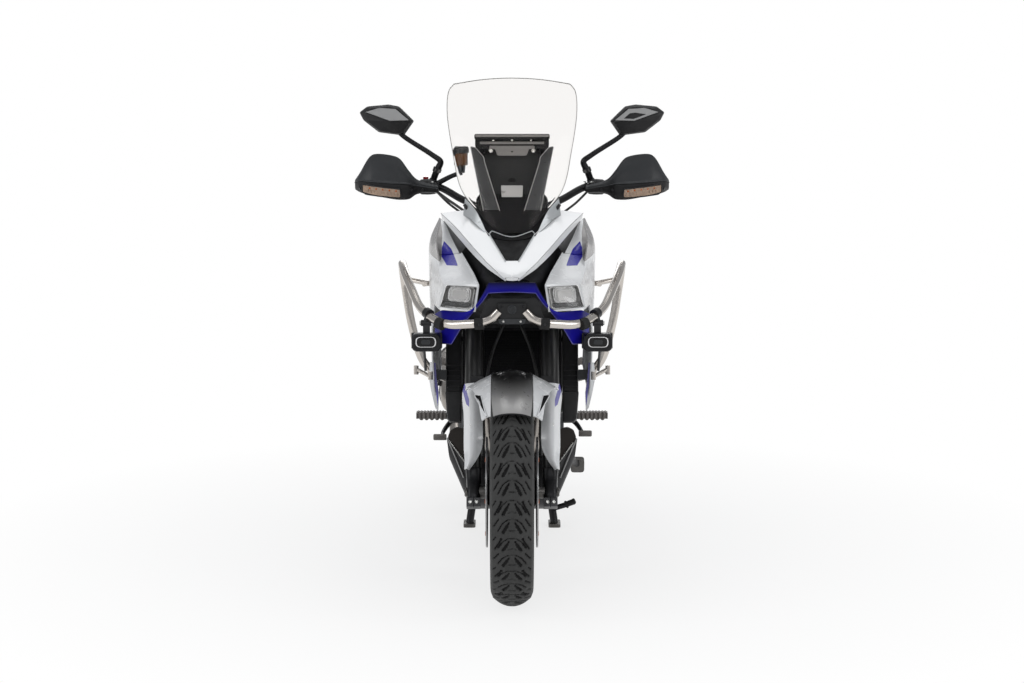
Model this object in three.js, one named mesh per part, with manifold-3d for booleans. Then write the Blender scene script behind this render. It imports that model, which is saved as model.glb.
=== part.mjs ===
// Sport touring motorcycle, standing on its centre stand.
// Millimetres, +Z up, front wheel towards -Y, the rider's left towards +X.
// The origin is on the floor, midway between the front of the front tyre and the rear of the plate holder.
import * as THREE from "three";
import { mergeVertices } from "three/addons/utils/BufferGeometryUtils.js";
import Module from "manifold-3d";

const wasm = await Module();
wasm.setup();

// ---------------------------------------------------------------- driving dimensions
const GAP = 0.3; // between pieces that touch
const RUNNING_GAP = 0.6; // between a pin and the bore that turns on it
const SLIVER = 0.05; // facets that joins and cuts leave and that are smaller than this are merged

// wheels
const FRONT_AXLE_Y = -792;
const FRONT_TYRE_RADIUS = 325;
const FRONT_TYRE_WIDTH = 122;
const FRONT_BEAD_RADIUS = 241;
const FRONT_RIM_WIDTH = 90;
const REAR_AXLE_Y = 739;
const REAR_TYRE_RADIUS = 321;
const REAR_TYRE_WIDTH = 152;
const REAR_BEAD_RADIUS = 216;
const REAR_RIM_WIDTH = 122;
const REAR_TYRE_LIFT = 18; // the centre stand holds the rear tyre this far off the floor
const REAR_AXLE_Z = REAR_TYRE_RADIUS + REAR_TYRE_LIFT;
const AXLE_RADIUS = 11;
const WHEEL_FACETS = 28;

// brakes
const FRONT_DISC_RADIUS = 160;
const FRONT_DISC_X = 72; // middle of each front disc from the centre line
const REAR_DISC_RADIUS = 128;
const REAR_DISC_X = -78;
const DISC_THICKNESS = 5;

// steering: the axis leans back by RAKE and meets the floor TRAIL ahead of the front tyre's contact
const RAKE = THREE.MathUtils.degToRad(25.5);
const TRAIL = 106;
const FORK_SPACING = 220; // between the two legs
const FORK_OFFSET = 30; // legs ahead of the steering axis
const FORK_OUTER_RADIUS = 28;
const FORK_INNER_RADIUS = 21.5;
const STEM_RADIUS = 16;
const HEAD_TUBE_RADIUS = 32;
const LOWER_CLAMP_S = 900; // distances along the steering axis from the floor
const TOP_CLAMP_S = 1129;
const STAY_S = 1030; // middle of the fairing's stay on the head tube
const FORK_TUBE_LOW_S = 569;
const STEER_SWEEP_RADIUS = 172; // what stays clear round the steering axis inside the fairing

// handlebar
const GRIP_HALF_SPAN = 405; // from the centre line to the outer end of a grip
const GRIP_LENGTH = 125;
const GRIP_Y = -300;
const GRIP_Z = 1168;
const BAR_RADIUS = 11;
const SWITCH_RADIUS = 24;
const PUMP_RADIUS = 13; // brake and clutch pumps

// engine and frame
const ENGINE_HALF_WIDTH = 120;
const CYLINDER_HALF_WIDTH = 125;
const PIVOT_Y = 170; // swingarm pivot
const PIVOT_Z = 395;
const PIVOT_RADIUS = 12;
const SWINGARM_HALF_WIDTH = 125;
const FRAME_TUBE_RADIUS = 19;
const SUBFRAME_TUBE_RADIUS = 12;

// chain drive
const CHAIN_X = 94;
const CHAIN_WIDTH = 16;
const FRONT_SPROCKET_RADIUS = 36;
const FRONT_SPROCKET_Y = 78;
const FRONT_SPROCKET_Z = 405;
const REAR_SPROCKET_RADIUS = 100;
const CHAIN_HEIGHT = 12;

// stands
const STAND_PIVOT_Y = 245;
const STAND_PIVOT_Z = 285;
const STAND_FOOT_Y = 198;
const STAND_HALF_WIDTH = 112;
const STAND_FOOT_X = 142;
const SIDE_STAND_PIVOT = [152, 62, 300];
const SIDE_STAND_FOOT = [222, 317, 185];
const SIDE_STAND_AXIS = [-0.8823, 0.0303, -0.4698];
const STAND_KNUCKLE_HALF = 14;

// ---------------------------------------------------------------- shape helpers
const vector = (p) => new THREE.Vector3(p[0], p[1], p[2]);

// A three.js geometry as a manifold-3d solid.
function solidOf(geometry) {
  const loose = geometry.index ? geometry.toNonIndexed() : geometry;
  const bare = new THREE.BufferGeometry();
  bare.setAttribute("position", loose.getAttribute("position").clone());
  const merged = mergeVertices(bare, 1e-3);
  const make = (triVerts) =>
    new wasm.Manifold(
      new wasm.Mesh({ numProp: 3, vertProperties: merged.attributes.position.array, triVerts }),
    );
  const triangles = new Uint32Array(merged.index.array);
  const solid = make(triangles);
  if (solid.volume() > 0) return solid;
  return make(triangles.map((_, i) => merged.index.array[i - (i % 3) + 2 - (i % 3)]));
}

// A manifold-3d solid as a three.js geometry.
function geometryOf(solid) {
  const mesh = solid.getMesh();
  const geometry = new THREE.BufferGeometry();
  geometry.setAttribute("position", new THREE.BufferAttribute(new Float32Array(mesh.vertProperties), 3));
  geometry.setIndex(new THREE.BufferAttribute(new Uint32Array(mesh.triVerts), 1));
  return geometry;
}

const join = (...pieces) =>
  geometryOf(pieces.flat().map(solidOf).reduce((a, b) => a.add(b)));

const cut = (piece, ...tools) =>
  geometryOf(tools.flat().map(solidOf).reduce((a, b) => a.subtract(b), solidOf(piece)));

// The part of a piece that lies inside a tool.
const within = (piece, tool) => geometryOf(solidOf(piece).intersect(solidOf(tool)));

const mirrored = (piece) => geometryOf(solidOf(piece.clone().scale(-1, 1, 1)));

const both = (piece) => [piece, mirrored(piece)];

// Box by its middle, its sizes and a turn about the X axis.
function box([x, y, z], [width, depth, height], turn = 0) {
  return new THREE.BoxGeometry(width, depth, height).rotateX(turn).translate(x, y, z);
}

// Round bar or cone between two points.
function rod(from, to, radius, sides = 12, radiusEnd = radius) {
  const a = vector(from);
  const b = vector(to);
  const along = b.clone().sub(a);
  const upright = new THREE.Vector3(0, 1, 0);
  const turn = new THREE.Quaternion().setFromUnitVectors(upright, along.clone().normalize());
  const middle = a.add(b).multiplyScalar(0.5);
  return new THREE.CylinderGeometry(radiusEnd, radius, along.length(), sides)
    .applyQuaternion(turn)
    .translate(middle.x, middle.y, middle.z);
}

// Tube of an even radius along a smooth curve through the points.
function tube(points, radius, sides = 10, stepsPerSpan = 3) {
  const path = new THREE.CatmullRomCurve3(points.map(vector), false, "centripetal");
  const section = new THREE.Shape();
  for (let i = 0; i < sides; i++) {
    const angle = (2 * Math.PI * i) / sides;
    const corner = [radius * Math.cos(angle), radius * Math.sin(angle)];
    if (i === 0) section.moveTo(...corner);
    else section.lineTo(...corner);
  }
  section.closePath();
  const steps = stepsPerSpan * (points.length - 1);
  return new THREE.ExtrudeGeometry(section, { steps, extrudePath: path, bevelEnabled: false });
}

// Solid of revolution about the X axis: the profile's columns are radius, x.
function turnedOnX(profile, [x, y, z] = [0, 0, 0], facets = WHEEL_FACETS) {
  const points = [...profile, profile[0]].map(([radius, along]) => new THREE.Vector2(radius, along));
  const turned = new THREE.LatheGeometry(points, facets).rotateZ(-Math.PI / 2).translate(x, y, z);
  return geometryOf(solidOf(turned));
}

// Plate whose outline is seen from the side (columns y, z), between two x values.
function sidePlate(outline, x0, x1, holes = []) {
  const shape = new THREE.Shape(outline.map(([y, z]) => new THREE.Vector2(y, z)));
  for (const hole of holes) shape.holes.push(new THREE.Path(hole.map(([y, z]) => new THREE.Vector2(y, z))));
  const plate = new THREE.ExtrudeGeometry(shape, { depth: x1 - x0, bevelEnabled: false });
  // the shape's x, y and depth become the plate's y, z and x
  const turn = new THREE.Matrix4().makeBasis(
    new THREE.Vector3(0, 1, 0),
    new THREE.Vector3(0, 0, 1),
    new THREE.Vector3(1, 0, 0),
  );
  return plate.applyMatrix4(turn).translate(x0, 0, 0);
}

// Closed body through rings of equally many points, with a flat cap at each end.
function loft(rings) {
  const count = rings[0].length;
  const corners = rings.flat();
  const middle = (ring) => ring.reduce((a, p) => a.map((v, i) => v + p[i] / count), [0, 0, 0]);
  corners.push(middle(rings[0]), middle(rings.at(-1)));
  const triangles = [];
  for (let r = 0; r + 1 < rings.length; r++)
    for (let i = 0; i < count; i++) {
      const a = r * count + i;
      const b = r * count + ((i + 1) % count);
      triangles.push(a, b, b + count, a, b + count, a + count);
    }
  const last = (rings.length - 1) * count;
  for (let i = 0; i < count; i++) {
    const next = (i + 1) % count;
    triangles.push(corners.length - 2, next, i);
    triangles.push(corners.length - 1, last + i, last + next);
  }
  const geometry = new THREE.BufferGeometry();
  geometry.setAttribute("position", new THREE.Float32BufferAttribute(corners.flat(), 3));
  geometry.setIndex(triangles);
  return geometryOf(solidOf(geometry));
}

// Ring with rounded sides across the bike, for lofts along Y.
function ovalRing(y, halfWidth, zLow, zHigh, squareness = 2.6, count = 16, x = 0) {
  const ring = [];
  for (let i = 0; i < count; i++) {
    const angle = (2 * Math.PI * (i + 0.5)) / count;
    const round = (v) => Math.sign(v) * Math.abs(v) ** (2 / squareness);
    ring.push([
      x + halfWidth * round(Math.cos(angle)),
      y,
      (zLow + zHigh) / 2 + ((zHigh - zLow) / 2) * round(Math.sin(angle)),
    ]);
  }
  return ring;
}

// Finer grid through rows of points: curves run smoothly through the rows and columns.
function smoothGrid(rows, rowSteps, columnSteps) {
  const along = (points, steps) =>
    new THREE.CatmullRomCurve3(points.map(vector), false, "centripetal")
      .getPoints((points.length - 1) * steps)
      .map((p) => p.toArray());
  const finer = rows.map((row) => along(row, columnSteps));
  const columns = finer[0].map((_, c) => along(finer.map((row) => row[c]), rowSteps));
  return columns[0].map((_, r) => columns.map((column) => vector(column[r])));
}

// Outward direction of a grid at one of its points.
function gridNormal(grid, r, c) {
  const down = grid[Math.min(r + 1, grid.length - 1)][c].clone().sub(grid[Math.max(r - 1, 0)][c]);
  const across = grid[r][Math.min(c + 1, grid[0].length - 1)].clone().sub(grid[r][Math.max(c - 1, 0)]);
  return down.cross(across).normalize();
}

// Post behind a panel: it stands inwards from one of the panel's own points, cut to the panel's inner face.
function postBehind(rows, row, column, thickness, length, radius = 6, rowSteps = 2, columnSteps = 2) {
  const grid = smoothGrid(rows, rowSteps, columnSteps);
  const point = grid[row * rowSteps][column * columnSteps];
  const normal = gridNormal(grid, row * rowSteps, column * columnSteps);
  const at = (depth) => point.clone().addScaledVector(normal, -depth).toArray();
  const post = rod(at(thickness / 2), at(thickness + length), radius, 6);
  return cut(post, shell(rows, thickness + GAP, rowSteps, columnSteps));
}

// Panel of even thickness behind a grid of points.
function shell(rows, thickness, rowSteps = 2, columnSteps = 2) {
  const grid = smoothGrid(rows, rowSteps, columnSteps);
  const height = grid.length;
  const width = grid[0].length;
  const outer = [];
  const inner = [];
  for (let r = 0; r < height; r++)
    for (let c = 0; c < width; c++) {
      outer.push(grid[r][c].toArray());
      inner.push(grid[r][c].clone().addScaledVector(gridNormal(grid, r, c), -thickness).toArray());
    }
  const half = outer.length;
  const triangles = [];
  const quad = (a, b, c, d) => triangles.push(a, b, c, a, c, d);
  for (let r = 0; r + 1 < height; r++)
    for (let c = 0; c + 1 < width; c++) {
      const a = r * width + c;
      quad(a, a + width, a + width + 1, a + 1);
      quad(half + a, half + a + 1, half + a + width + 1, half + a + width);
    }
  for (let c = 0; c + 1 < width; c++) {
    const low = (height - 1) * width + c;
    quad(c, c + 1, half + c + 1, half + c);
    quad(low + 1, low, half + low, half + low + 1);
  }
  for (let r = 0; r + 1 < height; r++) {
    const left = r * width;
    const right = left + width - 1;
    quad(left + width, left, half + left, half + left + width);
    quad(right, right + width, half + right + width, half + right);
  }
  const geometry = new THREE.BufferGeometry();
  geometry.setAttribute("position", new THREE.Float32BufferAttribute([...outer, ...inner].flat(), 3));
  geometry.setIndex(triangles);
  return geometryOf(solidOf(geometry));
}

// ---------------------------------------------------------------- materials and scene graph
const finish = (color, roughness, metalness = 0) =>
  new THREE.MeshStandardMaterial({ color, roughness, metalness });
const WHITE_PAINT = finish(0xe9eaec, 0.25);
const BLUE_PAINT = finish(0x2b4ea8, 0.25);
const SILVER_PAINT = finish(0x8f9399, 0.4, 0.5);
const BLACK_PLASTIC = finish(0x17181a, 0.6);
const DARK_PLASTIC = finish(0x2c2e31, 0.5);
const BLACK_METAL = finish(0x1b1c1e, 0.45, 0.6);
const GREY_METAL = finish(0x55585c, 0.45, 0.8);
const CAST_METAL = finish(0x8b8e92, 0.5, 0.8);
const STEEL = finish(0xb9bcc0, 0.25, 1);
const TYRE_RUBBER = finish(0x141414, 0.85);
const SEAT_COVER = finish(0x1c1c1d, 0.8);
const CLEAR_LENS = finish(0xdde3e8, 0.08);
const RED_LENS = finish(0x8c1216, 0.15);
const SCREEN = finish(0xe8e0d6, 0.05);

const motorcycle = new THREE.Group();
const steering = new THREE.Group(); // its Z axis is the steering axis, its -Y is ahead
const axisFloorY = FRONT_AXLE_Y - TRAIL;
steering.position.set(0, axisFloorY, 0);
steering.rotation.x = -RAKE;
const nose = new THREE.Group(); // its origin is on the floor under the front axle
nose.position.set(0, FRONT_AXLE_Y, 0);
const frontWheel = new THREE.Group();
frontWheel.position.set(0, FRONT_AXLE_Y, FRONT_TYRE_RADIUS);
const rearWheel = new THREE.Group();
rearWheel.position.set(0, REAR_AXLE_Y, REAR_AXLE_Z);
motorcycle.add(steering, nose, frontWheel, rearWheel);

function add(name, geometry, material, group = motorcycle) {
  const mesh = new THREE.Mesh(geometryOf(solidOf(geometry).simplify(SLIVER)), material.clone());
  mesh.geometry.computeVertexNormals();
  mesh.name = name;
  group.add(mesh);
}

function addPair(name, leftGeometry, material, group = motorcycle) {
  add("left_" + name, leftGeometry, material, group);
  add("right_" + name, mirrored(leftGeometry), material, group);
}

// the point on the steering axis at a distance along it, and a point beside it, in the bike's frame
const steerPoint = (s, x = 0, ahead = 0) => [
  x,
  axisFloorY + s * Math.sin(RAKE) - ahead * Math.cos(RAKE),
  s * Math.cos(RAKE) + ahead * Math.sin(RAKE),
];
// the front axle in the steering frame
const axleS = TRAIL * Math.sin(RAKE) + FRONT_TYRE_RADIUS * Math.cos(RAKE);
const axleAhead = FRONT_TYRE_RADIUS * Math.sin(RAKE) - TRAIL * Math.cos(RAKE);

// ---------------------------------------------------------------- wheels
// Tyre section from one bead over the crown to the other.
function tyre(radius, width, beadRadius, rimWidth) {
  const height = radius - beadRadius;
  const shoulder = [
    // share of the half width, share of the section height
    [1, 0.45],
    [0.86, 0.8],
    [0.45, 0.97],
  ];
  const beadX = rimWidth / 2 - 8;
  const left = shoulder.map(([across, up]) => [beadRadius + up * height, (across * width) / 2]);
  const right = left.map(([r, x]) => [r, -x]).reverse();
  const bead = beadRadius + GAP;
  return turnedOnX([
    [bead, -beadX],
    [bead, beadX],
    [bead + 14, beadX],
    ...left,
    [radius, 0],
    ...right,
    [bead + 14, -beadX],
  ]);
}

// Cast rim: barrel, hub and spokes in pairs.
function rim(beadRadius, rimWidth, hubRadius, [hubRight, hubLeft], pairs, boreRadius) {
  const half = rimWidth / 2;
  const barrel = turnedOnX([
    [beadRadius - 16, -half + 2],
    [beadRadius + 11, -half],
    [beadRadius + 11, -half + 7],
    [beadRadius, -half + 8 - GAP],
    [beadRadius, half - 8 + GAP],
    [beadRadius + 11, half - 7],
    [beadRadius + 11, half],
    [beadRadius - 16, half - 2],
  ]);
  const hub = turnedOnX(
    [
      [0, -hubRight],
      [hubRadius, -hubRight],
      [hubRadius, hubLeft],
      [0, hubLeft],
    ],
    [0, 0, 0],
    16,
  );
  const spokes = [];
  const spokeRing = (radius, halfWidth, halfDepth) => [
    [-halfDepth, -halfWidth, radius],
    [halfDepth, -halfWidth, radius],
    [halfDepth, halfWidth, radius],
    [-halfDepth, halfWidth, radius],
  ];
  for (let i = 0; i < pairs; i++)
    for (const side of [-1, 1]) {
      const spoke = loft([
        spokeRing(hubRadius * 0.6, 9, hubRight * 0.62),
        spokeRing(beadRadius * 0.55, 7, half * 0.42),
        spokeRing(beadRadius - 14, 9, half * 0.5),
      ]);
      spoke.rotateX(THREE.MathUtils.degToRad((360 * i) / pairs + side * 11));
      spokes.push(spoke);
    }
  const bore = rod([-hubRight - 1, 0, 0], [hubLeft + 1, 0, 0], boreRadius, 12);
  return cut(join(barrel, hub, ...spokes), bore);
}

// Corner points of a circle in the plane of a wheel.
const circle = (radius, y, z, count, start = 0) =>
  Array.from({ length: count }, (_, i) => {
    const angle = start + (2 * Math.PI * i) / count;
    return [y + radius * Math.cos(angle), z + radius * Math.sin(angle)];
  });

// Brake disc: one plate with a bore and a window between each two arms of its carrier.
function disc(radius, x, boltRadius, innerRadius, arms = 6) {
  const windowOuter = radius - 34;
  const half = Math.PI / arms;
  const windows = Array.from({ length: arms }, (_, i) => {
    const middle = 2 * half * (i + 0.5);
    const at = (r, angle) => [r * Math.cos(angle), r * Math.sin(angle)];
    const open = half * 0.8;
    return [
      at(boltRadius, middle - open * 0.7),
      at(windowOuter, middle - open),
      at(windowOuter * 1.02, middle),
      at(windowOuter, middle + open),
      at(boltRadius, middle + open * 0.7),
    ];
  });
  const plate = sidePlate(circle(radius, 0, 0, WHEEL_FACETS), -DISC_THICKNESS / 2, DISC_THICKNESS / 2, [
    circle(innerRadius, 0, 0, 12),
    ...windows,
  ]);
  return plate.translate(x, 0, 0);
}

const boreRadius = AXLE_RADIUS + RUNNING_GAP;
const FRONT_HUB_HALF = FRONT_DISC_X - DISC_THICKNESS / 2 - GAP;
const FRONT_HUB_RADIUS = 40;
add(
  "front_rim",
  rim(
    FRONT_BEAD_RADIUS,
    FRONT_RIM_WIDTH,
    FRONT_HUB_RADIUS,
    [FRONT_HUB_HALF, FRONT_HUB_HALF],
    5,
    boreRadius,
  ),
  CAST_METAL,
  frontWheel,
);
add(
  "front_tyre",
  tyre(FRONT_TYRE_RADIUS, FRONT_TYRE_WIDTH, FRONT_BEAD_RADIUS, FRONT_RIM_WIDTH),
  TYRE_RUBBER,
  frontWheel,
);
addPair("front_disc", disc(FRONT_DISC_RADIUS, FRONT_DISC_X, 50, 26), STEEL, frontWheel);

const SPROCKET_THICKNESS = 6;
const TOOTH_DEPTH = 6;
const REAR_HUB = [Math.abs(REAR_DISC_X) - DISC_THICKNESS / 2 - GAP, CHAIN_X - SPROCKET_THICKNESS / 2 - GAP];
const REAR_HUB_RADIUS = 48;
add(
  "rear_rim",
  rim(REAR_BEAD_RADIUS, REAR_RIM_WIDTH, REAR_HUB_RADIUS, REAR_HUB, 5, boreRadius),
  CAST_METAL,
  rearWheel,
);
add(
  "rear_tyre",
  tyre(REAR_TYRE_RADIUS, REAR_TYRE_WIDTH, REAR_BEAD_RADIUS, REAR_RIM_WIDTH),
  TYRE_RUBBER,
  rearWheel,
);
add("rear_disc", disc(REAR_DISC_RADIUS, REAR_DISC_X, 54, 26, 5), STEEL, rearWheel);

// Rear sprocket: a toothed wheel that sits against the hub.
function sprocket(radius, teeth, thickness, boltRadius, innerRadius) {
  const outline = [];
  for (let i = 0; i < teeth; i++)
    for (const [share, depth] of [
      [0, TOOTH_DEPTH],
      [0.5, 0],
    ]) {
      const angle = (2 * Math.PI * (i + share)) / teeth;
      outline.push([(radius - depth) * Math.cos(angle), (radius - depth) * Math.sin(angle)]);
    }
  const windows = Array.from({ length: 5 }, (_, i) => {
    const angle = (2 * Math.PI * i) / 5;
    const middle = (boltRadius + radius - 12) / 2;
    return circle((radius - 16 - boltRadius) / 2, middle * Math.cos(angle), middle * Math.sin(angle), 6);
  });
  return sidePlate(outline, 0, thickness, [circle(innerRadius, 0, 0, 12), ...windows]);
}
add(
  "rear_sprocket",
  sprocket(REAR_SPROCKET_RADIUS, 42, SPROCKET_THICKNESS, 58, 26)
    .translate(CHAIN_X - SPROCKET_THICKNESS / 2, 0, 0),
  GREY_METAL,
  rearWheel,
);

// ---------------------------------------------------------------- fork (steering frame)
const legX = FORK_SPACING / 2;
const legY = -FORK_OFFSET;
const lugRing = (s, halfX, y0, y1) => [
  [legX - halfX, y0, s],
  [legX + halfX, y0, s],
  [legX + halfX, y1, s],
  [legX - halfX, y1, s],
];
const axleY = -axleAhead;
const forkLeg = join(
  rod([legX, legY, axleS - 10], [legX, legY, FORK_TUBE_LOW_S + 10], FORK_INNER_RADIUS, 12),
  rod([legX, legY, FORK_TUBE_LOW_S], [legX, legY, TOP_CLAMP_S + 26], FORK_OUTER_RADIUS, 16),
  rod([legX, legY, FORK_TUBE_LOW_S], [legX, legY, FORK_TUBE_LOW_S + 22], FORK_OUTER_RADIUS + 3, 16),
  loft([
    lugRing(axleS - 44, 15, axleY - 14, axleY + 14),
    lugRing(axleS - 20, 19, axleY - 24, axleY + 28),
    lugRing(axleS + 40, 21, legY - 24, legY + 24),
    lugRing(axleS + 74, 24, legY - 24, legY + 24),
  ]),
);
const axle = rod([-legX - 26, axleY, axleS], [legX + 26, axleY, axleS], AXLE_RADIUS, 12);
const spacerStart = FRONT_DISC_X + DISC_THICKNESS / 2 + GAP;
const hubSpacer = rod([spacerStart, axleY, axleS], [legX, axleY, axleS], 18, 12);
add("front_fork", join(both(forkLeg), axle, both(hubSpacer)), BLACK_METAL, steering);

// Clamps: two plates that hold the legs, with the steering stem between them and the bar's risers on top.
const LOWER_CLAMP_HEIGHT = 34;
const TOP_CLAMP_HEIGHT = 24;
function clamp(s, height) {
  const outline = new THREE.Shape();
  const halfWidth = legX + FORK_OUTER_RADIUS + 9;
  const corners = [
    [-halfWidth, -66],
    [halfWidth, -66],
    [halfWidth, -4],
    [42, 34],
    [-42, 34],
    [-halfWidth, -4],
  ];
  corners.forEach(([x, y], i) => (i ? outline.lineTo(x, y) : outline.moveTo(x, y)));
  outline.closePath();
  const plate = new THREE.ExtrudeGeometry(outline, { depth: height, bevelEnabled: false })
    .translate(0, 0, s);
  const holes = [-legX, legX].map((x) =>
    rod([x, legY, s - 1], [x, legY, s + height + 1], FORK_OUTER_RADIUS + GAP, 16),
  );
  return cut(plate, holes);
}
const stem = rod([0, 0, LOWER_CLAMP_S + 4], [0, 0, TOP_CLAMP_S + 30], STEM_RADIUS, 16);
const RISER_X = 46;
const riser = join(
  rod([RISER_X, -8, TOP_CLAMP_S + 10], [RISER_X, 2, TOP_CLAMP_S + 84], 15, 12),
  box([RISER_X, 6, TOP_CLAMP_S + 84], [30, 40, 12]),
);
add(
  "triple_clamps",
  join(clamp(LOWER_CLAMP_S, LOWER_CLAMP_HEIGHT), clamp(TOP_CLAMP_S, TOP_CLAMP_HEIGHT), stem, both(riser)),
  BLACK_METAL,
  steering,
);

// Handlebar in the steering frame: a bent tube with grips, switch housings, levers and bar ends.
const fromBike = ([x, y, z]) => {
  const dy = y - axisFloorY;
  return [x, dy * Math.cos(RAKE) - z * Math.sin(RAKE), dy * Math.sin(RAKE) + z * Math.cos(RAKE)];
};
const BAR_CENTRE_S = TOP_CLAMP_S + 90 + BAR_RADIUS + GAP;
const gripOut = fromBike([GRIP_HALF_SPAN, GRIP_Y + 22, GRIP_Z - 4]);
const gripIn = fromBike([GRIP_HALF_SPAN - GRIP_LENGTH, GRIP_Y - 10, GRIP_Z]);
const barCentre = [
  [0, 6, BAR_CENTRE_S],
  [RISER_X + 20, 6, BAR_CENTRE_S],
  [RISER_X + 40, 7, BAR_CENTRE_S],
  [160, gripIn[1] - 8, (BAR_CENTRE_S + gripIn[2]) / 2 - 2],
];
const switchIn = fromBike([GRIP_HALF_SPAN - GRIP_LENGTH - 48, GRIP_Y - 22, GRIP_Z + 2]);
const BAR_END_SHARE = 0.16; // length of the end weight as a share of the grip's
const pastGrip = (share) => gripOut.map((v, i) => v + (v - gripIn[i]) * share);
const barEnd = pastGrip(BAR_END_SHARE);
const barHalf = join(
  tube([...barCentre, switchIn, gripIn, gripOut], BAR_RADIUS, 8, 1),
  rod(pastGrip(-1.03), pastGrip(0.01), 17, 8),
  rod(gripOut, barEnd, 19, 8),
  rod(switchIn, gripIn, SWITCH_RADIUS, 8),
);
const leverPivot = fromBike([GRIP_HALF_SPAN - GRIP_LENGTH - 42, GRIP_Y - 58, GRIP_Z + 4]);
const leverTip = fromBike([GRIP_HALF_SPAN - 8, GRIP_Y - 46, GRIP_Z - 8]);
const lever = join(
  tube([leverPivot, fromBike([GRIP_HALF_SPAN - GRIP_LENGTH + 10, GRIP_Y - 74, GRIP_Z]), leverTip], 6, 6, 2),
  rod(switchIn, leverPivot, PUMP_RADIUS, 8),
);
// brake fluid reservoir on the right: a cup with a lid on an arm of the brake's pump
const RESERVOIR = [-150, -344, 1222]; // middle of the cup's floor
const aboveCup = (height, radius, from = 0) => {
  const [x, y, z] = RESERVOIR;
  return rod(fromBike([x, y, z + from]), fromBike([x, y, z + height]), radius, 12);
};
const reservoir = [
  aboveCup(50, 17),
  aboveCup(66, 20, 48),
  rod(fromBike([-150, -344, 1214]), fromBike([-226, -330, 1178]), 8, 6),
  aboveCup(1, 12, -12),
];
add("handlebar", join(both(barHalf), both(lever), reservoir), BLACK_METAL, steering);

// Handguard: a curved shield ahead of each grip, on an arm to the bar end and one to the bar.
const GUARD_ROWS = [
  // x, top z, ridge z, bottom z, y of the ridge
  [222, 1178, 1168, 1156, -396],
  [284, 1196, 1176, 1156, -408],
  [306, 1216, 1180, 1140, -420],
  [342, 1264, 1184, 1136, -424],
  [420, 1274, 1188, 1150, -408],
  [458, 1214, 1190, 1156, -382],
  [474, 1192, 1184, 1162, -350],
];
const guardRows = GUARD_ROWS.map(([x, top, ridge, bottom, y]) => [
  fromBike([x, y + 10 + (top - ridge) * 0.35, top]),
  fromBike([x, y, ridge]),
  fromBike([x, y + 2, (ridge + bottom) / 2 - 4]),
  fromBike([x, y + 16, bottom]),
]).reverse();
const guard = shell(guardRows, 4, 1, 1);
const guardArm = join(
  rod(pastGrip(BAR_END_SHARE + GAP / GRIP_LENGTH), pastGrip(BAR_END_SHARE + 0.1), 12, 10),
  tube(
    [
      pastGrip(BAR_END_SHARE + 0.05),
      fromBike([458, GRIP_Y - 6, GRIP_Z]),
      fromBike([462, GRIP_Y - 46, GRIP_Z + 2]),
      fromBike([452, GRIP_Y - 84, GRIP_Z + 4]),
    ],
    7,
    8,
    2,
  ),
);
addPair("handguard", join(guard, guardArm), BLACK_PLASTIC, steering);

// Mirror: a faceted housing on a bent stem that stands on the bar's clamp.
const MIRROR_OUTLINE = [
  // x, z
  [326, 1324],
  [295, 1368],
  [340, 1412],
  [372, 1418],
  [436, 1412],
  [460, 1394],
  [448, 1370],
  [402, 1334],
];
const mirrorRing = (y, grow) =>
  MIRROR_OUTLINE.map(([x, z]) => fromBike([380 + (x - 380) * grow, y, 1372 + (z - 1372) * grow]));
const mirrorFoot = fromBike([240, GRIP_Y - 16, GRIP_Z + 16]);
const mirrorNeck = fromBike([222, GRIP_Y - 26, GRIP_Z + 66]);
const mirror = cut(
  join(
    loft([mirrorRing(-368, 0.4), mirrorRing(-352, 0.82), mirrorRing(-326, 1), mirrorRing(-316, 0.97)]),
    rod(mirrorFoot, mirrorNeck, 11, 8),
    tube(
      [
        mirrorNeck,
        fromBike([216, -330, 1252]),
        fromBike([326, -334, 1322]),
        fromBike([352, -336, 1350]),
      ],
      6.5,
      6,
      2,
    ),
  ),
  rod(switchIn, gripIn, SWITCH_RADIUS + GAP, 8),
  rod(switchIn, leverPivot, PUMP_RADIUS + GAP, 8),
);
addPair("mirror", mirror, BLACK_PLASTIC, steering);

// Front fender: a hoop over the tyre, seated between the two fork guards.
const FENDER_CLEARANCE = 26;
const FENDER_WALL = 3.5;
const FENDER_HALF_WIDTH = 58;
function hoop(radius, halfWidth, from, to, steps, drop, thickness, centre) {
  const rows = [];
  for (let i = 0; i <= steps; i++) {
    const angle = THREE.MathUtils.degToRad(from + ((to - from) * i) / steps);
    const at = (r, x) => [x, centre[1] - r * Math.sin(angle), centre[2] + r * Math.cos(angle)];
    rows.push([
      at(radius - drop, halfWidth),
      at(radius - drop * 0.3, halfWidth * 0.86),
      at(radius, halfWidth * 0.4),
      at(radius, -halfWidth * 0.4),
      at(radius - drop * 0.3, -halfWidth * 0.86),
      at(radius - drop, -halfWidth),
    ]);
  }
  return shell(rows.reverse(), thickness, 1, 1);
}
const fenderRadius = FRONT_TYRE_RADIUS + FENDER_CLEARANCE;
add(
  "front_fender",
  hoop(fenderRadius, FENDER_HALF_WIDTH, -34, 65, 8, 14, FENDER_WALL, [0, axleY, axleS]),
  SILVER_PAINT,
  steering,
);

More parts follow.
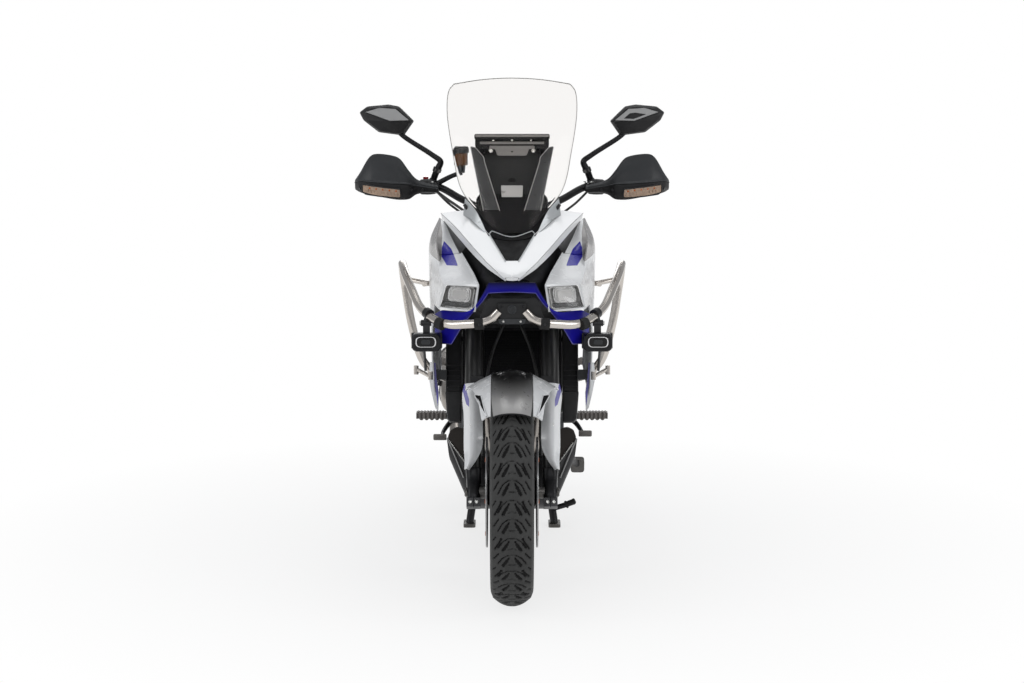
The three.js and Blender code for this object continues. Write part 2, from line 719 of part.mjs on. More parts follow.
// Fork guards: each flanks the fender, opens in a vent, and runs down ahead of its leg to a point.
const overTyre = (angle, radius, x) => {
  const turn = THREE.MathUtils.degToRad(angle);
  return [x, axleY - radius * Math.sin(turn), axleS + radius * Math.cos(turn)];
};
const FLANK_INNER_X = FENDER_HALF_WIDTH + 2;
const FLANK_ROWS = [
  // angle ahead of the axle, drop at the fender, middle x, drop, outer x, drop
  [65, 13, 72, 20, 84, 34],
  [48, 13, 76, 22, 96, 40],
  [30, 13, 86, 26, 116, 46],
  [16, 13, 94, 30, 132, 52],
  [5, 13, 96, 34, 138, 58],
];
const flank = shell(
  FLANK_ROWS.map(([angle, dropIn, xMiddle, dropMiddle, xOut, dropOut]) => [
    overTyre(angle, fenderRadius - dropOut, xOut),
    overTyre(angle, fenderRadius - dropMiddle, xMiddle),
    overTyre(angle, fenderRadius - dropIn, FLANK_INNER_X),
  ]),
  FENDER_WALL,
  1,
  1,
);
const ventShape = new THREE.Shape([
  new THREE.Vector2(112, -112),
  new THREE.Vector2(80, -124),
  new THREE.Vector2(76, -196),
]);
const vent = new THREE.ExtrudeGeometry(ventShape, { depth: 200, bevelEnabled: false }).translate(0, 0, 560);
const GUARD_STATIONS = [
  // distance along the fork, half width, distance ahead of the leg's middle
  [690, 22, 44],
  [620, 33, 46],
  [500, 30, 46],
  [405, 6, 48],
];
const legGuard = shell(
  GUARD_STATIONS.map(([along, half, ahead]) =>
    [1, 0, -1].map((side) => [legX + side * half, legY - ahead + 12 * Math.abs(side), along]),
  ).reverse(),
  FENDER_WALL,
  1,
  1,
);
const legLug = cut(
  box([legX - 8, legY - FORK_OUTER_RADIUS - 6, 655], [34, 30, 44]),
  rod([legX, legY, 600], [legX, legY, 700], FORK_OUTER_RADIUS + GAP, 16),
);
addPair("fork_guard", join(cut(flank, vent), legGuard, legLug), WHITE_PAINT, steering);

// Caliper: two halves over a disc, bridged past its edge. It is made upright over the wheel's middle,
// then turned.
const DISC_ROOM = 3; // each side of a disc in its caliper
function caliper(discX, innerX, outerX, radius, height, length, turn) {
  const slotTop = radius + 5;
  const body = box(
    [(innerX + outerX) / 2, 0, slotTop + 12 - height / 2],
    [Math.abs(outerX - innerX), length, height],
  );
  const slot = box([discX, 0, slotTop - 100], [DISC_THICKNESS + 2 * DISC_ROOM, length + 20, 200]);
  return cut(body, slot).rotateX(turn);
}
const CALIPER_TURN = THREE.MathUtils.degToRad(-55);
const frontCaliper = join(
  caliper(FRONT_DISC_X, 50, 105, FRONT_DISC_RADIUS, 54, 108, CALIPER_TURN).translate(0, axleY, axleS),
  box([98, (legY + 24 + GAP + 70) / 2, axleS + 53], [12, 70 - legY - 24 - GAP, 36]),
);
addPair("brake_caliper", frontCaliper, BLACK_METAL, steering);

// Brake hoses: one from each caliper, up behind its leg to a junction under the lower clamp.
const JUNCTION = [44, 30, 20];
const atCaliper = (outwards, along) => [
  86,
  axleY - outwards * Math.sin(CALIPER_TURN) - along * Math.cos(CALIPER_TURN),
  axleS + outwards * Math.cos(CALIPER_TURN) - along * Math.sin(CALIPER_TURN),
];
const brakeHose = tube(
  [
    atCaliper(FRONT_DISC_RADIUS + 17 + 2 * GAP, 30),
    atCaliper(FRONT_DISC_RADIUS + 34, 30),
    [84, 84, 530],
    [82, 40, 640],
    [60, 12, 770],
    [26, -20, LOWER_CLAMP_S - 50],
    [12, -20, LOWER_CLAMP_S - GAP - JUNCTION[2] + 4],
  ],
  4.5,
  6,
  2,
);
const hoseJunction = box([0, -20, LOWER_CLAMP_S - GAP - JUNCTION[2] / 2], JUNCTION);
add("front_brake_hoses", join(both(brakeHose), hoseJunction), BLACK_PLASTIC, steering);

// ---------------------------------------------------------------- shapes that the frame carries
const PANEL = 4; // wall of the painted panels
const TANK = [
  // y, half width, low, high, squareness
  [-322, 92, 930, 1012, 2.4],
  [-280, 140, 904, 1050, 2.5],
  [-180, 172, 880, 1068, 2.6],
  [-70, 156, 868, 1036, 2.6],
  [30, 116, 856, 950, 2.6],
  [72, 94, 852, 900, 2.6],
];
const tankBody = (grow = 0) =>
  loft(
    TANK.map(([y, half, low, high, square]) =>
      ovalRing(y, half + grow, low - grow, high + grow, square, 18),
    ),
  );

const RIDER_SEAT = [
  // y, half width, low, high
  [60, 66, 786, 850],
  [110, 96, 784, 842],
  [220, 128, 786, 830],
  [330, 146, 800, 840],
  [386, 140, 812, 868],
];
const PILLION_SEAT = [
  [392, 128, 848, 902],
  [480, 132, 852, 906],
  [620, 116, 862, 914],
  [690, 96, 872, 918],
];
const seatPad = (stations, grow = 0) =>
  loft(stations.map(([y, half, low, high]) => ovalRing(y, half + grow, low - grow, high + grow, 3.4, 14)));

// Tail: a thin shell over the subframe, open below.
const TAIL = [
  // y, half width, low, high
  [400, 128, 778, 848],
  [560, 122, 796, 860],
  [690, 104, 822, 876],
  [722, 102, 826, 908],
  [880, 66, 858, 910],
];
const TAIL_WALL = 4;
const tailLoft = (widen, lower, raise, shorten) =>
  loft(
    TAIL.map(([y, half, low, high], i) => {
      const inset = i === 0 || i === TAIL.length - 1 ? shorten : 0;
      return ovalRing(y - inset, half + widen, low - lower, high + raise, 3, 16);
    }),
  );

// ---------------------------------------------------------------- frame
const headRear = steerPoint((LOWER_CLAMP_S + TOP_CLAMP_S) / 2 + 10);
const headLow = LOWER_CLAMP_S + LOWER_CLAMP_HEIGHT + RUNNING_GAP;
const headHigh = TOP_CLAMP_S - RUNNING_GAP;
const headTube = rod(steerPoint(headLow), steerPoint(headHigh), HEAD_TUBE_RADIUS, 16);
const headBore = rod(steerPoint(headLow - 2), steerPoint(headHigh + 2), STEM_RADIUS + RUNNING_GAP, 16);
const STAY_HALF = 24;
const stayReach = Math.sqrt((STEER_SWEEP_RADIUS - 1) ** 2 - STAY_HALF ** 2) - 2 * GAP;
const fairingStay = box(
  [0, -(stayReach + HEAD_TUBE_RADIUS - 6) / 2, STAY_S],
  [2 * STAY_HALF, stayReach - HEAD_TUBE_RADIUS + 6, 56],
)
  .rotateX(-RAKE)
  .translate(0, axisFloorY, 0);
const PLATE_X = SWINGARM_HALF_WIDTH + 2; // inner face of the pivot plates
const mainTube = (grow = 0) => tube(
  [
    [20, headRear[1] + 14, headRear[2]],
    [96, headRear[1] + 90, headRear[2] - 46],
    [160, -190, 842],
    [166, 20, 690],
    [PLATE_X + 21, 140, 510],
    [PLATE_X + 20, PIVOT_Y, PIVOT_Z + 20],
  ],
  FRAME_TUBE_RADIUS + grow,
  8,
  1,
);
const downTube = (grow = 0) => tube(
  [
    [16, steerPoint(headLow + 24)[1] + 16, steerPoint(headLow + 24)[2]],
    [88, -393, 806],
    [CYLINDER_HALF_WIDTH + 20, -340, 700],
    [CYLINDER_HALF_WIDTH + 24, -240, 560],
  ],
  FRAME_TUBE_RADIUS - 3 + grow,
  8,
  1,
);
const brace = rod([162, -130, 792], [CYLINDER_HALF_WIDTH + 24, -245, 570], 12, 8);
const pivotPlate = sidePlate(
  [
    [PIVOT_Y - 42, PIVOT_Z + 60],
    [PIVOT_Y + 34, PIVOT_Z + 60],
    [PIVOT_Y + 46, PIVOT_Z - 10],
    [STAND_PIVOT_Y + 26, STAND_PIVOT_Z + 8],
    [STAND_PIVOT_Y + 6, STAND_PIVOT_Z - 26],
    [STAND_PIVOT_Y - 40, STAND_PIVOT_Z - 12],
    [PIVOT_Y - 46, PIVOT_Z - 50],
  ],
  PLATE_X,
  PLATE_X + 14,
);
const railJoint = [148, 92, 588];
const SEAT_RAIL = [
  // x, y, z
  [156, -10, 722],
  [134, 130, 744],
  [116, 340, 770],
  [100, 580, 800],
  [80, 840, 842],
];
const seatRail = tube(SEAT_RAIL, SUBFRAME_TUBE_RADIUS, 8, 1);
const seatRailZ = (y) => {
  const next = SEAT_RAIL.findIndex((point) => point[1] >= y);
  const [a, b] = [SEAT_RAIL[next - 1], SEAT_RAIL[next]];
  return a[2] + ((b[2] - a[2]) * (y - a[1])) / (b[1] - a[1]);
};
const lowRail = rod(railJoint, [105, 500, 790], SUBFRAME_TUBE_RADIUS - 1, 8);
const crossRail = (y, z, half, grow = 0) =>
  rod([-half, y, z], [half, y, z], SUBFRAME_TUBE_RADIUS - 1 + grow, 6);
const SHOCK_RAIL = [26, 704]; // y, z of the cross tube that carries the shock
const PILLION_PEG = [176, 470, 500];
const pegHanger = [
  tube([[116, 340, 740], [150, 410, 620], [160, PILLION_PEG[1], PILLION_PEG[2]]], 9, 6, 1),
  tube([[100, 590, 800], [140, 560, 680], [160, PILLION_PEG[1] + 10, PILLION_PEG[2] + 6]], 9, 6, 1),
  rod([152, PILLION_PEG[1], PILLION_PEG[2]], [244, PILLION_PEG[1] + 10, PILLION_PEG[2] + 14], 13, 8),
];
const ENGINE_BOLT = [-220, 566]; // y, z of the bolt between the engine, the down tubes and the crash bars
const BOLT_BOSS_X = CYLINDER_HALF_WIDTH + 44;
const engineBolt = rod([CYLINDER_HALF_WIDTH + GAP, ...ENGINE_BOLT], [BOLT_BOSS_X, ...ENGINE_BOLT], 14, 8);
const frameSide = join(mainTube(), downTube(), brace, pivotPlate, engineBolt);
// posts under the tank and the seats, cut to the shape of what rests on them
const tankBridge = crossRail(-190, 842, 158);
const tankPost = cut(rod([40, -190, 842], [40, -190, 900], 12, 8), tankBody(GAP));
const seatPost = (y, x) => both(rod([x, y, seatRailZ(y)], [x - 4, y, seatRailZ(y) + 54], 10, 6));
const seatPosts = cut(join(...seatPost(150, 126), ...seatPost(340, 114)), seatPad(RIDER_SEAT, GAP));
const cowlPosts = within(
  join(both(rod([98, 560, 798], [160, 560, 812], 10, 6))),
  tailLoft(12 - TAIL_WALL - GAP, 40, 2 - TAIL_WALL, 5),
);
// side stand's bracket: a bar from the pivot plate to a boss on the stand's axis
const standAxis = vector(SIDE_STAND_AXIS).normalize();
const alongPivot = (distance) => vector(SIDE_STAND_PIVOT).addScaledVector(standAxis, distance).toArray();
const sideStandBracket = [
  cut(
    rod([PLATE_X + 7, 165, 345], alongPivot(19), 10, 8),
    rod(alongPivot(-40), alongPivot(STAND_KNUCKLE_HALF + GAP), 40, 8),
  ),
  rod(alongPivot(STAND_KNUCKLE_HALF + GAP), alongPivot(28), 16, 8),
];
const pivotReach = SWINGARM_HALF_WIDTH + 22;
const pivotShaft = rod([-pivotReach, PIVOT_Y, PIVOT_Z], [pivotReach, PIVOT_Y, PIVOT_Z], PIVOT_RADIUS, 12);
add(
  "main_frame",
  cut(
    join(
      headTube,
      fairingStay,
      both(frameSide),
      tankBridge,
      both(tankPost),
      crossRail(SHOCK_RAIL[0], SHOCK_RAIL[1], 162),
      pivotShaft,
      sideStandBracket,
    ),
    headBore,
  ),
  BLACK_METAL,
);

// Panel of a side cover: rows from the rear to the front, each from top to bottom.
const COVER_ROWS = [
  // y, top x, top z, middle x, bottom x, bottom z
  [420, 144, 806, 152, 144, 772],
  [330, 156, 796, 164, 158, 716],
  [210, 160, 784, 174, 172, 660],
  [110, 158, 790, 180, 180, 700],
];
const coverRows = COVER_ROWS.map(([y, topX, topZ, middleX, lowX, lowZ]) => [
  [topX, y, topZ],
  [middleX, y, (topZ + lowZ) / 2],
  [lowX, y, lowZ],
]);
const coverPosts = [
  // y of the post on the seat rail, x of its outer end
  [160, 172],
  [330, 160],
].map(([y, x]) =>
  cut(rod([x - 44, y, seatRailZ(y)], [x, y, seatRailZ(y) - 4], 7, 6), shell(coverRows, PANEL + GAP, 1, 1)),
);

// Subframe: rails under the seats, bolted against the main tubes.
add(
  "subframe",
  cut(
    join(
      both(join(seatRail, lowRail, ...pegHanger, ...coverPosts)),
      seatPosts,
      cowlPosts,
      crossRail(150, seatRailZ(150), 128),
      crossRail(420, 780, 108),
      crossRail(835, 842, 80),
    ),
    both(mainTube(GAP)),
  ),
  BLACK_METAL,
);

// Outline of a loop round both sprockets, its runs tangent to them, a distance outside their teeth.
function chainOutline(growth) {
  const r0 = FRONT_SPROCKET_RADIUS + growth;
  const r1 = REAR_SPROCKET_RADIUS + growth;
  const dy = REAR_AXLE_Y - FRONT_SPROCKET_Y;
  const dz = REAR_AXLE_Z - FRONT_SPROCKET_Z;
  const slope = Math.atan2(dz, dy);
  const lean = Math.asin((r1 - r0) / Math.hypot(dy, dz));
  const outline = [];
  const arc = (y, z, r, from, to, steps) => {
    for (let i = 0; i <= steps; i++) {
      const angle = from + ((to - from) * i) / steps;
      outline.push([y + r * Math.cos(angle), z + r * Math.sin(angle)]);
    }
  };
  const upper = slope + Math.PI / 2 + lean;
  const lower = slope - Math.PI / 2 - lean;
  arc(REAR_AXLE_Y, REAR_AXLE_Z, r1, lower, upper, 20);
  arc(FRONT_SPROCKET_Y, FRONT_SPROCKET_Z, r0, upper, lower + 2 * Math.PI, 10);
  return outline;
}

// Skid plate: rows across, from its front edge to its rear.
const skidRing = (y, halfWidth, z, rise) => [
  [halfWidth, y, z + rise],
  [halfWidth * 0.7, y, z],
  [-halfWidth * 0.7, y, z],
  [-halfWidth, y, z + rise],
];
const SKID_ROWS = [
  // y, half width, z, rise of the sides
  [-424, 196, 330, 84],
  [-392, 186, 214, 130],
  [-300, 164, 172, 120],
  [-60, 150, 164, 96],
  [10, 140, 168, 60],
];
const SKID_WALL = 4;
const skidPanel = (wall) => shell(SKID_ROWS.map((row) => skidRing(...row)), wall, 1, 1);

// ---------------------------------------------------------------- engine
const crankcase = sidePlate(
  [
    [-318, 352],
    [-300, 268],
    [70, 246],
    [112, 290],
    [112, 470],
    [40, 530],
    [-40, 548],
    [-250, 530],
  ],
  -ENGINE_HALF_WIDTH,
  ENGINE_HALF_WIDTH,
);
const CYLINDER_LEAN = 0.2;
const cylinders = box([0, -150, 620], [2 * CYLINDER_HALF_WIDTH, 180, 200], CYLINDER_LEAN);
const head = box([0, -176, 744], [2 * CYLINDER_HALF_WIDTH + 12, 200, 78], CYLINDER_LEAN);
const cover = (x, y, z, radius, out) =>
  rod([x, y, z], [x + out, y, z], radius, 18, radius - 10);
const covers = [
  cover(ENGINE_HALF_WIDTH - 2, -170, 384, 86, 44),
  cover(ENGINE_HALF_WIDTH - 2, 40, 404, 62, 20),
  cover(-ENGINE_HALF_WIDTH + 2, -20, 376, 96, -52),
  cover(-ENGINE_HALF_WIDTH + 2, -210, 400, 56, -30),
];
const frontSprocket = rod(
  [70, FRONT_SPROCKET_Y, FRONT_SPROCKET_Z],
  [CHAIN_X + 3, FRONT_SPROCKET_Y, FRONT_SPROCKET_Z],
  FRONT_SPROCKET_RADIUS,
  20,
);
const chainSlot = sidePlate(chainOutline(CHAIN_HEIGHT + 10), CHAIN_X - 14, CHAIN_X + 14);
const skidTab = cut(box([132.9, -280, 267], [36.4, 24, 10]), skidPanel(SKID_WALL + GAP));
add(
  "engine",
  join(cut(join(crankcase, cylinders, head, ...covers), chainSlot), frontSprocket, both(skidTab)),
  GREY_METAL,
);

// Radiator: core, side tanks and fan shroud, leaning back with the down tubes.
const RADIATOR_LEAN = -0.29;
const radiator = join(
  box([0, 0, 0], [300, 26, 196]),
  both(box([176, 2, 0], [52, 40, 190])),
  rod([0, 10, 0], [0, 36, 0], 88, 16),
)
  .rotateX(RADIATOR_LEAN)
  .translate(0, -425, 652);
const radiatorEar = cut(rod([160, -408, 712], [144, -346, 706], 8, 6), downTube(GAP));
add("radiator", join(radiator, both(radiatorEar)), BLACK_METAL);

// Exhaust: three headers, collector, link pipe and silencer on the right.
const header = (x) =>
  tube(
    [
      [x, -236, 636],
      [x, -318, 620],
      [x * 0.95, -362, 520],
      [x * 0.8, -364, 380],
      [x * 0.45, -318, 256],
      [x * 0.2, -200, 216],
    ],
    19,
    8,
    1,
  );
const linkPipe = tube(
  [
    [0, -226, 216],
    [-20, -60, 208],
    [-110, 70, 208],
    [-172, 170, 262],
    [-186, 290, 344],
    [-196, 400, 396],
  ],
  26,
  10,
  1,
);
const SILENCER = [
  // y, x, z, half width, half height
  [372, -196, 392, 30, 32],
  [420, -200, 412, 46, 58],
  [700, -212, 474, 48, 60],
  [748, -214, 486, 34, 42],
];
const silencer = loft(
  SILENCER.map(([y, x, z, halfWidth, halfHeight]) =>
    ovalRing(y, halfWidth, z - halfHeight, z + halfHeight, 2.4, 16, x),
  ),
);
const tailPipe = rod([-214, 740, 486], [-214, 768, 492], 22, 16);
const collector = loft([
  ovalRing(-250, 74, 190, 240, 2.4, 16),
  ovalRing(-160, 52, 184, 244, 2.4, 16),
  ovalRing(-40, 40, 180, 238, 2.4, 16),
]);
const cylinderSpace = box(
  [0, -150, 620],
  [2 * (CYLINDER_HALF_WIDTH + GAP), 180 + 2 * GAP, 200],
  CYLINDER_LEAN,
);
add(
  "exhaust",
  cut(join(header(-82), header(0), header(82), collector, linkPipe, silencer, tailPipe), cylinderSpace),
  STEEL,
);

// ---------------------------------------------------------------- swingarm, shock and chain
const armX = SWINGARM_HALF_WIDTH - 14;
const armRing = (y, z, halfX, halfZ, x = armX) => [
  [x - halfX, y, z - halfZ],
  [x + halfX, y, z - halfZ],
  [x + halfX, y, z + halfZ],
  [x - halfX, y, z + halfZ],
];
const arm = loft([
  armRing(PIVOT_Y - 22, PIVOT_Z, 11, 24),
  armRing(PIVOT_Y + 40, PIVOT_Z - 2, 12, 34),
  armRing(PIVOT_Y + 190, PIVOT_Z - 16, 12, 32, armX + 2),
  armRing(REAR_AXLE_Y - 60, REAR_AXLE_Z, 12, 22, armX + 5),
  armRing(REAR_AXLE_Y + 46, REAR_AXLE_Z, 10, 20, armX + 5),
]);
const BRACE_Y = PIVOT_Y + 150;
const pivotBore = rod([-200, PIVOT_Y, PIVOT_Z], [200, PIVOT_Y, PIVOT_Z], PIVOT_RADIUS + GAP, 12);
const EYE_RADIUS = 15;
const SHOCK_LOW = [0, BRACE_Y - 4, PIVOT_Z + 74];
const shockLugTop = SHOCK_LOW[2] - EYE_RADIUS - GAP;
const shockLug = box([0, BRACE_Y - 4, (PIVOT_Z + shockLugTop) / 2], [26, 34, shockLugTop - PIVOT_Z]);
const rearSpacerOut = armX - 8;
const swingarm = cut(
  join(
    both(arm),
    rod([-armX, PIVOT_Y, PIVOT_Z], [armX, PIVOT_Y, PIVOT_Z], 24, 12),
    box([0, BRACE_Y, PIVOT_Z - 6], [2 * armX, 54, 56]),
    shockLug,
  ),
  pivotBore,
);
const rearAxle = rod(
  [-armX - 26, REAR_AXLE_Y, REAR_AXLE_Z],
  [armX + 26, REAR_AXLE_Y, REAR_AXLE_Z],
  AXLE_RADIUS,
  12,
);
const rearSpacers = [
  rod(
    [-rearSpacerOut, REAR_AXLE_Y, REAR_AXLE_Z],
    [REAR_DISC_X - DISC_THICKNESS / 2 - GAP, REAR_AXLE_Y, REAR_AXLE_Z],
    17,
    12,
  ),
  rod([CHAIN_X + 3 + GAP, REAR_AXLE_Y, REAR_AXLE_Z], [rearSpacerOut, REAR_AXLE_Y, REAR_AXLE_Z], 17, 12),
];
add("swingarm", join(swingarm, rearAxle, ...rearSpacers), CAST_METAL);

const SHOCK_HIGH = [0, SHOCK_RAIL[0], SHOCK_RAIL[1] - SUBFRAME_TUBE_RADIUS + 1 - GAP - EYE_RADIUS];
const shockAlong = (share) => SHOCK_LOW.map((v, i) => v + (SHOCK_HIGH[i] - v) * share);
const eye = ([x, y, z]) => rod([x - 17, y, z], [x + 17, y, z], EYE_RADIUS, 12);
add(
  "rear_shock",
  join(
    eye(SHOCK_LOW),
    eye(SHOCK_HIGH),
    rod(shockAlong(0), shockAlong(1), 10, 10),
    rod(shockAlong(0.1), shockAlong(0.66), 40, 16),
    rod(shockAlong(0.66), shockAlong(0.9), 30, 12),
  ),
  BLACK_METAL,
);

// Chain: the whole loop, which lies on both sprockets.
const chainInside = CHAIN_X - CHAIN_WIDTH / 2;
const chainLoop = sidePlate(chainOutline(CHAIN_HEIGHT + 1), chainInside, chainInside + CHAIN_WIDTH, [
  chainOutline(1),
]);
add("chain", chainLoop, GREY_METAL);

// Rear caliper: hangs on a plate against the inside of the right arm.
const REAR_CALIPER_TURN = THREE.MathUtils.degToRad(50);
const armInnerX = armX + 5 - 12; // the arm's inner face over the caliper's plate
const caliperPlate = box([-armInnerX + 2 * GAP + 3, REAR_AXLE_Y - 76, REAR_AXLE_Z + 40], [6, 62, 62]);
add(
  "rear_brake_caliper",
  join(
    caliper(REAR_DISC_X, -56, -armInnerX + 2, REAR_DISC_RADIUS, 48, 84, REAR_CALIPER_TURN)
      .translate(0, REAR_AXLE_Y, REAR_AXLE_Z),
    caliperPlate,
  ),
  BLACK_METAL,
);
// Hugger: a hoop over the front of the rear tyre, on a lug behind the swingarm's brace.
const huggerLugStart = BRACE_Y + 27 + GAP;
const huggerLugEnd = REAR_AXLE_Y - REAR_TYRE_RADIUS - 16;
const huggerLug = box(
  [0, (huggerLugStart + huggerLugEnd) / 2, PIVOT_Z - 8],
  [40, huggerLugEnd - huggerLugStart, 24],
);
add(
  "rear_hugger",
  join(
    hoop(REAR_TYRE_RADIUS + 22, 84, 12, 98, 7, 40, FENDER_WALL, [0, REAR_AXLE_Y, REAR_AXLE_Z]),
    huggerLug,
  ),
  BLACK_PLASTIC,
);

// ---------------------------------------------------------------- tank, seats and tail
add("fuel_tank", tankBody(), WHITE_PAINT);
add("rider_seat", seatPad(RIDER_SEAT), SEAT_COVER);
add("pillion_seat", cut(seatPad(PILLION_SEAT), tailLoft(12 + GAP, 0, 2 + GAP, 0)), SEAT_COVER);
add("tail_cowl", cut(tailLoft(12, 0, 2, 0), tailLoft(12 - TAIL_WALL, 40, 2 - TAIL_WALL, 5)), WHITE_PAINT);
add(
  "tail_light",
  loft([
    ovalRing(880 + GAP, 52, 872, 902, 3, 12),
    ovalRing(906, 44, 874, 898, 3, 12),
  ]),
  RED_LENS,
);

// Side covers, one each side over the subframe, under the seat.
addPair("side_cover", shell(coverRows, PANEL, 1, 1), DARK_PLASTIC);

// Luggage rack with grab rails: a plate on tubes at both sides of the pillion seat.
const RACK_TOP = 958;
const RACK_PLATE = [
  [-86, 690],
  [86, 690],
  [96, 760],
  [82, 920],
  [-82, 920],
  [-96, 760],
];
const rackShape = new THREE.Shape(RACK_PLATE.map(([x, y]) => new THREE.Vector2(x, y)));
const rackPlate = new THREE.ExtrudeGeometry(rackShape, { depth: 8, bevelEnabled: false })
  .translate(0, 0, RACK_TOP - 8);
const grabRail = tube(
  [
    [146, 430, 862],
    [152, 470, 906],
    [146, 600, 930],
    [116, 760, 940],
    [60, 880, 944],
  ],
  11,
  8,
  1,
);
const rackPost = (y) =>
  cut(rod([34, y, RACK_TOP - 4], [34, y, 890], 9, 8), tailLoft(12 + GAP, 0, 2 + GAP, 0));
add("luggage_rack", join(rackPlate, both(grabRail), both(rackPost(760)), both(rackPost(850))), BLACK_METAL);

// Plate holder: an arm that curves down behind the tyre, a blank plate and two indicators.
const PLATE_REAR_Y = 1117;
const plateArm = cut(
  loft([
    ovalRing(836, 44, 822, 852, 3, 10),
    ovalRing(930, 40, 776, 806, 3, 10),
    ovalRing(1030, 36, 700, 730, 3, 10),
    ovalRing(1096, 34, 640, 690, 3, 10),
  ]),
  crossRail(835, 842, 80, GAP),
);
const plateBlank = box([0, 1094, 652], [180, 4, 200], 0.2);
const indicatorStalk = join(
  rod([20, 1010, 752], [132, 1016, 752], 7, 8),
  rod([120, 1016, 752], [176, 1018, 752], 17, 10, 13),
);
add("plate_holder", join(plateArm, plateBlank, both(indicatorStalk)), BLACK_PLASTIC);

// ---------------------------------------------------------------- nose
// Its origin is under the front axle.
const CHIN_WALL = 5;
const SCREEN_WALL = 4;
// Screen rows from the lower lip to the top edge.
const SCREEN_ROWS = [
  // z, half width, y, sweep of the edge back, drop of the edge
  [1030, 62, 72, 18, -14],
  [1100, 86, 106, 30, -6],
  [1178, 148, 142, 52, 0],
  [1290, 174, 196, 58, 0],
  [1406, 191, 258, 56, 0],
  [1462, 186, 290, 50, 0],
  [1499, 172, 312, 42, 18],
];
const screenRows = SCREEN_ROWS.map(([z, half, y, sweep, drop]) =>
  [1, 0.5, 0, -0.5, -1].map((u) => [u * half, y + sweep * u * u, z - drop * u * u]),
);
// Beak rows from the tip back.
const BEAK_ROWS = [
  // y, half width, ridge z, edge z, depth of the lip under the edge
  [-180, 22, 966, 958, 6],
  [-110, 62, 994, 984, 12],
  [-20, 108, 1036, 1020, 16],
  [80, 160, 1084, 1068, 16],
  [168, 206, 1128, 1104, 8],
];
const beakRows = BEAK_ROWS.map(([y, half, ridge, edge, lip]) => {
  const across = [1, 0.5, 0, -0.5, -1].map((u) => [
    u * half,
    y + 14 * Math.abs(u),
    ridge + (edge - ridge) * u * u,
  ]);
  const under = (side) => [side * (half - 4), y + 18, edge - lip];
  return [under(1), ...across, under(-1)];
});
// Chin panel stations across.
const CHIN_STATIONS = [
  // x, top y, top z, low y, low z
  [0, -104, 944, -92, 912],
  [68, -100, 940, -90, 908],
  [90, -84, 900, -74, 876],
  [118, -62, 844, -50, 828],
  [158, -24, 842, 6, 776],
  [192, 22, 842, 52, 748],
  [222, 84, 830, 98, 744],
];
const mirroredChin = CHIN_STATIONS.slice(1).map(([x, ...rest]) => [-x, ...rest]);
const chinRows = [...CHIN_STATIONS.toReversed(), ...mirroredChin].map(
  ([x, topY, topZ, lowY, lowZ]) => [
    [x, topY, topZ],
    [x, (topY + lowY) / 2 - 4, (topZ + lowZ) / 2],
    [x, lowY, lowZ],
  ],
);
// Side fairing: one panel each side, rows (x, y, z) from the rear to the front, each from top to bottom.
const SIDE_ROWS = [
  [[186, 540, 1004], [222, 540, 950], [230, 530, 860], [222, 500, 760], [212, 380, 640]],
  [[204, 400, 1056], [238, 400, 1000], [242, 390, 900], [238, 370, 760], [232, 330, 552]],
  [[214, 260, 1092], [240, 240, 1030], [240, 200, 940], [240, 220, 850], [238, 270, 664]],
  [[206, 200, 1094], [218, 120, 1030], [208, 88, 960], [221, 112, 880], [234, 150, 780]],
];
const screen = shell(screenRows, SCREEN_WALL, 1, 2);
add("windscreen", screen, SCREEN, nose);

// Fairing core: the black body behind the outer panels, hollow round the steering.
const CORE_RINGS = [
  // y, half width, low z, high z
  [-78, 58, 882, 950],
  [-10, 112, 852, 984],
  [60, 150, 830, 1012],
  [150, 178, 800, 1046],
  [236, 182, 790, 1050],
];
const coreLoft = (grow = 0) =>
  loft(
    CORE_RINGS.map(([y, half, low, high]) =>
      ovalRing(y, half + grow, low - grow, high + grow, 2.8, 16),
    ),
  );
const sweepSpace = rod(
  steerPoint(560).map((v, i) => v - (i === 1 ? FRONT_AXLE_Y : 0)),
  steerPoint(1300).map((v, i) => v - (i === 1 ? FRONT_AXLE_Y : 0)),
  STEER_SWEEP_RADIUS,
  32,
);
const LAMP_BACK_Y = -20;
const LAMP_BACK_SHARE = 0.88; // of the lens's outline
const lampRing = (y, grow, room = 0) =>
  [
    // x, z, how far back the corner lies, and which way is out
    [101, 922, 0, -1, 1],
    [184, 920, 60, 1, 1],
    [201, 862, 66, 1, -1],
    [112, 862, 4, -1, -1],
  ].map(([x, z, back, outX, outZ]) => [
    150 + (x - 150) * grow + outX * room,
    y + back,
    891 + (z - 891) * grow + outZ * room,
  ]);
// Hood round each headlight: rings from the lamp's frame to its rear end, grown or shrunk by some room.
const HOOD_LIP = 9; // from the lens to the outside of the hood's frame
const HOOD_WALL = 5;
const LAMP_ROOM = 3;
const HOOD_RINGS = [
  // x, y, z of each corner
  [[108, 20, 952], [206, 66, 948], [219, 72, 852], [110, 24, 855]],
  [[144, 110, 1002], [220, 130, 996], [230, 150, 850], [126, 110, 858]],
];
const OUTWARDS = [[-1, 1], [1, 1], [1, -1], [-1, -1]]; // of the corners of a ring, in x and z
const hoodRing = (ring, room, further = 0) =>
  ring.map(([x, y, z], i) => [x + OUTWARDS[i][0] * room, y + further, z + OUTWARDS[i][1] * room]);
const hoodLoft = (room) =>
  loft([lampRing(-64 - room, 1, HOOD_LIP + room), ...HOOD_RINGS.map((ring) => hoodRing(ring, room))]);
const hood = cut(
  hoodLoft(0),
  loft([
    lampRing(-100, 1, LAMP_ROOM),
    lampRing(LAMP_BACK_Y, 1, LAMP_ROOM),
    hoodRing(HOOD_RINGS[0], -HOOD_WALL),
    hoodRing(HOOD_RINGS[1], -HOOD_WALL, 12),
  ]),
);
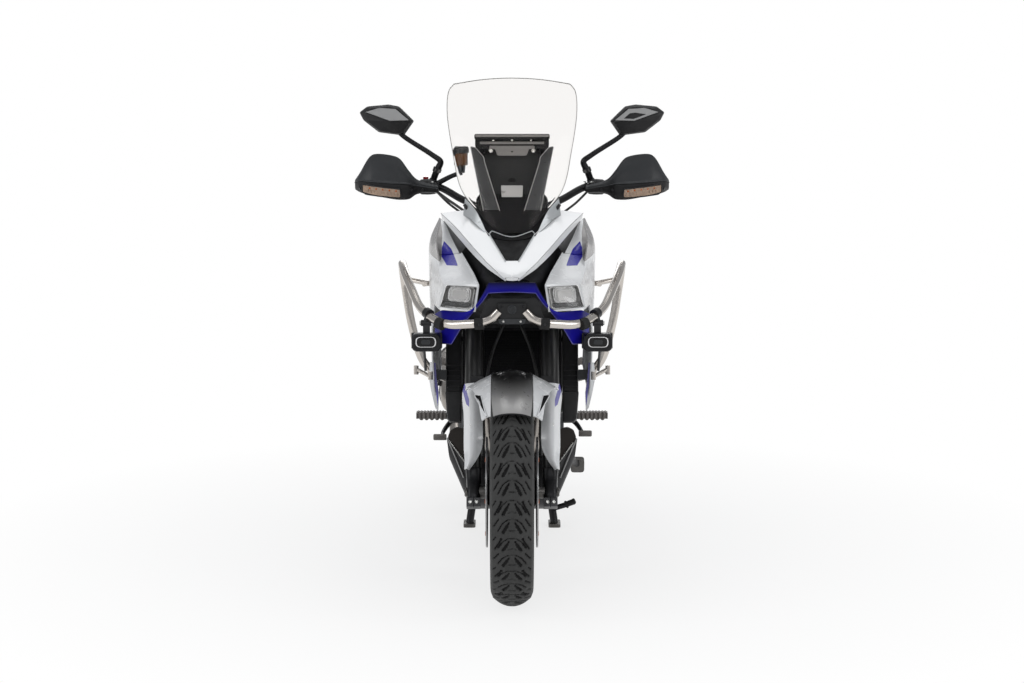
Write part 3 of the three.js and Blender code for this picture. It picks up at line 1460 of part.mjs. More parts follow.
const lampBucket = loft([
  lampRing(LAMP_BACK_Y + GAP, LAMP_BACK_SHARE),
  lampRing(20, 0.6),
  [
    [158, 130, 918],
    [180, 150, 918],
    [180, 150, 874],
    [158, 130, 874],
  ],
]);
const corePosts = [
  both(postBehind(beakRows, 2, 2, PANEL, 46, 5, 1, 1)),
  both(postBehind(SIDE_ROWS, 2, 2, PANEL, 76, 8, 1, 1)),
  postBehind(chinRows, CHIN_STATIONS.length - 1, 1, CHIN_WALL, 26, 8, 1, 1),
];
add(
  "fairing_core",
  join(cut(coreLoft(), sweepSpace, both(hoodLoft(GAP))), both(lampBucket), ...corePosts),
  BLACK_PLASTIC,
  nose,
);

// Bracket behind the screen: a tapering plate between two rails, a bar across its top, and bolts to
// the screen.
const BRACKET_FOOT = [168, 1050]; // y, z of the plate's lower edge, over the core
const BRACKET_TOP = [276, 1350];
const bracketAt = (share, x, out = 0) => [
  x,
  BRACKET_FOOT[0] + (BRACKET_TOP[0] - BRACKET_FOOT[0]) * share + out,
  BRACKET_FOOT[1] + (BRACKET_TOP[1] - BRACKET_FOOT[1]) * share,
];
const bracketRing = (share, inner, outer, front, rear) => [
  bracketAt(share, inner, front),
  bracketAt(share, outer, front),
  bracketAt(share, outer, rear),
  bracketAt(share, inner, rear),
];
const bracketPlate = loft([
  bracketRing(0, -34, 34, 0, 8),
  bracketRing(0.45, -52, 52, 0, 8),
  bracketRing(1, -100, 100, 0, 8),
]);
const bracketRail = loft([
  bracketRing(0.06, 30, 66, -8, 4),
  bracketRing(0.5, 62, 100, -8, 4),
  bracketRing(0.9, 96, 124, -8, 4),
]);
const bracketBar = box(bracketAt(0.92, 0, -2), [220, 16, 40], -0.3);
const bracketFoot = cut(box([0, BRACKET_FOOT[0] + 10, BRACKET_FOOT[1] + 10], [84, 44, 36]), coreLoft(GAP));
const panelArm = rod(bracketAt(0.5, 0, 4), [0, 290, 1204], 12, 8);
add(
  "screen_bracket",
  join(
    bracketPlate,
    both(bracketRail),
    bracketBar,
    bracketFoot,
    panelArm,
    box([0, 300, 1200], [176, 34, 120], -0.5),
    both(postBehind(screenRows, 3, 1, SCREEN_WALL, 40, 7, 1, 2)),
  ),
  DARK_PLASTIC,
  nose,
);

// Silver blades beside the screen's foot, joined under it by a band that lies on the core.
const BLADE = [
  // x, y, z
  [138, 202, 1152],
  [74, 140, 1066],
  [70, 146, 1046],
  [138, 194, 1092],
];
const bladePlate = (depth) => BLADE.map(([x, y, z]) => [x, y + depth, z + depth * 0.3]);
const blade = loft([bladePlate(0), bladePlate(5)]);
const bladeBand = cut(box([0, 143, 1050], [152, 8, 22]), coreLoft(GAP));
add("screen_surround", join(both(blade), bladeBand), SILVER_PAINT, nose);

// Beak: a white roof from the two upper corners down to the flat tip.
const beak = shell(beakRows, PANEL, 1, 1);
const notch = new THREE.Shape(
  [
    [-18, -44],
    [18, -44],
    [64, 75],
    [110, 112],
    [150, 168],
    [172, 260],
    [-172, 260],
    [-150, 168],
    [-110, 112],
    [-64, 75],
  ].map(([x, y]) => new THREE.Vector2(x, y)),
);
const notchTool = new THREE.ExtrudeGeometry(notch, { depth: 400, bevelEnabled: false })
  .translate(0, 0, 900);
add("nose_cowl", cut(beak, notchTool), WHITE_PAINT, nose);

// Headlights under the beak, and the blue chin panel under them.
addPair(
  "headlight",
  loft([lampRing(-70, 0.94), lampRing(-58, 1), lampRing(LAMP_BACK_Y, LAMP_BACK_SHARE)]),
  CLEAR_LENS,
  nose,
);

add(
  "chin_panel",
  shell(chinRows, CHIN_WALL, 1, 1),
  BLUE_PAINT,
  nose,
);

addPair("side_fairing", join(shell(SIDE_ROWS, PANEL, 1, 1), hood), WHITE_PAINT, nose);

// ---------------------------------------------------------------- guards, lamps and pegs
const CRASH_RADIUS = 12.5;
const CRASH_UPPER_PATH = [
  [36, -886, 836],
  [84, -884, 824],
  [190, -830, 812],
  [262, -716, 840],
  [318, -520, 930],
  [330, -420, 952],
];
const CRASH_LOWER_PATH = [
  [330, -420, 952],
  [328, -360, 900],
  [306, -384, 760],
  [274, -384, 640],
  [220, -310, 585],
  [BOLT_BOSS_X + 20, ...ENGINE_BOLT],
];
const crashSide = join(
  tube(CRASH_UPPER_PATH, CRASH_RADIUS, 8, 1),
  tube(CRASH_LOWER_PATH, CRASH_RADIUS, 8, 1),
  rod([BOLT_BOSS_X + GAP, ...ENGINE_BOLT], [BOLT_BOSS_X + 24, ...ENGINE_BOLT], 14, 8),
);
const crashBracket = box([0, -882, 860], [92, 2 * (12 - GAP), 76]);
add("crash_bars", join(both(crashSide), crashBracket), STEEL);
const fogLamp = join(
  loft(
    [-784, -774, -744].map((y, i) =>
      ovalRing(y, i ? 41 : 38, i ? 732 : 735, i ? 784 : 781, 3, 12, 243),
    ),
  ),
  box([243, -756, 795], [18, 12, 34]),
);
addPair("fog_lamp", fogLamp, BLACK_METAL);

add("skid_plate", skidPanel(SKID_WALL), GREY_METAL);

const PEG = [214, 100, 392];
const FOOT_PLATE_X = PLATE_X + 23 + FRAME_TUBE_RADIUS + GAP; // outside the frame's main tubes
const footrest = (controls) =>
  join(
    sidePlate(
      [
        [60, 470],
        [150, 500],
        [190, 430],
        [140, 366],
        [80, 370],
      ],
      FOOT_PLATE_X,
      FOOT_PLATE_X + 10,
    ),
    rod([FOOT_PLATE_X + 4, PEG[1], PEG[2]], [PEG[0] + 8, PEG[1], PEG[2]], 12, 10),
    box([PEG[0] + 50, PEG[1], PEG[2] + 2], [98, 42, 20]),
    controls,
  );
const footLever = (x, tipY, tipZ) => [
  tube([[FOOT_PLATE_X + 6, 90, 396], [x - 20, 60, 376], [x, 0, 356], [x, tipY, tipZ]], 7, 8, 2),
  rod([x - 12, tipY, tipZ], [x + 30, tipY, tipZ], 10, 8),
];
add("left_footrest", footrest(join(footLever(226, -52, 360))), GREY_METAL);
add("right_footrest", mirrored(footrest(join(footLever(222, -62, 350)))), GREY_METAL);

// ---------------------------------------------------------------- stands
const standLeg = tube(
  [
    [STAND_HALF_WIDTH, STAND_PIVOT_Y, STAND_PIVOT_Z],
    [STAND_HALF_WIDTH + 8, STAND_PIVOT_Y - 14, STAND_PIVOT_Z - 120],
    [STAND_FOOT_X, STAND_FOOT_Y + 4, 5],
  ],
  13,
  8,
  1,
);
const standFoot = box([STAND_FOOT_X, STAND_FOOT_Y + 8, 6], [40, 76, 12]);
const standBar = (half, behind, above, radius, sides) => {
  const [y, z] = [STAND_PIVOT_Y + behind, STAND_PIVOT_Z + above];
  return rod([-half, y, z], [half, y, z], radius, sides);
};
add(
  "centre_stand",
  join(
    both(standLeg),
    both(standFoot),
    standBar(STAND_HALF_WIDTH, 0, 0, 15, 12),
    standBar(STAND_HALF_WIDTH + 6, -10, -90, 11, 10),
    rod([STAND_FOOT_X, STAND_FOOT_Y + 4, 60], [STAND_FOOT_X + 66, STAND_FOOT_Y - 10, 84], 9, 8),
  ),
  BLACK_METAL,
);

const alongStand = (share) => SIDE_STAND_PIVOT.map((v, i) => v + (SIDE_STAND_FOOT[i] - v) * share);
add(
  "side_stand",
  join(
    rod(alongPivot(-STAND_KNUCKLE_HALF), alongPivot(STAND_KNUCKLE_HALF), 18, 12),
    rod(alongStand(0), alongStand(0.97), 13, 10, 10),
    box(SIDE_STAND_FOOT, [46, 20, 52], 0.4),
  ),
  BLACK_METAL,
);

export default motorcycle;
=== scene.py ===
# Looks of the sport touring motorcycle: sizes in millimetres in this script, metres in Blender.
import math

import bmesh
import bpy
import numpy as np
from mathutils import Matrix, Vector


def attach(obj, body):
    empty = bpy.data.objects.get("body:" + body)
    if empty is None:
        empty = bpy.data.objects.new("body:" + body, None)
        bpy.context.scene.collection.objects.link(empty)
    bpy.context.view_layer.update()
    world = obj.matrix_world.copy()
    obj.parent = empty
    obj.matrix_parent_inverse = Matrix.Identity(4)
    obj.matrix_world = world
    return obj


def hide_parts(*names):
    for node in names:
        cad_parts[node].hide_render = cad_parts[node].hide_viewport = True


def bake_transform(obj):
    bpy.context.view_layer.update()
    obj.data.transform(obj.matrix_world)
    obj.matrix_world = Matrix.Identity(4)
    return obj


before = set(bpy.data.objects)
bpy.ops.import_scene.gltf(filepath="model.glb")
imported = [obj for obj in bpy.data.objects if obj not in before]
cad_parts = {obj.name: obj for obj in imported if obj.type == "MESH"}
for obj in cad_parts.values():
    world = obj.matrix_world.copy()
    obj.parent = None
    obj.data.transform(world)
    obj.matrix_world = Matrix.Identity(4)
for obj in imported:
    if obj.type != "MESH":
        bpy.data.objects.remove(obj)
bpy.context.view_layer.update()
scene = bpy.context.scene

# ---------------- camera, floor and light
LENS_MM, SENSOR_MM = 75, 36
CAMERA_PLACE = (0, -6.792, 1.6)  # metres
CAMERA_DOWN = 7.956  # degrees
SKY_STRENGTH = 0.42
FLOOR_CORNERS = [(-14, -9, 0), (14, -9, 0), (14, 22, 0), (-14, 22, 0)]  # metres
FLOOR_GLOW = 0.74  # share of plain white in the floor under the bike
FLOOR_FADE = (0.5, 1.9)  # metres from the middle between which it rises to all white

camera = bpy.data.objects.new("camera", bpy.data.cameras.new("camera"))
scene.collection.objects.link(camera)
camera.data.lens = LENS_MM
camera.data.sensor_width = SENSOR_MM
camera.location = CAMERA_PLACE
camera.rotation_euler = (math.radians(90 - CAMERA_DOWN), 0, 0)
scene.camera = camera
scene.view_settings.view_transform = "Standard"


def lamp(name, place, aim, size, power):
    """Rectangular light that looks at a point; sizes in metres, power in watts."""
    light = bpy.data.lights.new(name, "AREA")
    light.shape = "RECTANGLE"
    light.size, light.size_y = size
    light.energy = power
    holder = bpy.data.objects.new(name, light)
    holder.location = place
    holder.rotation_euler = (Vector(aim) - Vector(place)).to_track_quat("-Z", "Y").to_euler()
    scene.collection.objects.link(holder)


lamp("lamp_front", (0, -5.5, 3.6), (0, -0.4, 0.7), (3.0, 1.4), 34)
lamp("lamp_left", (3.6, -2.2, 2.4), (0, -0.3, 0.7), (1.6, 2.6), 40)
lamp("lamp_right", (-3.6, -2.2, 2.4), (0, -0.3, 0.7), (1.6, 2.6), 40)
lamp("lamp_top", (0, 0.4, 4.2), (0, 0, 0.6), (3.0, 3.0), 46)
lamp("lamp_rear", (0, 4.5, 2.6), (0, 0.3, 0.7), (3.0, 1.6), 40)


# ---------------- materials
class Nodes:
    """A node tree with short calls for the nodes used here."""

    def __init__(self, tree):
        self.tree = tree
        self.place = None

    def new(self, kind, inputs=None, **settings):
        node = self.tree.nodes.new(kind)
        for key, value in settings.items():
            setattr(node, key, value)
        for key, value in (inputs or {}).items():
            socket = node.inputs[key]
            if isinstance(value, bpy.types.NodeSocket):
                self.tree.links.new(value, socket)
            else:
                socket.default_value = value
        return node

    def where(self, stretch=(1, 1, 1)):
        if self.place is None:
            self.place = self.new("ShaderNodeTexCoord").outputs["Object"]
        return self.new("ShaderNodeMapping", {"Vector": self.place, "Scale": stretch}).outputs[0]

    def split(self):
        """Sockets of the place's x, y and z."""
        node = self.new("ShaderNodeSeparateXYZ", {"Vector": self.where()})
        return [node.outputs[axis] for axis in "XYZ"]

    def noise(self, scale, stretch=(1, 1, 1), detail=3):
        return self.new(
            "ShaderNodeTexNoise", {"Vector": self.where(stretch), "Scale": scale, "Detail": detail}
        ).outputs["Fac"]

    def cells(self, scale, stretch=(1, 1, 1), feature="F1"):
        return self.new(
            "ShaderNodeTexVoronoi", {"Vector": self.where(stretch), "Scale": scale}, feature=feature
        ).outputs["Distance"]

    def range(self, value, low, high, start=0.3, end=0.7):
        spread = {"Value": value, "From Min": start, "From Max": end, "To Min": low, "To Max": high}
        return self.new("ShaderNodeMapRange", spread).outputs[0]

    def mix(self, share, a, b):
        node = self.new("ShaderNodeMix", {0: share}, data_type="RGBA")
        for index, value in ((6, a), (7, b)):
            if isinstance(value, bpy.types.NodeSocket):
                self.tree.links.new(value, node.inputs[index])
            else:
                node.inputs[index].default_value = (*value[:3], 1)
        return node.outputs[2]

    def math(self, operation, a, b=0.0):
        return self.new("ShaderNodeMath", {0: a, 1: b}, operation=operation).outputs[0]


def finish(
    name,
    color,
    rough,
    metal=0.0,
    shade=0.85,
    mottle=6,
    grain=None,
    wear=0.0,
    paint=None,
    **sockets,
):
    """Procedural finish: rough is (low, high), grain (kind, scale, depth in mm, stretch)."""
    material = bpy.data.materials.new(name)
    material.use_nodes = True
    nodes = Nodes(material.node_tree)
    shader = material.node_tree.nodes["Principled BSDF"]
    cloud = nodes.noise(mottle)
    dark = tuple(c * shade for c in color)
    base = nodes.mix(nodes.range(cloud, 0, 1), dark, color)
    if paint:
        base = paint(nodes, base)
    if wear:
        point = nodes.new("ShaderNodeNewGeometry").outputs["Pointiness"]
        worn = nodes.math("MULTIPLY", nodes.range(point, 0, wear, 0.52, 0.6), nodes.noise(60))
        base = nodes.mix(worn, base, tuple(min(1, c * 2.5 + 0.12) for c in color))
    links = material.node_tree.links
    links.new(base, shader.inputs["Base Color"])
    links.new(nodes.range(nodes.noise(mottle * 7, detail=5), *rough), shader.inputs["Roughness"])
    shader.inputs["Metallic"].default_value = metal
    if grain:
        kind, scale, depth, *stretch = grain
        stretch = stretch[0] if stretch else (1, 1, 1)
        height = nodes.cells(scale, stretch) if kind == "cells" else nodes.noise(scale, stretch, 4)
        bump = nodes.new("ShaderNodeBump", {"Height": height, "Strength": 0.6, "Distance": depth / 1000})
        links.new(bump.outputs[0], shader.inputs["Normal"])
    for key, value in sockets.items():
        shader.inputs[key.replace("_", " ")].default_value = value
    return material


WHITE_TONE = (0.80, 0.81, 0.82)
STRIPE_BLUE = (0.06, 0.05, 0.36)


def white_finish(name, rough, depth, **settings):
    """White paint with fine grain of a depth in mm."""
    return finish(name, WHITE_TONE, rough, shade=0.96, grain=("noise", 900, depth), **settings)


WHITE = white_finish("white_paint", (0.16, 0.24), 0.003, Coat_Weight=0.6, Coat_Roughness=0.08)
GREY_PAINT = finish(
    "grey_paint", (0.33, 0.33, 0.33), (0.25, 0.38), 0.3, shade=0.92, grain=("noise", 1500, 0.006),
    Coat_Weight=0.5
)
BLADE = finish(
    "blade_paint", (0.47, 0.49, 0.50), (0.25, 0.38), 0.35, shade=0.9, grain=("noise", 1500, 0.006),
    Coat_Weight=0.4
)
BLUE = finish(
    "blue_paint", (0.010, 0.007, 0.30), (0.3, 0.42), shade=0.75, grain=("noise", 2200, 0.03),
    Specular_IOR_Level=0.14
)
PURPLE = finish("stripe_blue", (0.09, 0.08, 0.42), (0.2, 0.3), 0.1, shade=0.9, Coat_Weight=0.6)
BLACK = finish(
    "black_plastic", (0.012, 0.012, 0.013), (0.42, 0.6), shade=0.8, grain=("cells", 1400, 0.05), wear=0.25,
    Specular_IOR_Level=0.3
)
NOSE_BLACK = finish(
    "nose_black", (0.004, 0.004, 0.005), (0.5, 0.65), shade=0.8, grain=("noise", 900, 0.03),
    Specular_IOR_Level=0.12
)
GLOSS_BLACK = finish(
    "gloss_black", (0.006, 0.006, 0.007), (0.18, 0.28), shade=0.8, grain=("noise", 1200, 0.01),
    Specular_IOR_Level=0.3
)
DARK = finish(
    "dark_plastic", (0.030, 0.032, 0.035), (0.4, 0.55), shade=0.8, grain=("noise", 900, 0.05), wear=0.3,
    Specular_IOR_Level=0.3
)
GREY_PLASTIC = finish(
    "grey_plastic", (0.16, 0.155, 0.15), (0.4, 0.55), shade=0.85, grain=("cells", 1100, 0.05), wear=0.2
)
BLACK_METAL = finish(
    "black_metal", (0.016, 0.016, 0.018), (0.3, 0.45), 0.6, shade=0.75, grain=("noise", 700, 0.06), wear=0.5
)
ANODISED = finish(
    "fork_black", (0.012, 0.012, 0.012), (0.3, 0.42), 0.45, shade=0.85, grain=("noise", 700, 0.01), wear=0.2
)
ENGINE = finish(
    "engine_alloy", (0.06, 0.062, 0.065), (0.38, 0.55), 0.7, shade=0.75, grain=("noise", 420, 0.25),
    wear=0.6
)
CAST = finish(
    "cast_alloy", (0.05, 0.05, 0.052), (0.35, 0.5), 0.8, shade=0.8, grain=("noise", 520, 0.12), wear=0.4
)
STEEL = finish("guard_steel", (0.60, 0.56, 0.52), (0.2, 0.25), 1.0, shade=0.95, grain=("noise", 600, 0.002))
DISC = finish(
    "disc_steel", (0.42, 0.42, 0.42), (0.25, 0.4), 1.0, shade=0.8, grain=("noise", 500, 0.04, (0.2, 3, 3))
)
BOLT = finish("bolt_steel", (0.62, 0.62, 0.60), (0.18, 0.32), 1.0, shade=0.8, grain=("noise", 700, 0.03))
DARK_STEEL = finish(
    "dark_steel", (0.11, 0.105, 0.10), (0.3, 0.5), 0.9, shade=0.7, grain=("noise", 600, 0.08), wear=0.6
)
EXHAUST = finish(
    "stainless", (0.42, 0.39, 0.36), (0.2, 0.38), 1.0, shade=0.72, mottle=9,
    grain=("noise", 340, 0.04, (1, 0.1, 1))
)
RUBBER = finish(
    "rubber", (0.013, 0.013, 0.013), (0.55, 0.75), shade=0.75, grain=("cells", 900, 0.08),
    Specular_IOR_Level=0.3
)
PEG_RUBBER = finish("peg_rubber", (0.17, 0.155, 0.145), (0.55, 0.7), shade=0.75, grain=("noise", 500, 0.15))
TYRE = finish(
    "tyre_rubber", (0.050, 0.050, 0.049), (0.6, 0.78), shade=0.78, mottle=18, grain=("noise", 1300, 0.12),
    Specular_IOR_Level=0.35
)
# near-black finish for the tread's grooves and for thin blocks in pinch slits: painted shade in those
# hollows
GROOVE_SHADE = finish(
    "groove_shade", (0.010, 0.010, 0.010), (0.7, 0.85), shade=0.8, grain=("noise", 900, 0.1),
    Specular_IOR_Level=0.2
)
ORANGE = finish(
    "orange_anodised", (0.55, 0.12, 0.02), (0.25, 0.4), 0.7, shade=0.8, grain=("noise", 700, 0.03)
)
AMBER = finish(
    "amber_cup", (0.20, 0.075, 0.02), (0.12, 0.2), shade=0.7, mottle=40, Transmission_Weight=0.35, IOR=1.45
)
SCREEN = finish(
    "screen_clear", (0.935, 0.92, 0.905), (0.01, 0.03), shade=0.995, Transmission_Weight=1.0, IOR=1.12
)
SCREEN_EDGE = finish("screen_edge", (0.50, 0.49, 0.47), (0.3, 0.45), shade=0.9, Transmission_Weight=0.3)
LENS = finish("clear_lens", (0.96, 0.97, 0.98), (0.02, 0.05), shade=0.98, Transmission_Weight=1.0, IOR=1.45)
CHROME = finish("reflector", (0.75, 0.75, 0.76), (0.06, 0.15), 1.0, shade=0.9, grain=("cells", 260, 0.2))
SIGNAL = finish(
    "signal_lens", (0.60, 0.42, 0.30), (0.12, 0.25), shade=0.7, mottle=120, grain=("cells", 260, 0.5),
    Transmission_Weight=0.3
)
RED = finish(
    "red_lens", (0.38, 0.008, 0.01), (0.08, 0.16), shade=0.8, grain=("cells", 260, 0.4), Coat_Weight=0.6
)
MIRROR = finish("mirror_glass", (0.85, 0.86, 0.87), (0.01, 0.03), 1.0, shade=0.98)
SEAT = finish(
    "seat_cover", (0.020, 0.020, 0.021), (0.5, 0.68), shade=0.75, grain=("cells", 620, 0.25),
    Sheen_Weight=0.15
)
STITCH = finish("stitching", (0.30, 0.30, 0.30), (0.6, 0.8), shade=0.7, grain=("noise", 2500, 0.1))
DISPLAY = finish("display_glass", (0.02, 0.022, 0.026), (0.04, 0.1), shade=0.8, Coat_Weight=1.0)
FINS = finish(
    "radiator_fins", (0.010, 0.010, 0.011), (0.45, 0.6), 0.6, shade=0.7,
    grain=("noise", 120, 0.6, (0.2, 0.2, 8))
)
HOSE = finish("hose_rubber", (0.012, 0.012, 0.012), (0.4, 0.55), shade=0.8, grain=("noise", 1200, 0.04))


def floor_finish():
    """Near-white floor that turns into the plain white of the background."""
    material = bpy.data.materials.new("floor")
    material.use_nodes = True
    nodes = Nodes(material.node_tree)
    tree = material.node_tree
    shader = tree.nodes["Principled BSDF"]
    shader.inputs["Roughness"].default_value = 0.9
    shader.inputs["Specular IOR Level"].default_value = 0.1
    tone = nodes.mix(nodes.range(nodes.noise(0.7), 0, 1), (0.80, 0.80, 0.80), (0.83, 0.83, 0.83))
    tree.links.new(tone, shader.inputs["Base Color"])
    away = nodes.new("ShaderNodeVectorMath", {0: nodes.place}, operation="LENGTH").outputs["Value"]
    far = nodes.range(away, FLOOR_GLOW, 1, *FLOOR_FADE)
    path = nodes.new("ShaderNodeLightPath")
    seen = nodes.math("MAXIMUM", path.outputs["Is Camera Ray"], path.outputs["Is Glossy Ray"])
    seen = nodes.math("MAXIMUM", seen, path.outputs["Is Transmission Ray"])
    glow = nodes.new("ShaderNodeEmission", {"Color": (1, 1, 1, 1), "Strength": 1.0})
    share = nodes.math("MULTIPLY", far, seen)
    mixed = nodes.new("ShaderNodeMixShader", {0: share, 1: shader.outputs[0], 2: glow.outputs[0]})
    tree.links.new(mixed.outputs[0], tree.nodes["Material Output"].inputs["Surface"])
    return material


def make_floor():
    mesh = bpy.data.meshes.new("floor")
    mesh.from_pydata(FLOOR_CORNERS, [], [(0, 1, 2, 3)])
    mesh.materials.append(floor_finish())
    floor = bpy.data.objects.new("floor", mesh)
    scene.collection.objects.link(floor)


def make_world():
    """White behind the bike; a softer, slightly blue white lights it."""
    world = bpy.data.worlds.new("world")
    scene.world = world
    world.use_nodes = True
    nodes = Nodes(world.node_tree)
    tree = world.node_tree
    path = nodes.new("ShaderNodeLightPath")
    seen = nodes.math("MAXIMUM", path.outputs["Is Camera Ray"], path.outputs["Is Transmission Ray"])
    white = nodes.new("ShaderNodeBackground", {"Color": (1, 1, 1, 1), "Strength": 1.0})
    soft = nodes.new("ShaderNodeBackground", {"Color": (0.95, 0.97, 1, 1), "Strength": SKY_STRENGTH})
    mixed = nodes.new("ShaderNodeMixShader", {0: seen, 1: soft.outputs[0], 2: white.outputs[0]})
    tree.links.new(mixed.outputs[0], tree.nodes["World Output"].inputs["Surface"])


make_floor()
make_world()


# ---------------- shape helpers (a shape is points and faces, in mm)
LEFT, AHEAD, UP = (1, 0, 0), (0, -1, 0), (0, 0, 1)  # the rider's left


def around(count, start=0.0):
    """Angles spaced evenly round a circle."""
    return np.linspace(start, start + 2 * np.pi, count, endpoint=False)


def circle(radius, count, middle=(0, 0)):
    """Points spaced evenly round a circle in a plane."""
    x, y = middle
    return [(x + radius * math.cos(a), y + radius * math.sin(a)) for a in around(count)]


def bend(value, square):
    """Sine or cosine pushed outwards, so that a circle turns into a rounded square."""
    return np.sign(value) * np.abs(value) ** (2 / square)


def squared(count, square):
    """Cosines and sines of a rounded square's points."""
    angle = 2 * np.pi * (np.arange(count) + 0.5) / count
    return bend(np.cos(angle), square), bend(np.sin(angle), square)


def curve(points, steps=6, creases=()):
    """Smooth curve through points, with a corner at each crease."""
    p = np.array(points, float)
    if creases:
        ends = [0, *creases, len(p) - 1]
        runs = [curve(p[a:b + 1], steps) for a, b in zip(ends, ends[1:])]
        return np.vstack([runs[0], *[run[1:] for run in runs[1:]]])
    if len(p) == 2:
        return p[0] + (p[1] - p[0]) * np.linspace(0, 1, steps + 1)[:, None]
    ends = np.vstack([2 * p[0] - p[1], p, 2 * p[-1] - p[-2]])
    t = np.concatenate(
        [[0], np.cumsum(np.sqrt(np.maximum(np.linalg.norm(np.diff(ends, axis=0), axis=1), 1e-6)))]
    )
    out = []
    for i in range(1, len(ends) - 2):
        u = np.linspace(t[i], t[i + 1], steps, endpoint=False)[:, None]
        a = [
            ((t[j + 1] - u) * ends[j] + (u - t[j]) * ends[j + 1]) / (t[j + 1] - t[j])
            for j in (i - 1, i, i + 1)
        ]
        b = [
            ((t[j + 2] - u) * a[j - i + 1] + (u - t[j]) * a[j - i + 2]) / (t[j + 2] - t[j])
            for j in (i - 1, i)
        ]
        out.append(((t[i + 1] - u) * b[0] + (u - t[i]) * b[1]) / (t[i + 1] - t[i]))
    return np.vstack([*out, p[-1:]])


def grid(rows, down=4, across=4, creases=(), row_creases=()):
    """Finer grid of points through rows of points."""
    fine = np.array([curve(row, across, creases) for row in rows])
    return np.array([curve(fine[:, c], down, row_creases) for c in range(fine.shape[1])]).transpose(1, 0, 2)


def surface(points):
    """Open shape over a grid of points."""
    high, wide = points.shape[:2]
    at = np.arange(high * wide).reshape(high, wide)
    faces = np.stack([at[:-1, :-1], at[1:, :-1], at[1:, 1:], at[:-1, 1:]], -1).reshape(-1, 4)
    return points.reshape(-1, 3), [tuple(f) for f in faces]


def slab(points, wall):
    """Closed panel under a grid; down its columns, then across its rows, turns outwards."""
    down = np.gradient(points, axis=0)
    over = np.gradient(points, axis=1)
    out = np.cross(down, over)
    out /= np.maximum(np.linalg.norm(out, axis=2, keepdims=True), 1e-9)
    high, wide = points.shape[:2]
    outer, faces = surface(points)
    inner = (points - out * wall).reshape(-1, 3)
    n = len(outer)
    faces = faces + [tuple(n + i for i in reversed(f)) for f in faces]
    at = np.arange(n).reshape(high, wide)
    rim = [*at[0, :], *at[1:, -1], *at[-1, -2::-1], *at[-2:0:-1, 0]]
    faces += [(a, b, b + n, a + n) for a, b in zip(rim, rim[1:] + rim[:1])]
    return np.vstack([outer, inner]), faces


def loft(rings, steps=1, caps=True):
    """Closed shape through rings of equally many points."""
    rings = np.array(rings, float)
    if steps > 1:
        rings = np.array([curve(rings[:, c], steps) for c in range(rings.shape[1])]).transpose(1, 0, 2)
    high, wide = rings.shape[:2]
    at = np.arange(high * wide).reshape(high, wide)
    nxt = np.roll(at, -1, axis=1)
    faces = [tuple(f) for f in np.stack([at[:-1], nxt[:-1], nxt[1:], at[1:]], -1).reshape(-1, 4)]
    if caps:
        faces += [tuple(at[0][::-1]), tuple(at[-1])]
    return rings.reshape(-1, 3), faces


def frames(path):
    """Directions across a path, carried along it without twist."""
    along = np.gradient(path, axis=0)
    along /= np.linalg.norm(along, axis=1, keepdims=True)
    start = np.array([0, 0, 1.0]) if abs(along[0][2]) < 0.9 else np.array([0, 1.0, 0])
    side = np.cross(along[0], start)
    sides = []
    for direction in along:
        side = side - direction * np.dot(side, direction)
        side /= np.linalg.norm(side)
        sides.append(side)
    sides = np.array(sides)
    return sides, np.cross(along, sides)


def tube(points, radius, sides=20, steps=8, flat=1.0, creases=()):
    """Round bar along a curve; radius may be a list, one for each given point."""
    path = curve(points, steps, creases)
    if np.ndim(radius):
        radius = np.interp(
            np.linspace(0, 1, len(path)), np.linspace(0, 1, len(radius)), radius
        )[:, None, None]
    a, b = frames(path)
    angle = around(sides)[None, :, None]
    rings = path[:, None] + radius * (a[:, None] * np.cos(angle) + flat * b[:, None] * np.sin(angle))
    return loft(rings)


def rod(start, end, radius, sides=24):
    """Straight round bar."""
    return tube([start, end], radius, sides, 1)


def turned(profile, start, axis, sides=64):
    """Shape turned about an axis through start; a profile's point is (along, radius)."""
    axis = np.array(axis, float) / np.linalg.norm(axis)
    a = np.cross(axis, [0, 0, 1.0] if abs(axis[2]) < 0.9 else [0, 1.0, 0])
    a /= np.linalg.norm(a)
    b = np.cross(axis, a)
    angle = around(sides)[:, None]
    ring = a * np.cos(angle) + b * np.sin(angle)
    rings = [np.array(start) + axis * along + ring * max(radius, 0.01) for along, radius in profile]
    closed = tuple(profile[0]) == tuple(profile[-1])
    if not closed:
        return loft(rings)
    points, faces = loft(rings[:-1], caps=False)
    n, k = len(points), sides
    faces += [(n - k + i, n - k + (i + 1) % k, (i + 1) % k, i) for i in range(k)]
    return points, faces


def block(middle, size, turn=0.0, taper=1.0):
    """Box turned about the X axis; taper is its width at the top as a share."""
    x, y, z = np.array(size) / 2
    corners = [
        [sx * x * (taper if sz > 0 else 1), sy * y, sz * z] for sz in (-1, 1)
        for sx, sy in ((-1, -1), (1, -1), (1, 1), (-1, 1))
    ]
    c, s = math.cos(turn), math.sin(turn)
    points = np.array(
        [[p[0], p[1] * c - p[2] * s, p[1] * s + p[2] * c] for p in corners]
    ) + np.array(middle)
    return points, [(3, 2, 1, 0), (4, 5, 6, 7), (0, 1, 5, 4), (1, 2, 6, 5), (2, 3, 7, 6), (3, 0, 4, 7)]


def rounded(corners, radius, steps=4):
    """A polygon's corners, rounded."""
    p = np.array(corners, float)
    out = []
    for i, corner in enumerate(p):
        before, after = p[i - 1] - corner, p[(i + 1) % len(p)] - corner
        r = min(radius, np.linalg.norm(before) * 0.45, np.linalg.norm(after) * 0.45)
        a = corner + before / np.linalg.norm(before) * r
        b = corner + after / np.linalg.norm(after) * r
        for t in np.linspace(0, 1, steps + 1):
            out.append((1 - t) ** 2 * a + 2 * t * (1 - t) * corner + t * t * b)
    return np.array(out)


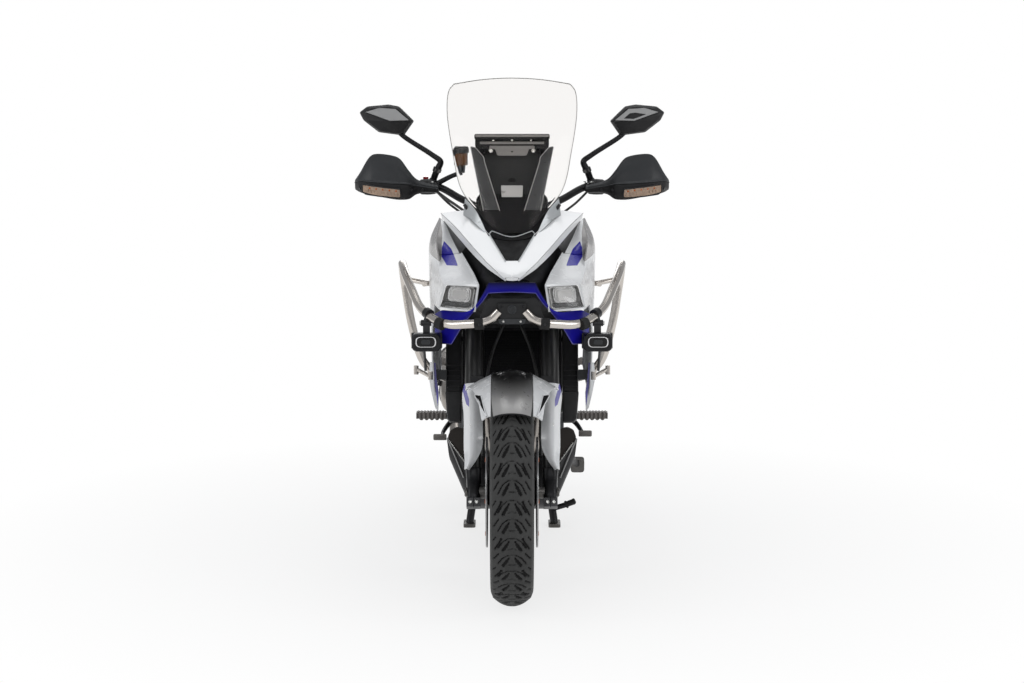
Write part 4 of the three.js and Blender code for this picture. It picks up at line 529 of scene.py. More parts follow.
def bent(points, radius):
    """Path with rounded bends instead of corners."""
    p = np.array(points, float)
    out = [p[0]]
    for a, b, c in zip(p, p[1:], p[2:]):
        r = min(radius, np.linalg.norm(a - b) * 0.45, np.linalg.norm(c - b) * 0.45)
        i, o = b + (a - b) / np.linalg.norm(a - b) * r, b + (c - b) / np.linalg.norm(c - b) * r
        out += [(1 - t) ** 2 * i + 2 * t * (1 - t) * b + t * t * o for t in np.linspace(0, 1, 7)]
    return np.array([*out, p[-1]])


def oval(y, half, low, high, square=2.6, count=48, x=0):
    """Ring with rounded sides across the bike."""
    cos, sin = squared(count, square)
    middle = (low + high) / 2
    return np.stack([x + half * cos, np.full(count, float(y)), middle + (high - low) / 2 * sin], 1)


def oblong(x, z, half_x, half_z):
    """Corners of a rectangle about its middle."""
    return [(x + sx * half_x, z + sz * half_z) for sx, sz in ((1, 1), (-1, 1), (-1, -1), (1, -1))]


def front_plate(outline, ahead, behind):
    """Plate between two y, from an outline in x, z."""
    return loft([[(x, y, z) for x, z in outline] for y in (ahead, behind)])


def flat(loops, depth, bevel=0.0):
    """Plate in the x, y plane, z from 0 to depth, from an outline and its holes."""
    data = bpy.data.curves.new("flat", "CURVE")
    data.dimensions = "2D"
    data.fill_mode = "BOTH"
    data.extrude = depth / 2 - bevel
    data.bevel_depth = bevel
    data.bevel_resolution = 2
    data.offset = -bevel
    for loop in loops:
        spline = data.splines.new("POLY")
        spline.points.add(len(loop) - 1)
        for point, place in zip(spline.points, loop):
            point.co = (place[0], place[1], 0, 1)
        spline.use_cyclic_u = True
    holder = bpy.data.objects.new("flat", data)
    scene.collection.objects.link(holder)
    mesh = bpy.data.meshes.new_from_object(holder.evaluated_get(bpy.context.evaluated_depsgraph_get()))
    points = np.array([v.co for v in mesh.vertices]) + (0, 0, depth / 2)
    faces = [tuple(f.vertices) for f in mesh.polygons]
    bpy.data.objects.remove(holder)
    bpy.data.meshes.remove(mesh)
    return points, faces


def moved(shape, matrix):
    """Shape in the place a matrix gives it."""
    points, faces = shape
    return points @ np.array(matrix.to_3x3()).T + np.array(matrix.translation), faces


def shifted(shape, offset):
    return shape[0] + np.array(offset, float), shape[1]


def mirrored(shape):
    return shape[0] * (-1, 1, 1), [tuple(reversed(f)) for f in shape[1]]


def each(shapes, change, *how):
    """The same change made to every shape; an entry is a shape and its finish."""
    return [(change(shape, *how), material) for shape, material in shapes]


def both(shapes):
    """Shapes with their mirror images."""
    return [*shapes, *each(shapes, mirrored)]


def bolt(place, axis, radius=5, height=4, material=None, hollow=True):
    """Bolt head with a hexagonal socket."""
    r = radius
    profile = [(0, r), (height * 0.7, r), (height, r * 0.8)]
    if hollow:
        profile += [(height, r * 0.5), (height * 0.4, r * 0.45)]
    return turned(profile, place, axis, 20), material or BOLT


# ---------------- pieces
def piece(name, shapes, body="chassis", replaces=(), bevel=0.0, crease=38, wall=0.0, inside=None, rim=None):
    """One object from shapes, each with its finish; open ones get a wall on their inside."""
    mesh = bmesh.new()
    materials = []
    for (points, faces), material in shapes:
        if material not in materials:
            materials.append(material)
        index = materials.index(material)
        corners = [mesh.verts.new(p / 1000) for p in np.asarray(points)]
        for face in faces:
            if len(set(face)) < 3:
                continue
            made = mesh.faces.new([corners[i] for i in dict.fromkeys(face)])
            made.material_index = index
            made.smooth = True
    bmesh.ops.delete(mesh, geom=[v for v in mesh.verts if not v.link_faces], context="VERTS")
    bmesh.ops.remove_doubles(mesh, verts=mesh.verts, dist=1e-5)
    bmesh.ops.dissolve_degenerate(mesh, edges=mesh.edges, dist=1e-6)
    bmesh.ops.recalc_face_normals(mesh, faces=mesh.faces)
    if wall:
        middle = Vector(inside) / 1000
        if sum(f.normal.dot(f.calc_center_median() - middle) * f.calc_area() for f in mesh.faces) < 0:
            bmesh.ops.reverse_faces(mesh, faces=mesh.faces)
    if not bevel:
        for edge in mesh.edges:
            if len(edge.link_faces) == 2 and edge.calc_face_angle(0) > math.radians(crease):
                edge.smooth = False
    data = bpy.data.meshes.new(name)
    mesh.to_mesh(data)
    mesh.free()
    if rim and rim not in materials:
        materials.append(rim)
    for material in materials:
        data.materials.append(material)
    made = bpy.data.objects.new(name, data)
    scene.collection.objects.link(made)
    if wall:
        thick = made.modifiers.new("wall", "SOLIDIFY")
        thick.thickness = wall / 1000
        thick.offset = -1
        thick.use_even_offset = True
        thick.thickness_clamp = 1
        if rim:
            thick.material_offset_rim = len(materials) - 1
    if bevel:
        soften(made, bevel, crease)
    if replaces:
        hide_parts(*replaces)
    if body:
        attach(made, body)
    return made


def soften(target, width, crease):
    """Small bevel on edges sharper than crease, in degrees."""
    modifier = target.modifiers.new("bevel", "BEVEL")
    modifier.width = width / 1000
    modifier.segments = 2
    modifier.limit_method = "ANGLE"
    modifier.angle_limit = math.radians(crease)
    modifier.harden_normals = True


def pair(name, shapes, body="chassis", nodes=(), **settings):
    """Left piece and its mirror image; nodes are CAD names without their side."""
    piece("left_" + name, shapes, body, ["left_" + n for n in nodes], **settings)
    shapes = each(shapes, mirrored)
    piece("right_" + name, shapes, body, ["right_" + n for n in nodes], **settings)


# ---------------- nose
FRONT_Y = -792  # of the front axle


def nose(points):
    """Points whose y is counted from the front axle."""
    return np.array(points, float) + (0, FRONT_Y, 0)


SCREEN_ROWS = [
    # z, half width, y, sweep of the edge back, drop of the edge
    (1052, 52, 84, 18, -14),
    (1100, 84, 106, 30, -6),
    (1178, 146, 142, 52, 0),
    (1290, 174, 196, 58, 0),
    (1406, 191, 258, 56, 0),
    (1462, 186, 290, 50, 0),
    (1499, 172, 312, 42, 18),
]
screen = [
    [(u * half, y + sweep * u * u, z - drop * u * u) for u in (1, 0.5, 0, -0.5, -1)]
    for z, half, y, sweep, drop in SCREEN_ROWS
]
piece(
    "windscreen_glass",
    [(surface(nose(grid(screen, 6, 8))), SCREEN)],
    replaces=["windscreen"],
    wall=4,
    inside=(0, 0, 1250),
    rim=SCREEN_EDGE,
)
edge = nose(grid(screen, 6, 8))
outline = np.vstack([edge[10:, 0], edge[-1, 1:], edge[-2:9:-1, -1]])
piece("windscreen_rim", [(tube(outline + (0, 2, 0), 1.3, 8, 1), SCREEN_EDGE)])

# bracket behind the screen, seen through it
slope = lambda z, out=0.0: -624 + (z - 1050) * 0.36 + out


def on_slope(outline, out, depth=4):
    """Plate that lies along the bracket, from an outline of x, z."""
    front = [(x, slope(z, out), z) for x, z in outline]
    rear = [(x, slope(z, out + depth), z) for x, z in outline]
    return loft([front, rear])


BRACKET = finish(
    "bracket_black", (0.016, 0.017, 0.018), (0.5, 0.65), shade=0.8, grain=("cells", 1400, 0.04),
    Specular_IOR_Level=0.2
)
bracket = [
    (on_slope(rounded([
        (-108, 1300), (-108, 1337), (108, 1337), (108, 1300), (84, 1255), (34, 1112), (-34, 1112),
        (-84, 1255)
    ], 8), 0, 8), BRACKET),
    (on_slope(rounded([(-30, 1132), (30, 1132), (27, 1052), (-27, 1052)], 4), -7, 22), BRACKET),
    (on_slope(rounded([(-110, 1322), (-110, 1337), (110, 1337), (110, 1322)], 5), -12, 20), BRACKET),
    (on_slope([(-107, 1329), (-107, 1336), (107, 1336), (107, 1329)], -13, 4), GREY_PLASTIC),
    (on_slope(rounded([(-94, 1308), (-94, 1315), (94, 1315), (94, 1308)], 2), -7, 10), GREY_PLASTIC),
    (on_slope(rounded([(-66, 1294), (-66, 1303), (66, 1303), (66, 1294)], 3), -6, 8), GREY_PLASTIC),
    (on_slope(rounded([(-50, 1294), (50, 1294), (42, 1275), (-42, 1275)], 3), -5, 6), GREY_PLASTIC),
    (on_slope(rounded([(-32, 1190), (32, 1190), (29, 1134), (-29, 1134)], 3), -4, 8), GREY_PAINT),
    (on_slope([(-3, 1288), (3, 1288), (3, 1285), (-3, 1285)], -6, 3), NOSE_BLACK)
]
forwards = (0, -0.94, 0.34)
bracket += [bolt((x, slope(1288, -6), 1288), forwards, 6.5, 5) for x in (-62, 62)]
bracket += [bolt((x, slope(1319, -7), 1319), forwards, 3, 2, BOLT, False) for x in (-55, 0, 55)]
winglet = [(-121, 1303), (-106, 1299), (-82, 1272), (-79, 1255), (-27, 1094), (-37, 1084), (-81, 1112)]
for side in (1, -1):
    shape = on_slope([(side * x, z) for x, z in rounded(winglet, 4, 2)], -26, 5)
    bracket.append((shape, DARK))
    rim_path = [(side * x, slope(z, -27), z) for x, z in rounded(winglet, 4, 2)]
    bracket.append((tube(rim_path + rim_path[:1], 1.3, 6, 1), GREY_PAINT))
    bracket.append((on_slope(
        [(side * x, z) for x, z in [(-100, 1285), (-88, 1262), (-62, 1150), (-74, 1150)]], -22, 22
    ), NOSE_BLACK))
    bracket += [
        bolt((side * x, slope(z, -26), z), forwards, 3.2, 2, BLACK_METAL)
        for x, z in ((-96, 1258), (-67, 1165))
    ]
    bracket.append((rod((side * 87, -578, 1290), (side * 80, slope(1290), 1290), 7), NOSE_BLACK))
bracket += [
    (block((0, -622, 1060), (84, 44, 28)), NOSE_BLACK),
    (rod((0, slope(1200), 1200), (0, -502, 1204), 12), NOSE_BLACK),
    (block((0, -492, 1200), (176, 34, 120), -0.5), NOSE_BLACK),
    (block((0, -480, 1208), (158, 10, 100), -0.5), DISPLAY),
]
piece("screen_bracket_set", bracket, replaces=["screen_bracket"], bevel=1.0)

# silver blades with the band that joins them
blade = []
for side in (1, -1):
    rows = [
        [(side * 136, -620, 1156), (side * 139, -630, 1132), (side * 141, -640, 1108)],
        [(side * 107, -660, 1128), (side * 114, -666, 1116), (side * 121, -674, 1102)],
        [(side * 91, -690, 1103), (side * 98, -696, 1097), (side * 105, -702, 1090)],
        [(side * 75, -730, 1072), (side * 76, -733, 1070), (side * 78, -737, 1068)],
    ]
    rows = rows if side > 0 else [row[::-1] for row in rows]
    blade.append((slab(grid(rows, 4, 4), 4), BLADE))
    blade.append((
        tube([(side * 138, -640, 1140), (side * 112, -640, 1100), (side * 74, -690, 1052)], 5, 10, 4), BLACK
    ))
blade.append((block((0, -684, 1046), (140, 6, 8)), BLACK))
piece("screen_blades", blade, replaces=["screen_surround"], bevel=0.8)

# black recess between the arms of the beak, and the cowl behind it
recess = [
    [(u * half, y, z + rise * u * u) for u in (-1, -0.6, 0, 0.6, 1)]
    for y, half, z, rise in ((-890, 17, 992, 2), (-820, 42, 1018, 4), (-752, 66, 1046, 12))
]
cowl = [
    [(u * half, y, z + rise * abs(u) ** 2) for u in (-1, -0.7, -0.3, 0.3, 0.7, 1)] for y, half, z, rise in (
        (-756, 66, 1046, 14), (-720, 80, 1052, 24), (-670, 104, 1062, 50), (-610, 132, 1078, 70),
        (-570, 136, 1084, 84)
    )
]
screen_back = [
    [(u * half, y, z) for u in (-1, -0.4, 0.4, 1)]
    for y, half, z in ((-700, 60, 1062), (-640, 92, 1108), (-596, 104, 1150), (-580, 92, 1168))
]
trim_path = [
    (-18, -889, 1000), (-65, -750, 1064), (-58, -744, 1072), (0, -756, 1056), (58, -744, 1072),
    (65, -750, 1064), (18, -889, 1000)
]
piece(
    "nose_recess",
    [
        (slab(grid(recess, 4, 4)[:, ::-1], 3), NOSE_BLACK),
        (slab(grid(cowl, 4, 4)[:, ::-1], 3), NOSE_BLACK),
        (slab(grid(screen_back, 3, 3)[:, ::-1], 3), NOSE_BLACK),
        (tube(curve(trim_path, 6, (1, 2, 4, 5)), 1.4, 8, 1), BLADE),
    ],
    bevel=0.6,
)

# beak: two arms that meet in a flat tip
BEAK_ROWS = [
    # y, half width, ridge z, edge z, depth of the lip under the edge
    (-180, 22, 966, 960, 8),
    (-110, 62, 994, 990, 18),
    (-95, 71, 1001, 997, 20),
    (-20, 108, 1036, 1030, 26),
    (80, 160, 1084, 1078, 26),
    (168, 206, 1128, 1112, 16),
]
notch = lambda y: float(np.interp(y, [-95, 40, 130, 190, 260], [17, 66, 112, 140, 150]))
beak = []
table = curve(BEAK_ROWS, 8, (2,))
for side in (1, -1):
    rows = []
    for y, half, ridge, low, lip in table:
        xs = np.linspace(min(notch(y), half * 0.8), half, 14)
        row = [(side * x, y + 14 * x / half, ridge + (low - ridge) * (x / half) ** 2) for x in xs]
        rows.append(
            row + [(side * (half - 1), y + 16, low - lip * 0.4), (side * (half - 3), y + 18, low - lip)]
        )
    beak.append((surface(nose(rows)), WHITE))
middle = []
for y, half, ridge, low, lip in table[: 2 * 8 + 1]:
    reach = min(notch(y), half * 0.8)
    middle.append([
        (u * reach, y + 14 * abs(u) * reach / half, ridge + (low - ridge) * (u * reach / half) ** 2)
        for u in (-1, 0, 1)
    ])
beak.append((surface(nose(middle)), WHITE))
tip = [
    [(u * 17.6, -180 + 11 * abs(u), 966 - 5 * u * u) for u in (-1, 0, 1)],
    [(u * 15, -176 + 11 * abs(u), 954) for u in (-1, 0, 1)]
]
beak.append((surface(nose(tip)), WHITE))
piece("beak_shell", beak, replaces=["nose_cowl"], wall=4, inside=(0, -500, 900), bevel=0.9, crease=30)
lip_line = nose([(half + 0.3, y + 14.4, low - 0.5) for y, half, ridge, low, lip in table[3:]])
piece("beak_line", both([(tube(lip_line, 0.9, 6, 1), GREY_PAINT)]))

# headlights, their hoods and the side panels
OUTWARDS = ((-1, 1), (1, 1), (1, -1), (-1, -1))  # of the corners of a lamp ring, in x and z


def lamp_ring(y, grow, room=0.0, radius=6):
    """Outline of the left lamp, grown about its middle and widened by room."""
    corners = [(101, 922, 0), (184, 920, 60), (201, 862, 66), (112, 862, 4)]
    ring = [
        (150 + (x - 150) * grow + ox * room, y + back, 891 + (z - 891) * grow + oz * room)
        for (x, z, back), (ox, oz) in zip(corners, OUTWARDS)
    ]
    return rounded(nose(ring), radius)


def hood_ring(corners):
    """Outline of the left lamp's hood."""
    return rounded(nose(corners), 5)


HOOD_MIDDLE = [(108, 20, 952), (206, 66, 948), (219, 72, 852), (110, 24, 855)]
HOOD_REAR = [(144, 110, 1002), (220, 130, 996), (230, 150, 850), (126, 110, 858)]
SIDE_ROWS = [
    [(186, 540, 1004), (222, 540, 950), (230, 530, 860), (222, 500, 760), (212, 380, 640)],
    [(204, 400, 1056), (238, 400, 1000), (242, 390, 900), (238, 370, 760), (232, 330, 548)],
    [(214, 260, 1092), (240, 240, 1030), (240, 200, 940), (240, 220, 850), (238, 270, 664)],
    [(206, 200, 1094), (218, 120, 1030), (208, 88, 960), (221, 112, 880), (234, 150, 780)],
]


EDGE = 0.0006  # softness of a painted edge, metres


def within(nodes, across, up, corners):
    """1 inside a convex outline (counter-clockwise in x and z, in mm), 0 outside."""
    share = 1.0
    for (x0, z0), (x1, z1) in zip(corners, corners[1:] + corners[:1]):
        length = math.hypot(x1 - x0, z1 - z0)
        nx, nz = (z0 - z1) / length, (x1 - x0) / length
        offset = -(nx * x0 + nz * z0) / 1000
        side = nodes.math("ADD", nodes.math("MULTIPLY", across, nx), nodes.math("MULTIPLY", up, nz))
        side = nodes.range(nodes.math("ADD", side, offset), 0, 1, -EDGE, EDGE)
        share = side if share == 1.0 else nodes.math("MULTIPLY", share, side)
    return share


def side_graphics(nodes, base):
    """Silver-grey upper flank, and a blue patch with small light dots."""
    x, y, up = nodes.split()
    across = nodes.math("ABSOLUTE", x)
    lift = nodes.math("ADD", up, nodes.math("MULTIPLY", y, -0.12))
    outside = within(
        nodes, across, up, [(210, 1102), (196, 1035), (203, 991), (204, 960), (300, 960), (300, 1110)]
    )
    grey = nodes.math("MULTIPLY", outside, nodes.range(lift, 0, 1, 1.0640, 1.0652))
    tone = nodes.mix(grey, base, (0.30, 0.29, 0.285))
    patch = within(nodes, across, up, [
        (196, 1036), (175, 1014), (156, 974), (156, 970), (187, 970), (203, 992), (202, 1018)
    ])
    patch = nodes.math("MULTIPLY", patch, nodes.range(y, 1, 0, -0.6405, -0.6395))
    spots = nodes.new(
        "ShaderNodeTexVoronoi", {"Vector": nodes.where((1, 0.05, 1)), "Scale": 190.0, "Randomness": 0.25}
    ).outputs["Distance"]
    upper = within(nodes, across, up, [(202, 1030), (186, 1012), (186, 996), (194, 990), (204, 990)])
    spots = nodes.math("MULTIPLY", nodes.range(spots, 1, 0, 0.24, 0.3), upper)
    blue = nodes.mix(spots, (0.012, 0.008, 0.33), (0.55, 0.58, 0.8))
    return nodes.mix(patch, tone, blue)


SIDE = white_finish("side_paint", (0.2, 0.3), 0.003, paint=side_graphics, Coat_Weight=0.2)
shoulder = [
    [(193, 190, 1082), (177, 152, 1048), (152, 112, 1003)],
    [(198, 192, 1088), (196, 134, 1044), (186, 118, 999)],
    [(206, 200, 1094), (217, 122, 1032), (220, 130, 997)],
]
hood = [
    (loft([lamp_ring(-64, 1, 9), hood_ring(HOOD_MIDDLE), hood_ring(HOOD_REAR)], caps=False), SIDE),
    (loft([lamp_ring(-64, 1, 3, 5), lamp_ring(-64, 1, 9)], caps=False), WHITE),
    (loft([lamp_ring(-20, 1, 3, 5), lamp_ring(-64, 1, 3, 5)], caps=False), WHITE),
    (slab(nose(grid(SIDE_ROWS, 10, 8)), 4), SIDE),
    (slab(nose(grid(shoulder, 5, 5))[::-1], 4), SIDE),
    (rod((208, -592, 990), (150, -592, 990), 7), BLACK),
]
pair("side_panel", hood, nodes=["side_fairing"], bevel=1.4, crease=32)

edge_line = nose([(145, 109, 1003), (109, 19, 953), (93, -71, 930), (104, -66, 855)])
pair("hood_line", [(tube(bent(edge_line, 8), 2.2, 10, 1), WHITE)])

lens = [
    (loft([lamp_ring(-68, 0.97, 0, 6), lamp_ring(-63, 1, 1.5, 8), lamp_ring(-58, 1, 1.5, 8)]), LENS),
]
pair("headlight_glass", lens, nodes=["headlight"])
BOWL = finish("lamp_bowl", (0.50, 0.485, 0.47), (0.3, 0.42), 0.5, shade=0.85, grain=("noise", 160, 0.1))
RING = finish("lamp_ring", (0.66, 0.65, 0.64), (0.2, 0.32), 0.6, shade=0.9, grain=("noise", 260, 0.04))
bowl = [
    (loft(
        [lamp_ring(-56, 1, 2, 7), lamp_ring(-50, 0.95, 0, 8), lamp_ring(-24, 0.9, 0, 10)], caps=False
    ), BOWL),
    (loft([lamp_ring(-28, 0.94, 0, 10), lamp_ring(-22, 0.92, 0, 10)]), BOWL)
]
for grow, y0, y1, round_by, material in (
    (0.86, -46, -30, 16, RING),
    (0.74, -49, -32, 15, BOWL),
    (0.64, -50, -34, 14, RING),
    (0.56, -53, -34, 13, BOWL),
):
    rings = []
    for y in (y0, y1):
        corners = [(104, 921, 4), (180, 919, 56), (186, 872, 60), (112, 872, 8)]
        ring = [
            (146 + (x - 146) * grow, y + 32 + (back - 32) * grow, 898 + (z - 898) * grow)
            for x, z, back in corners
        ]
        rings.append(rounded(nose(ring), round_by, 6))
    bowl.append((loft(rings), material))
strip = [(112, 4, 875), (188, 60, 875), (197, 66, 865), (113, 6, 865)]
bowl.append(
    (loft([rounded(nose([(x, y + back, z) for x, back, z in strip]), 3) for y in (-54, -34)]), BLACK)
)
pair("headlight_bowl", bowl, bevel=0.6)

# black body behind the outer panels
core_rings = [
    (-78, 58, 884, 950), (-10, 90, 852, 974), (20, 97, 842, 986), (60, 114, 830, 1004),
    (110, 134, 812, 1028), (150, 150, 802, 1042), (192, 160, 796, 1046)
]
rings = [oval(FRONT_Y + y, half, low, high, 3, 56) for y, half, low, high in core_rings]
# the fork and its clamps swing behind it, so it ends further ahead low down
rings = [
    ring - (0, 1, 0) * (np.clip((950 - ring[:, 2:]) / 40, 0, 1) * np.clip(ring[:, 1:2] + 676, 0, 80))
    for ring in rings
]
CORE = finish(
    "core_black", (0.007, 0.007, 0.008), (0.4, 0.55), shade=0.8, grain=("noise", 900, 0.03),
    Specular_IOR_Level=0.2
)
CORE_FRONT = 917  # height of the middle of its front ring
tip_ring = rings[0] * (0.1, 1, 0.1) + (0, 0, 0.9 * CORE_FRONT)
core_shapes = [
    (loft(rings[:1] + rings, 3, caps=False), CORE),
    (loft([rings[0], tip_ring], caps=False), CORE)
]
piece("fairing_body", core_shapes, replaces=["fairing_core"], wall=4, inside=(0, -640, 920), crease=50)

# chin panel
CHIN_STATIONS = [
    (0, -104, 944, -92, 914),
    (66, -100, 940, -90, 911),
    (84, -84, 902, -76, 884),
    (110, -62, 862, -54, 852),
    (134, -40, 850, -30, 820),
    (173, 6, 848, 22, 752),
    (201, 40, 846, 56, 748),
    (222, 84, 830, 98, 752),
]
stations = [*CHIN_STATIONS[::-1], *[(-x, *rest) for x, *rest in CHIN_STATIONS[1:]]]
chin = [[(x, ty, tz), (x, (ty + ly) / 2 - 4, (tz + lz) / 2), (x, ly, lz)] for x, ty, tz, ly, lz in stations]
turns = (1, 2, 4, 6, 8, 10, 12, 13)
chin_grid = nose(grid(chin, 6, 6, (), turns))
chin_low = chin_grid[:, -1]


def chin_shade(nodes, base):
    """Painted shade: dark behind the lamps and under the nose, brighter towards the lower edges."""
    x, _, up = nodes.split()
    across = nodes.math("ABSOLUTE", x)
    flank = nodes.math("ADD", nodes.math("SUBTRACT", up, 1.009), nodes.math("MULTIPLY", across, 1.486))
    above = nodes.math("MAXIMUM", nodes.math("SUBTRACT", up, 0.914), flank)
    share = nodes.math(
        "MULTIPLY", nodes.range(above, 0, 1, 0.003, 0.028), nodes.range(up, 0, 1, 0.862, 0.882)
    )
    return nodes.mix(share, base, (0.002, 0.002, 0.02))


CHIN = finish(
    "chin_blue", (0.012, 0.009, 0.34), (0.3, 0.42), shade=0.85, grain=("noise", 2200, 0.03),
    paint=chin_shade, Specular_IOR_Level=0.14
)
piece(
    "chin_shell",
    # the lighter blue tube along the chin's lower edge is a painted highlight on that edge
    [(slab(chin_grid, 5), CHIN), (tube(chin_low + (0, -0.6, -0.4), 1.3, 8, 1), PURPLE)],
    replaces=["chin_panel"],
    bevel=1.2,
)

# ---------------- crash bars, fog lamps
BRACKET_DROP, FOG_DROP = 11, 12  # from the heights below down to the CAD's bars
upper = [(262, -716, 840), (318, -520, 930), (330, -420, 952)]
lower = [(328, -360, 900), (306, -384, 760), (274, -384, 640), (220, -310, 585), (189, -220, 566)]
bar_path = bent([(36, -886, 860), (58, -886, 836), (92, -884, 825), (192, -832, 813), *upper, *lower], 60)
guard = [
    (tube(bar_path, 12.5, 28, 1), STEEL),
    (turned([(0, 16.5), (26, 16.5)], (78, -884, 825), (0.98, 0.2, -0.08), 32), RUBBER),
    (turned([(0, 16.5), (22, 16.5)], (194, -828, 814), (0.72, 0.6, 0.18), 32), RUBBER),
    (rod((189, -220, 566), (193.3, -220, 566), 13), BLACK_METAL),
    (rod((262, -500, 893), (240, -520, 899), 8), STEEL),
    (rod((318, -470, 905), (246, -520, 897), 7.5), STEEL),
    bolt((91, -898, 824), AHEAD, 3.5, 3, BLACK_METAL),
]
piece("crash_bar_set", both(guard), replaces=["crash_bars"], bevel=0.8)
plate = rounded(
    [(-68, 906), (68, 906), (92, 846), (60, 836), (44, 834), (-44, 834), (-60, 836), (-92, 846)], 6
)
middle = [
    (front_plate(plate, -880, -872), BLACK),
    (front_plate(rounded([(-40, 893), (40, 893), (34, 850), (-34, 850)], 6), -890, -876), BLACK),
    (front_plate(rounded([(-40, 850), (40, 850), (34, 835), (-34, 835)], 4), -893, -876), DARK),
    (turned([(0, 13), (3, 13), (4.5, 11), (2.5, 9), (2.5, 1)], (0, -889, 876), AHEAD, 40), DARK),
    (turned([(0, 5), (3, 4.6)], (0, -889, 876), AHEAD, 6), BLACK_METAL),
]
middle += both([bolt((30, -890, 884), AHEAD, 4, 3, BLACK_METAL), bolt((24, -893, 843), AHEAD, 3.5, 3)])
piece("crash_bar_bracket", each(middle, shifted, (0, 0, -BRACKET_DROP)), bevel=1.2)

fog = [
    (loft([
        [(x, y, z) for x, z in rounded(oblong(244, 769, 41 * g, 25 * g), 14 * g, 6)]
        for y, g in ((-786, 0.9), (-782, 1), (-750, 1), (-736, 0.8))
    ]), BLACK_METAL),
    (block((244, -757, 806), (20, 14, 36)), BLACK_METAL),
    (rod((230, -757, 822), (260, -757, 822), 9), BLACK_METAL),
    (tube([(244, -757, 820), (243, -756, 830), (241, -752, 838)], 9, 16, 4), BLACK_METAL),
    (turned([(0, 15.5), (20, 15.5)], (234, -762, 846), (0.5, 0.78, 0.22), 32), BLACK_METAL),
    bolt((260, -757, 822), LEFT, 6, 4),
    (rod((252, -740, 748), (252, -640, 668), 4), BLACK_METAL),
    (tube([(240, -640, 650), (252, -636, 656), (276, -632, 668)], 6, 12, 4), STEEL),
    (rod((238, -642, 640), (238, -640, 664), 7), STEEL),
    (rod((280, -632, 654), (280, -630, 680), 7), STEEL)
]
for grow, y, deep, material in (
    (1.08, -787.6, 6, GLOSS_BLACK), (0.94, -789.4, 1.8, CHROME), (0.84, -790.2, 2.6, GLOSS_BLACK),
    (0.42, -791.2, 3, DARK)
):
    outline = rounded(oblong(245, 771, 31 * grow, 16 * grow), 15 * grow, 6)
    fog.append((front_plate(outline, y, y + deep), material))
fog += [(block((244, -781, 793), (60, 6, 1.6)), DARK), (block((244, -781, 744), (60, 6, 1.6)), DARK)]
fog += [(block((244, y, 769), (88, 2, 44)), BLACK_METAL) for y in (-746, -741, -736, -731)]
fog = each(fog, shifted, (0, 0, -FOG_DROP))
pair("fog_lamp_unit", fog, nodes=["fog_lamp"], bevel=0.8)

cheek = [(199, 1093), (188, 1085), (132, 1014), (136, 998), (160, 989), (188, 1050)]  # x, z
piece("cheeks", both([(front_plate(cheek, -604, -597), GREY_PAINT)]), bevel=0.8)
strip = [(246, 652), (250, 608), (242, 564), (231, 515), (222, 504), (220, 560), (226, 608), (229, 652)]
line = [(229, 652), (235, 652), (236, 608), (228, 560), (223, 520), (220, 560), (226, 608)]
fairing_tips = [
    (front_plate(strip, -470, -454), WHITE),
    (front_plate(line, -471.2, -468), PURPLE),
    (front_plate([(196, 630), (228, 630), (228, 600), (196, 600)], -466, -456), DARK),
]
piece("fairing_tips", both(fairing_tips), bevel=0.6)

# ---------------- steering: made upright (x, y, along the axis), then leaned
RAKE = math.radians(25.5)
AXIS_FOOT = (0, -898, 0)  # where the steering axis meets the floor
LEAN = Matrix.Translation(AXIS_FOOT) @ Matrix.Rotation(-RAKE, 4, "X")
AXLE_S, AXLE_U = 338.97, -44.24  # front axle: along the steering axis and square to it, less is ahead
LEG_X, LEG_U = 110, -30  # fork legs: to the side of the steering axis and square to it


def leaned(shapes):
    """Shapes made upright, leaned back with the fork."""
    return each(shapes, moved, LEAN)


def lean(point):
    """Place of one upright point once leaned."""
    return np.array(LEAN @ Vector(point))


def cross_ring(x, s, half, u0, u1, square=3.4):
    """Rounded ring across a fork leg."""
    cos, sin = squared(36, square)
    return np.stack([x + half * cos, (u0 + u1) / 2 + (u1 - u0) / 2 * sin, np.full(36, float(s))], 1)


def knurled(start, along, length, radius, rib=3.2, deep=1.2):
    """Rubber grip: a bar with ribs round it."""
    profile = [(0, radius + 3), (4, radius + 3), (5, radius)]
    for i in range(int((length - 12) / (2 * rib))):
        at = 6 + i * 2 * rib
        profile += [
            (at, radius), (at + rib, radius), (at + rib + 0.4, radius - deep),
            (at + 2 * rib - 0.4, radius - deep)
        ]
    return turned([*profile, (length - 3, radius), (length, radius - 1)], start, along, 36)


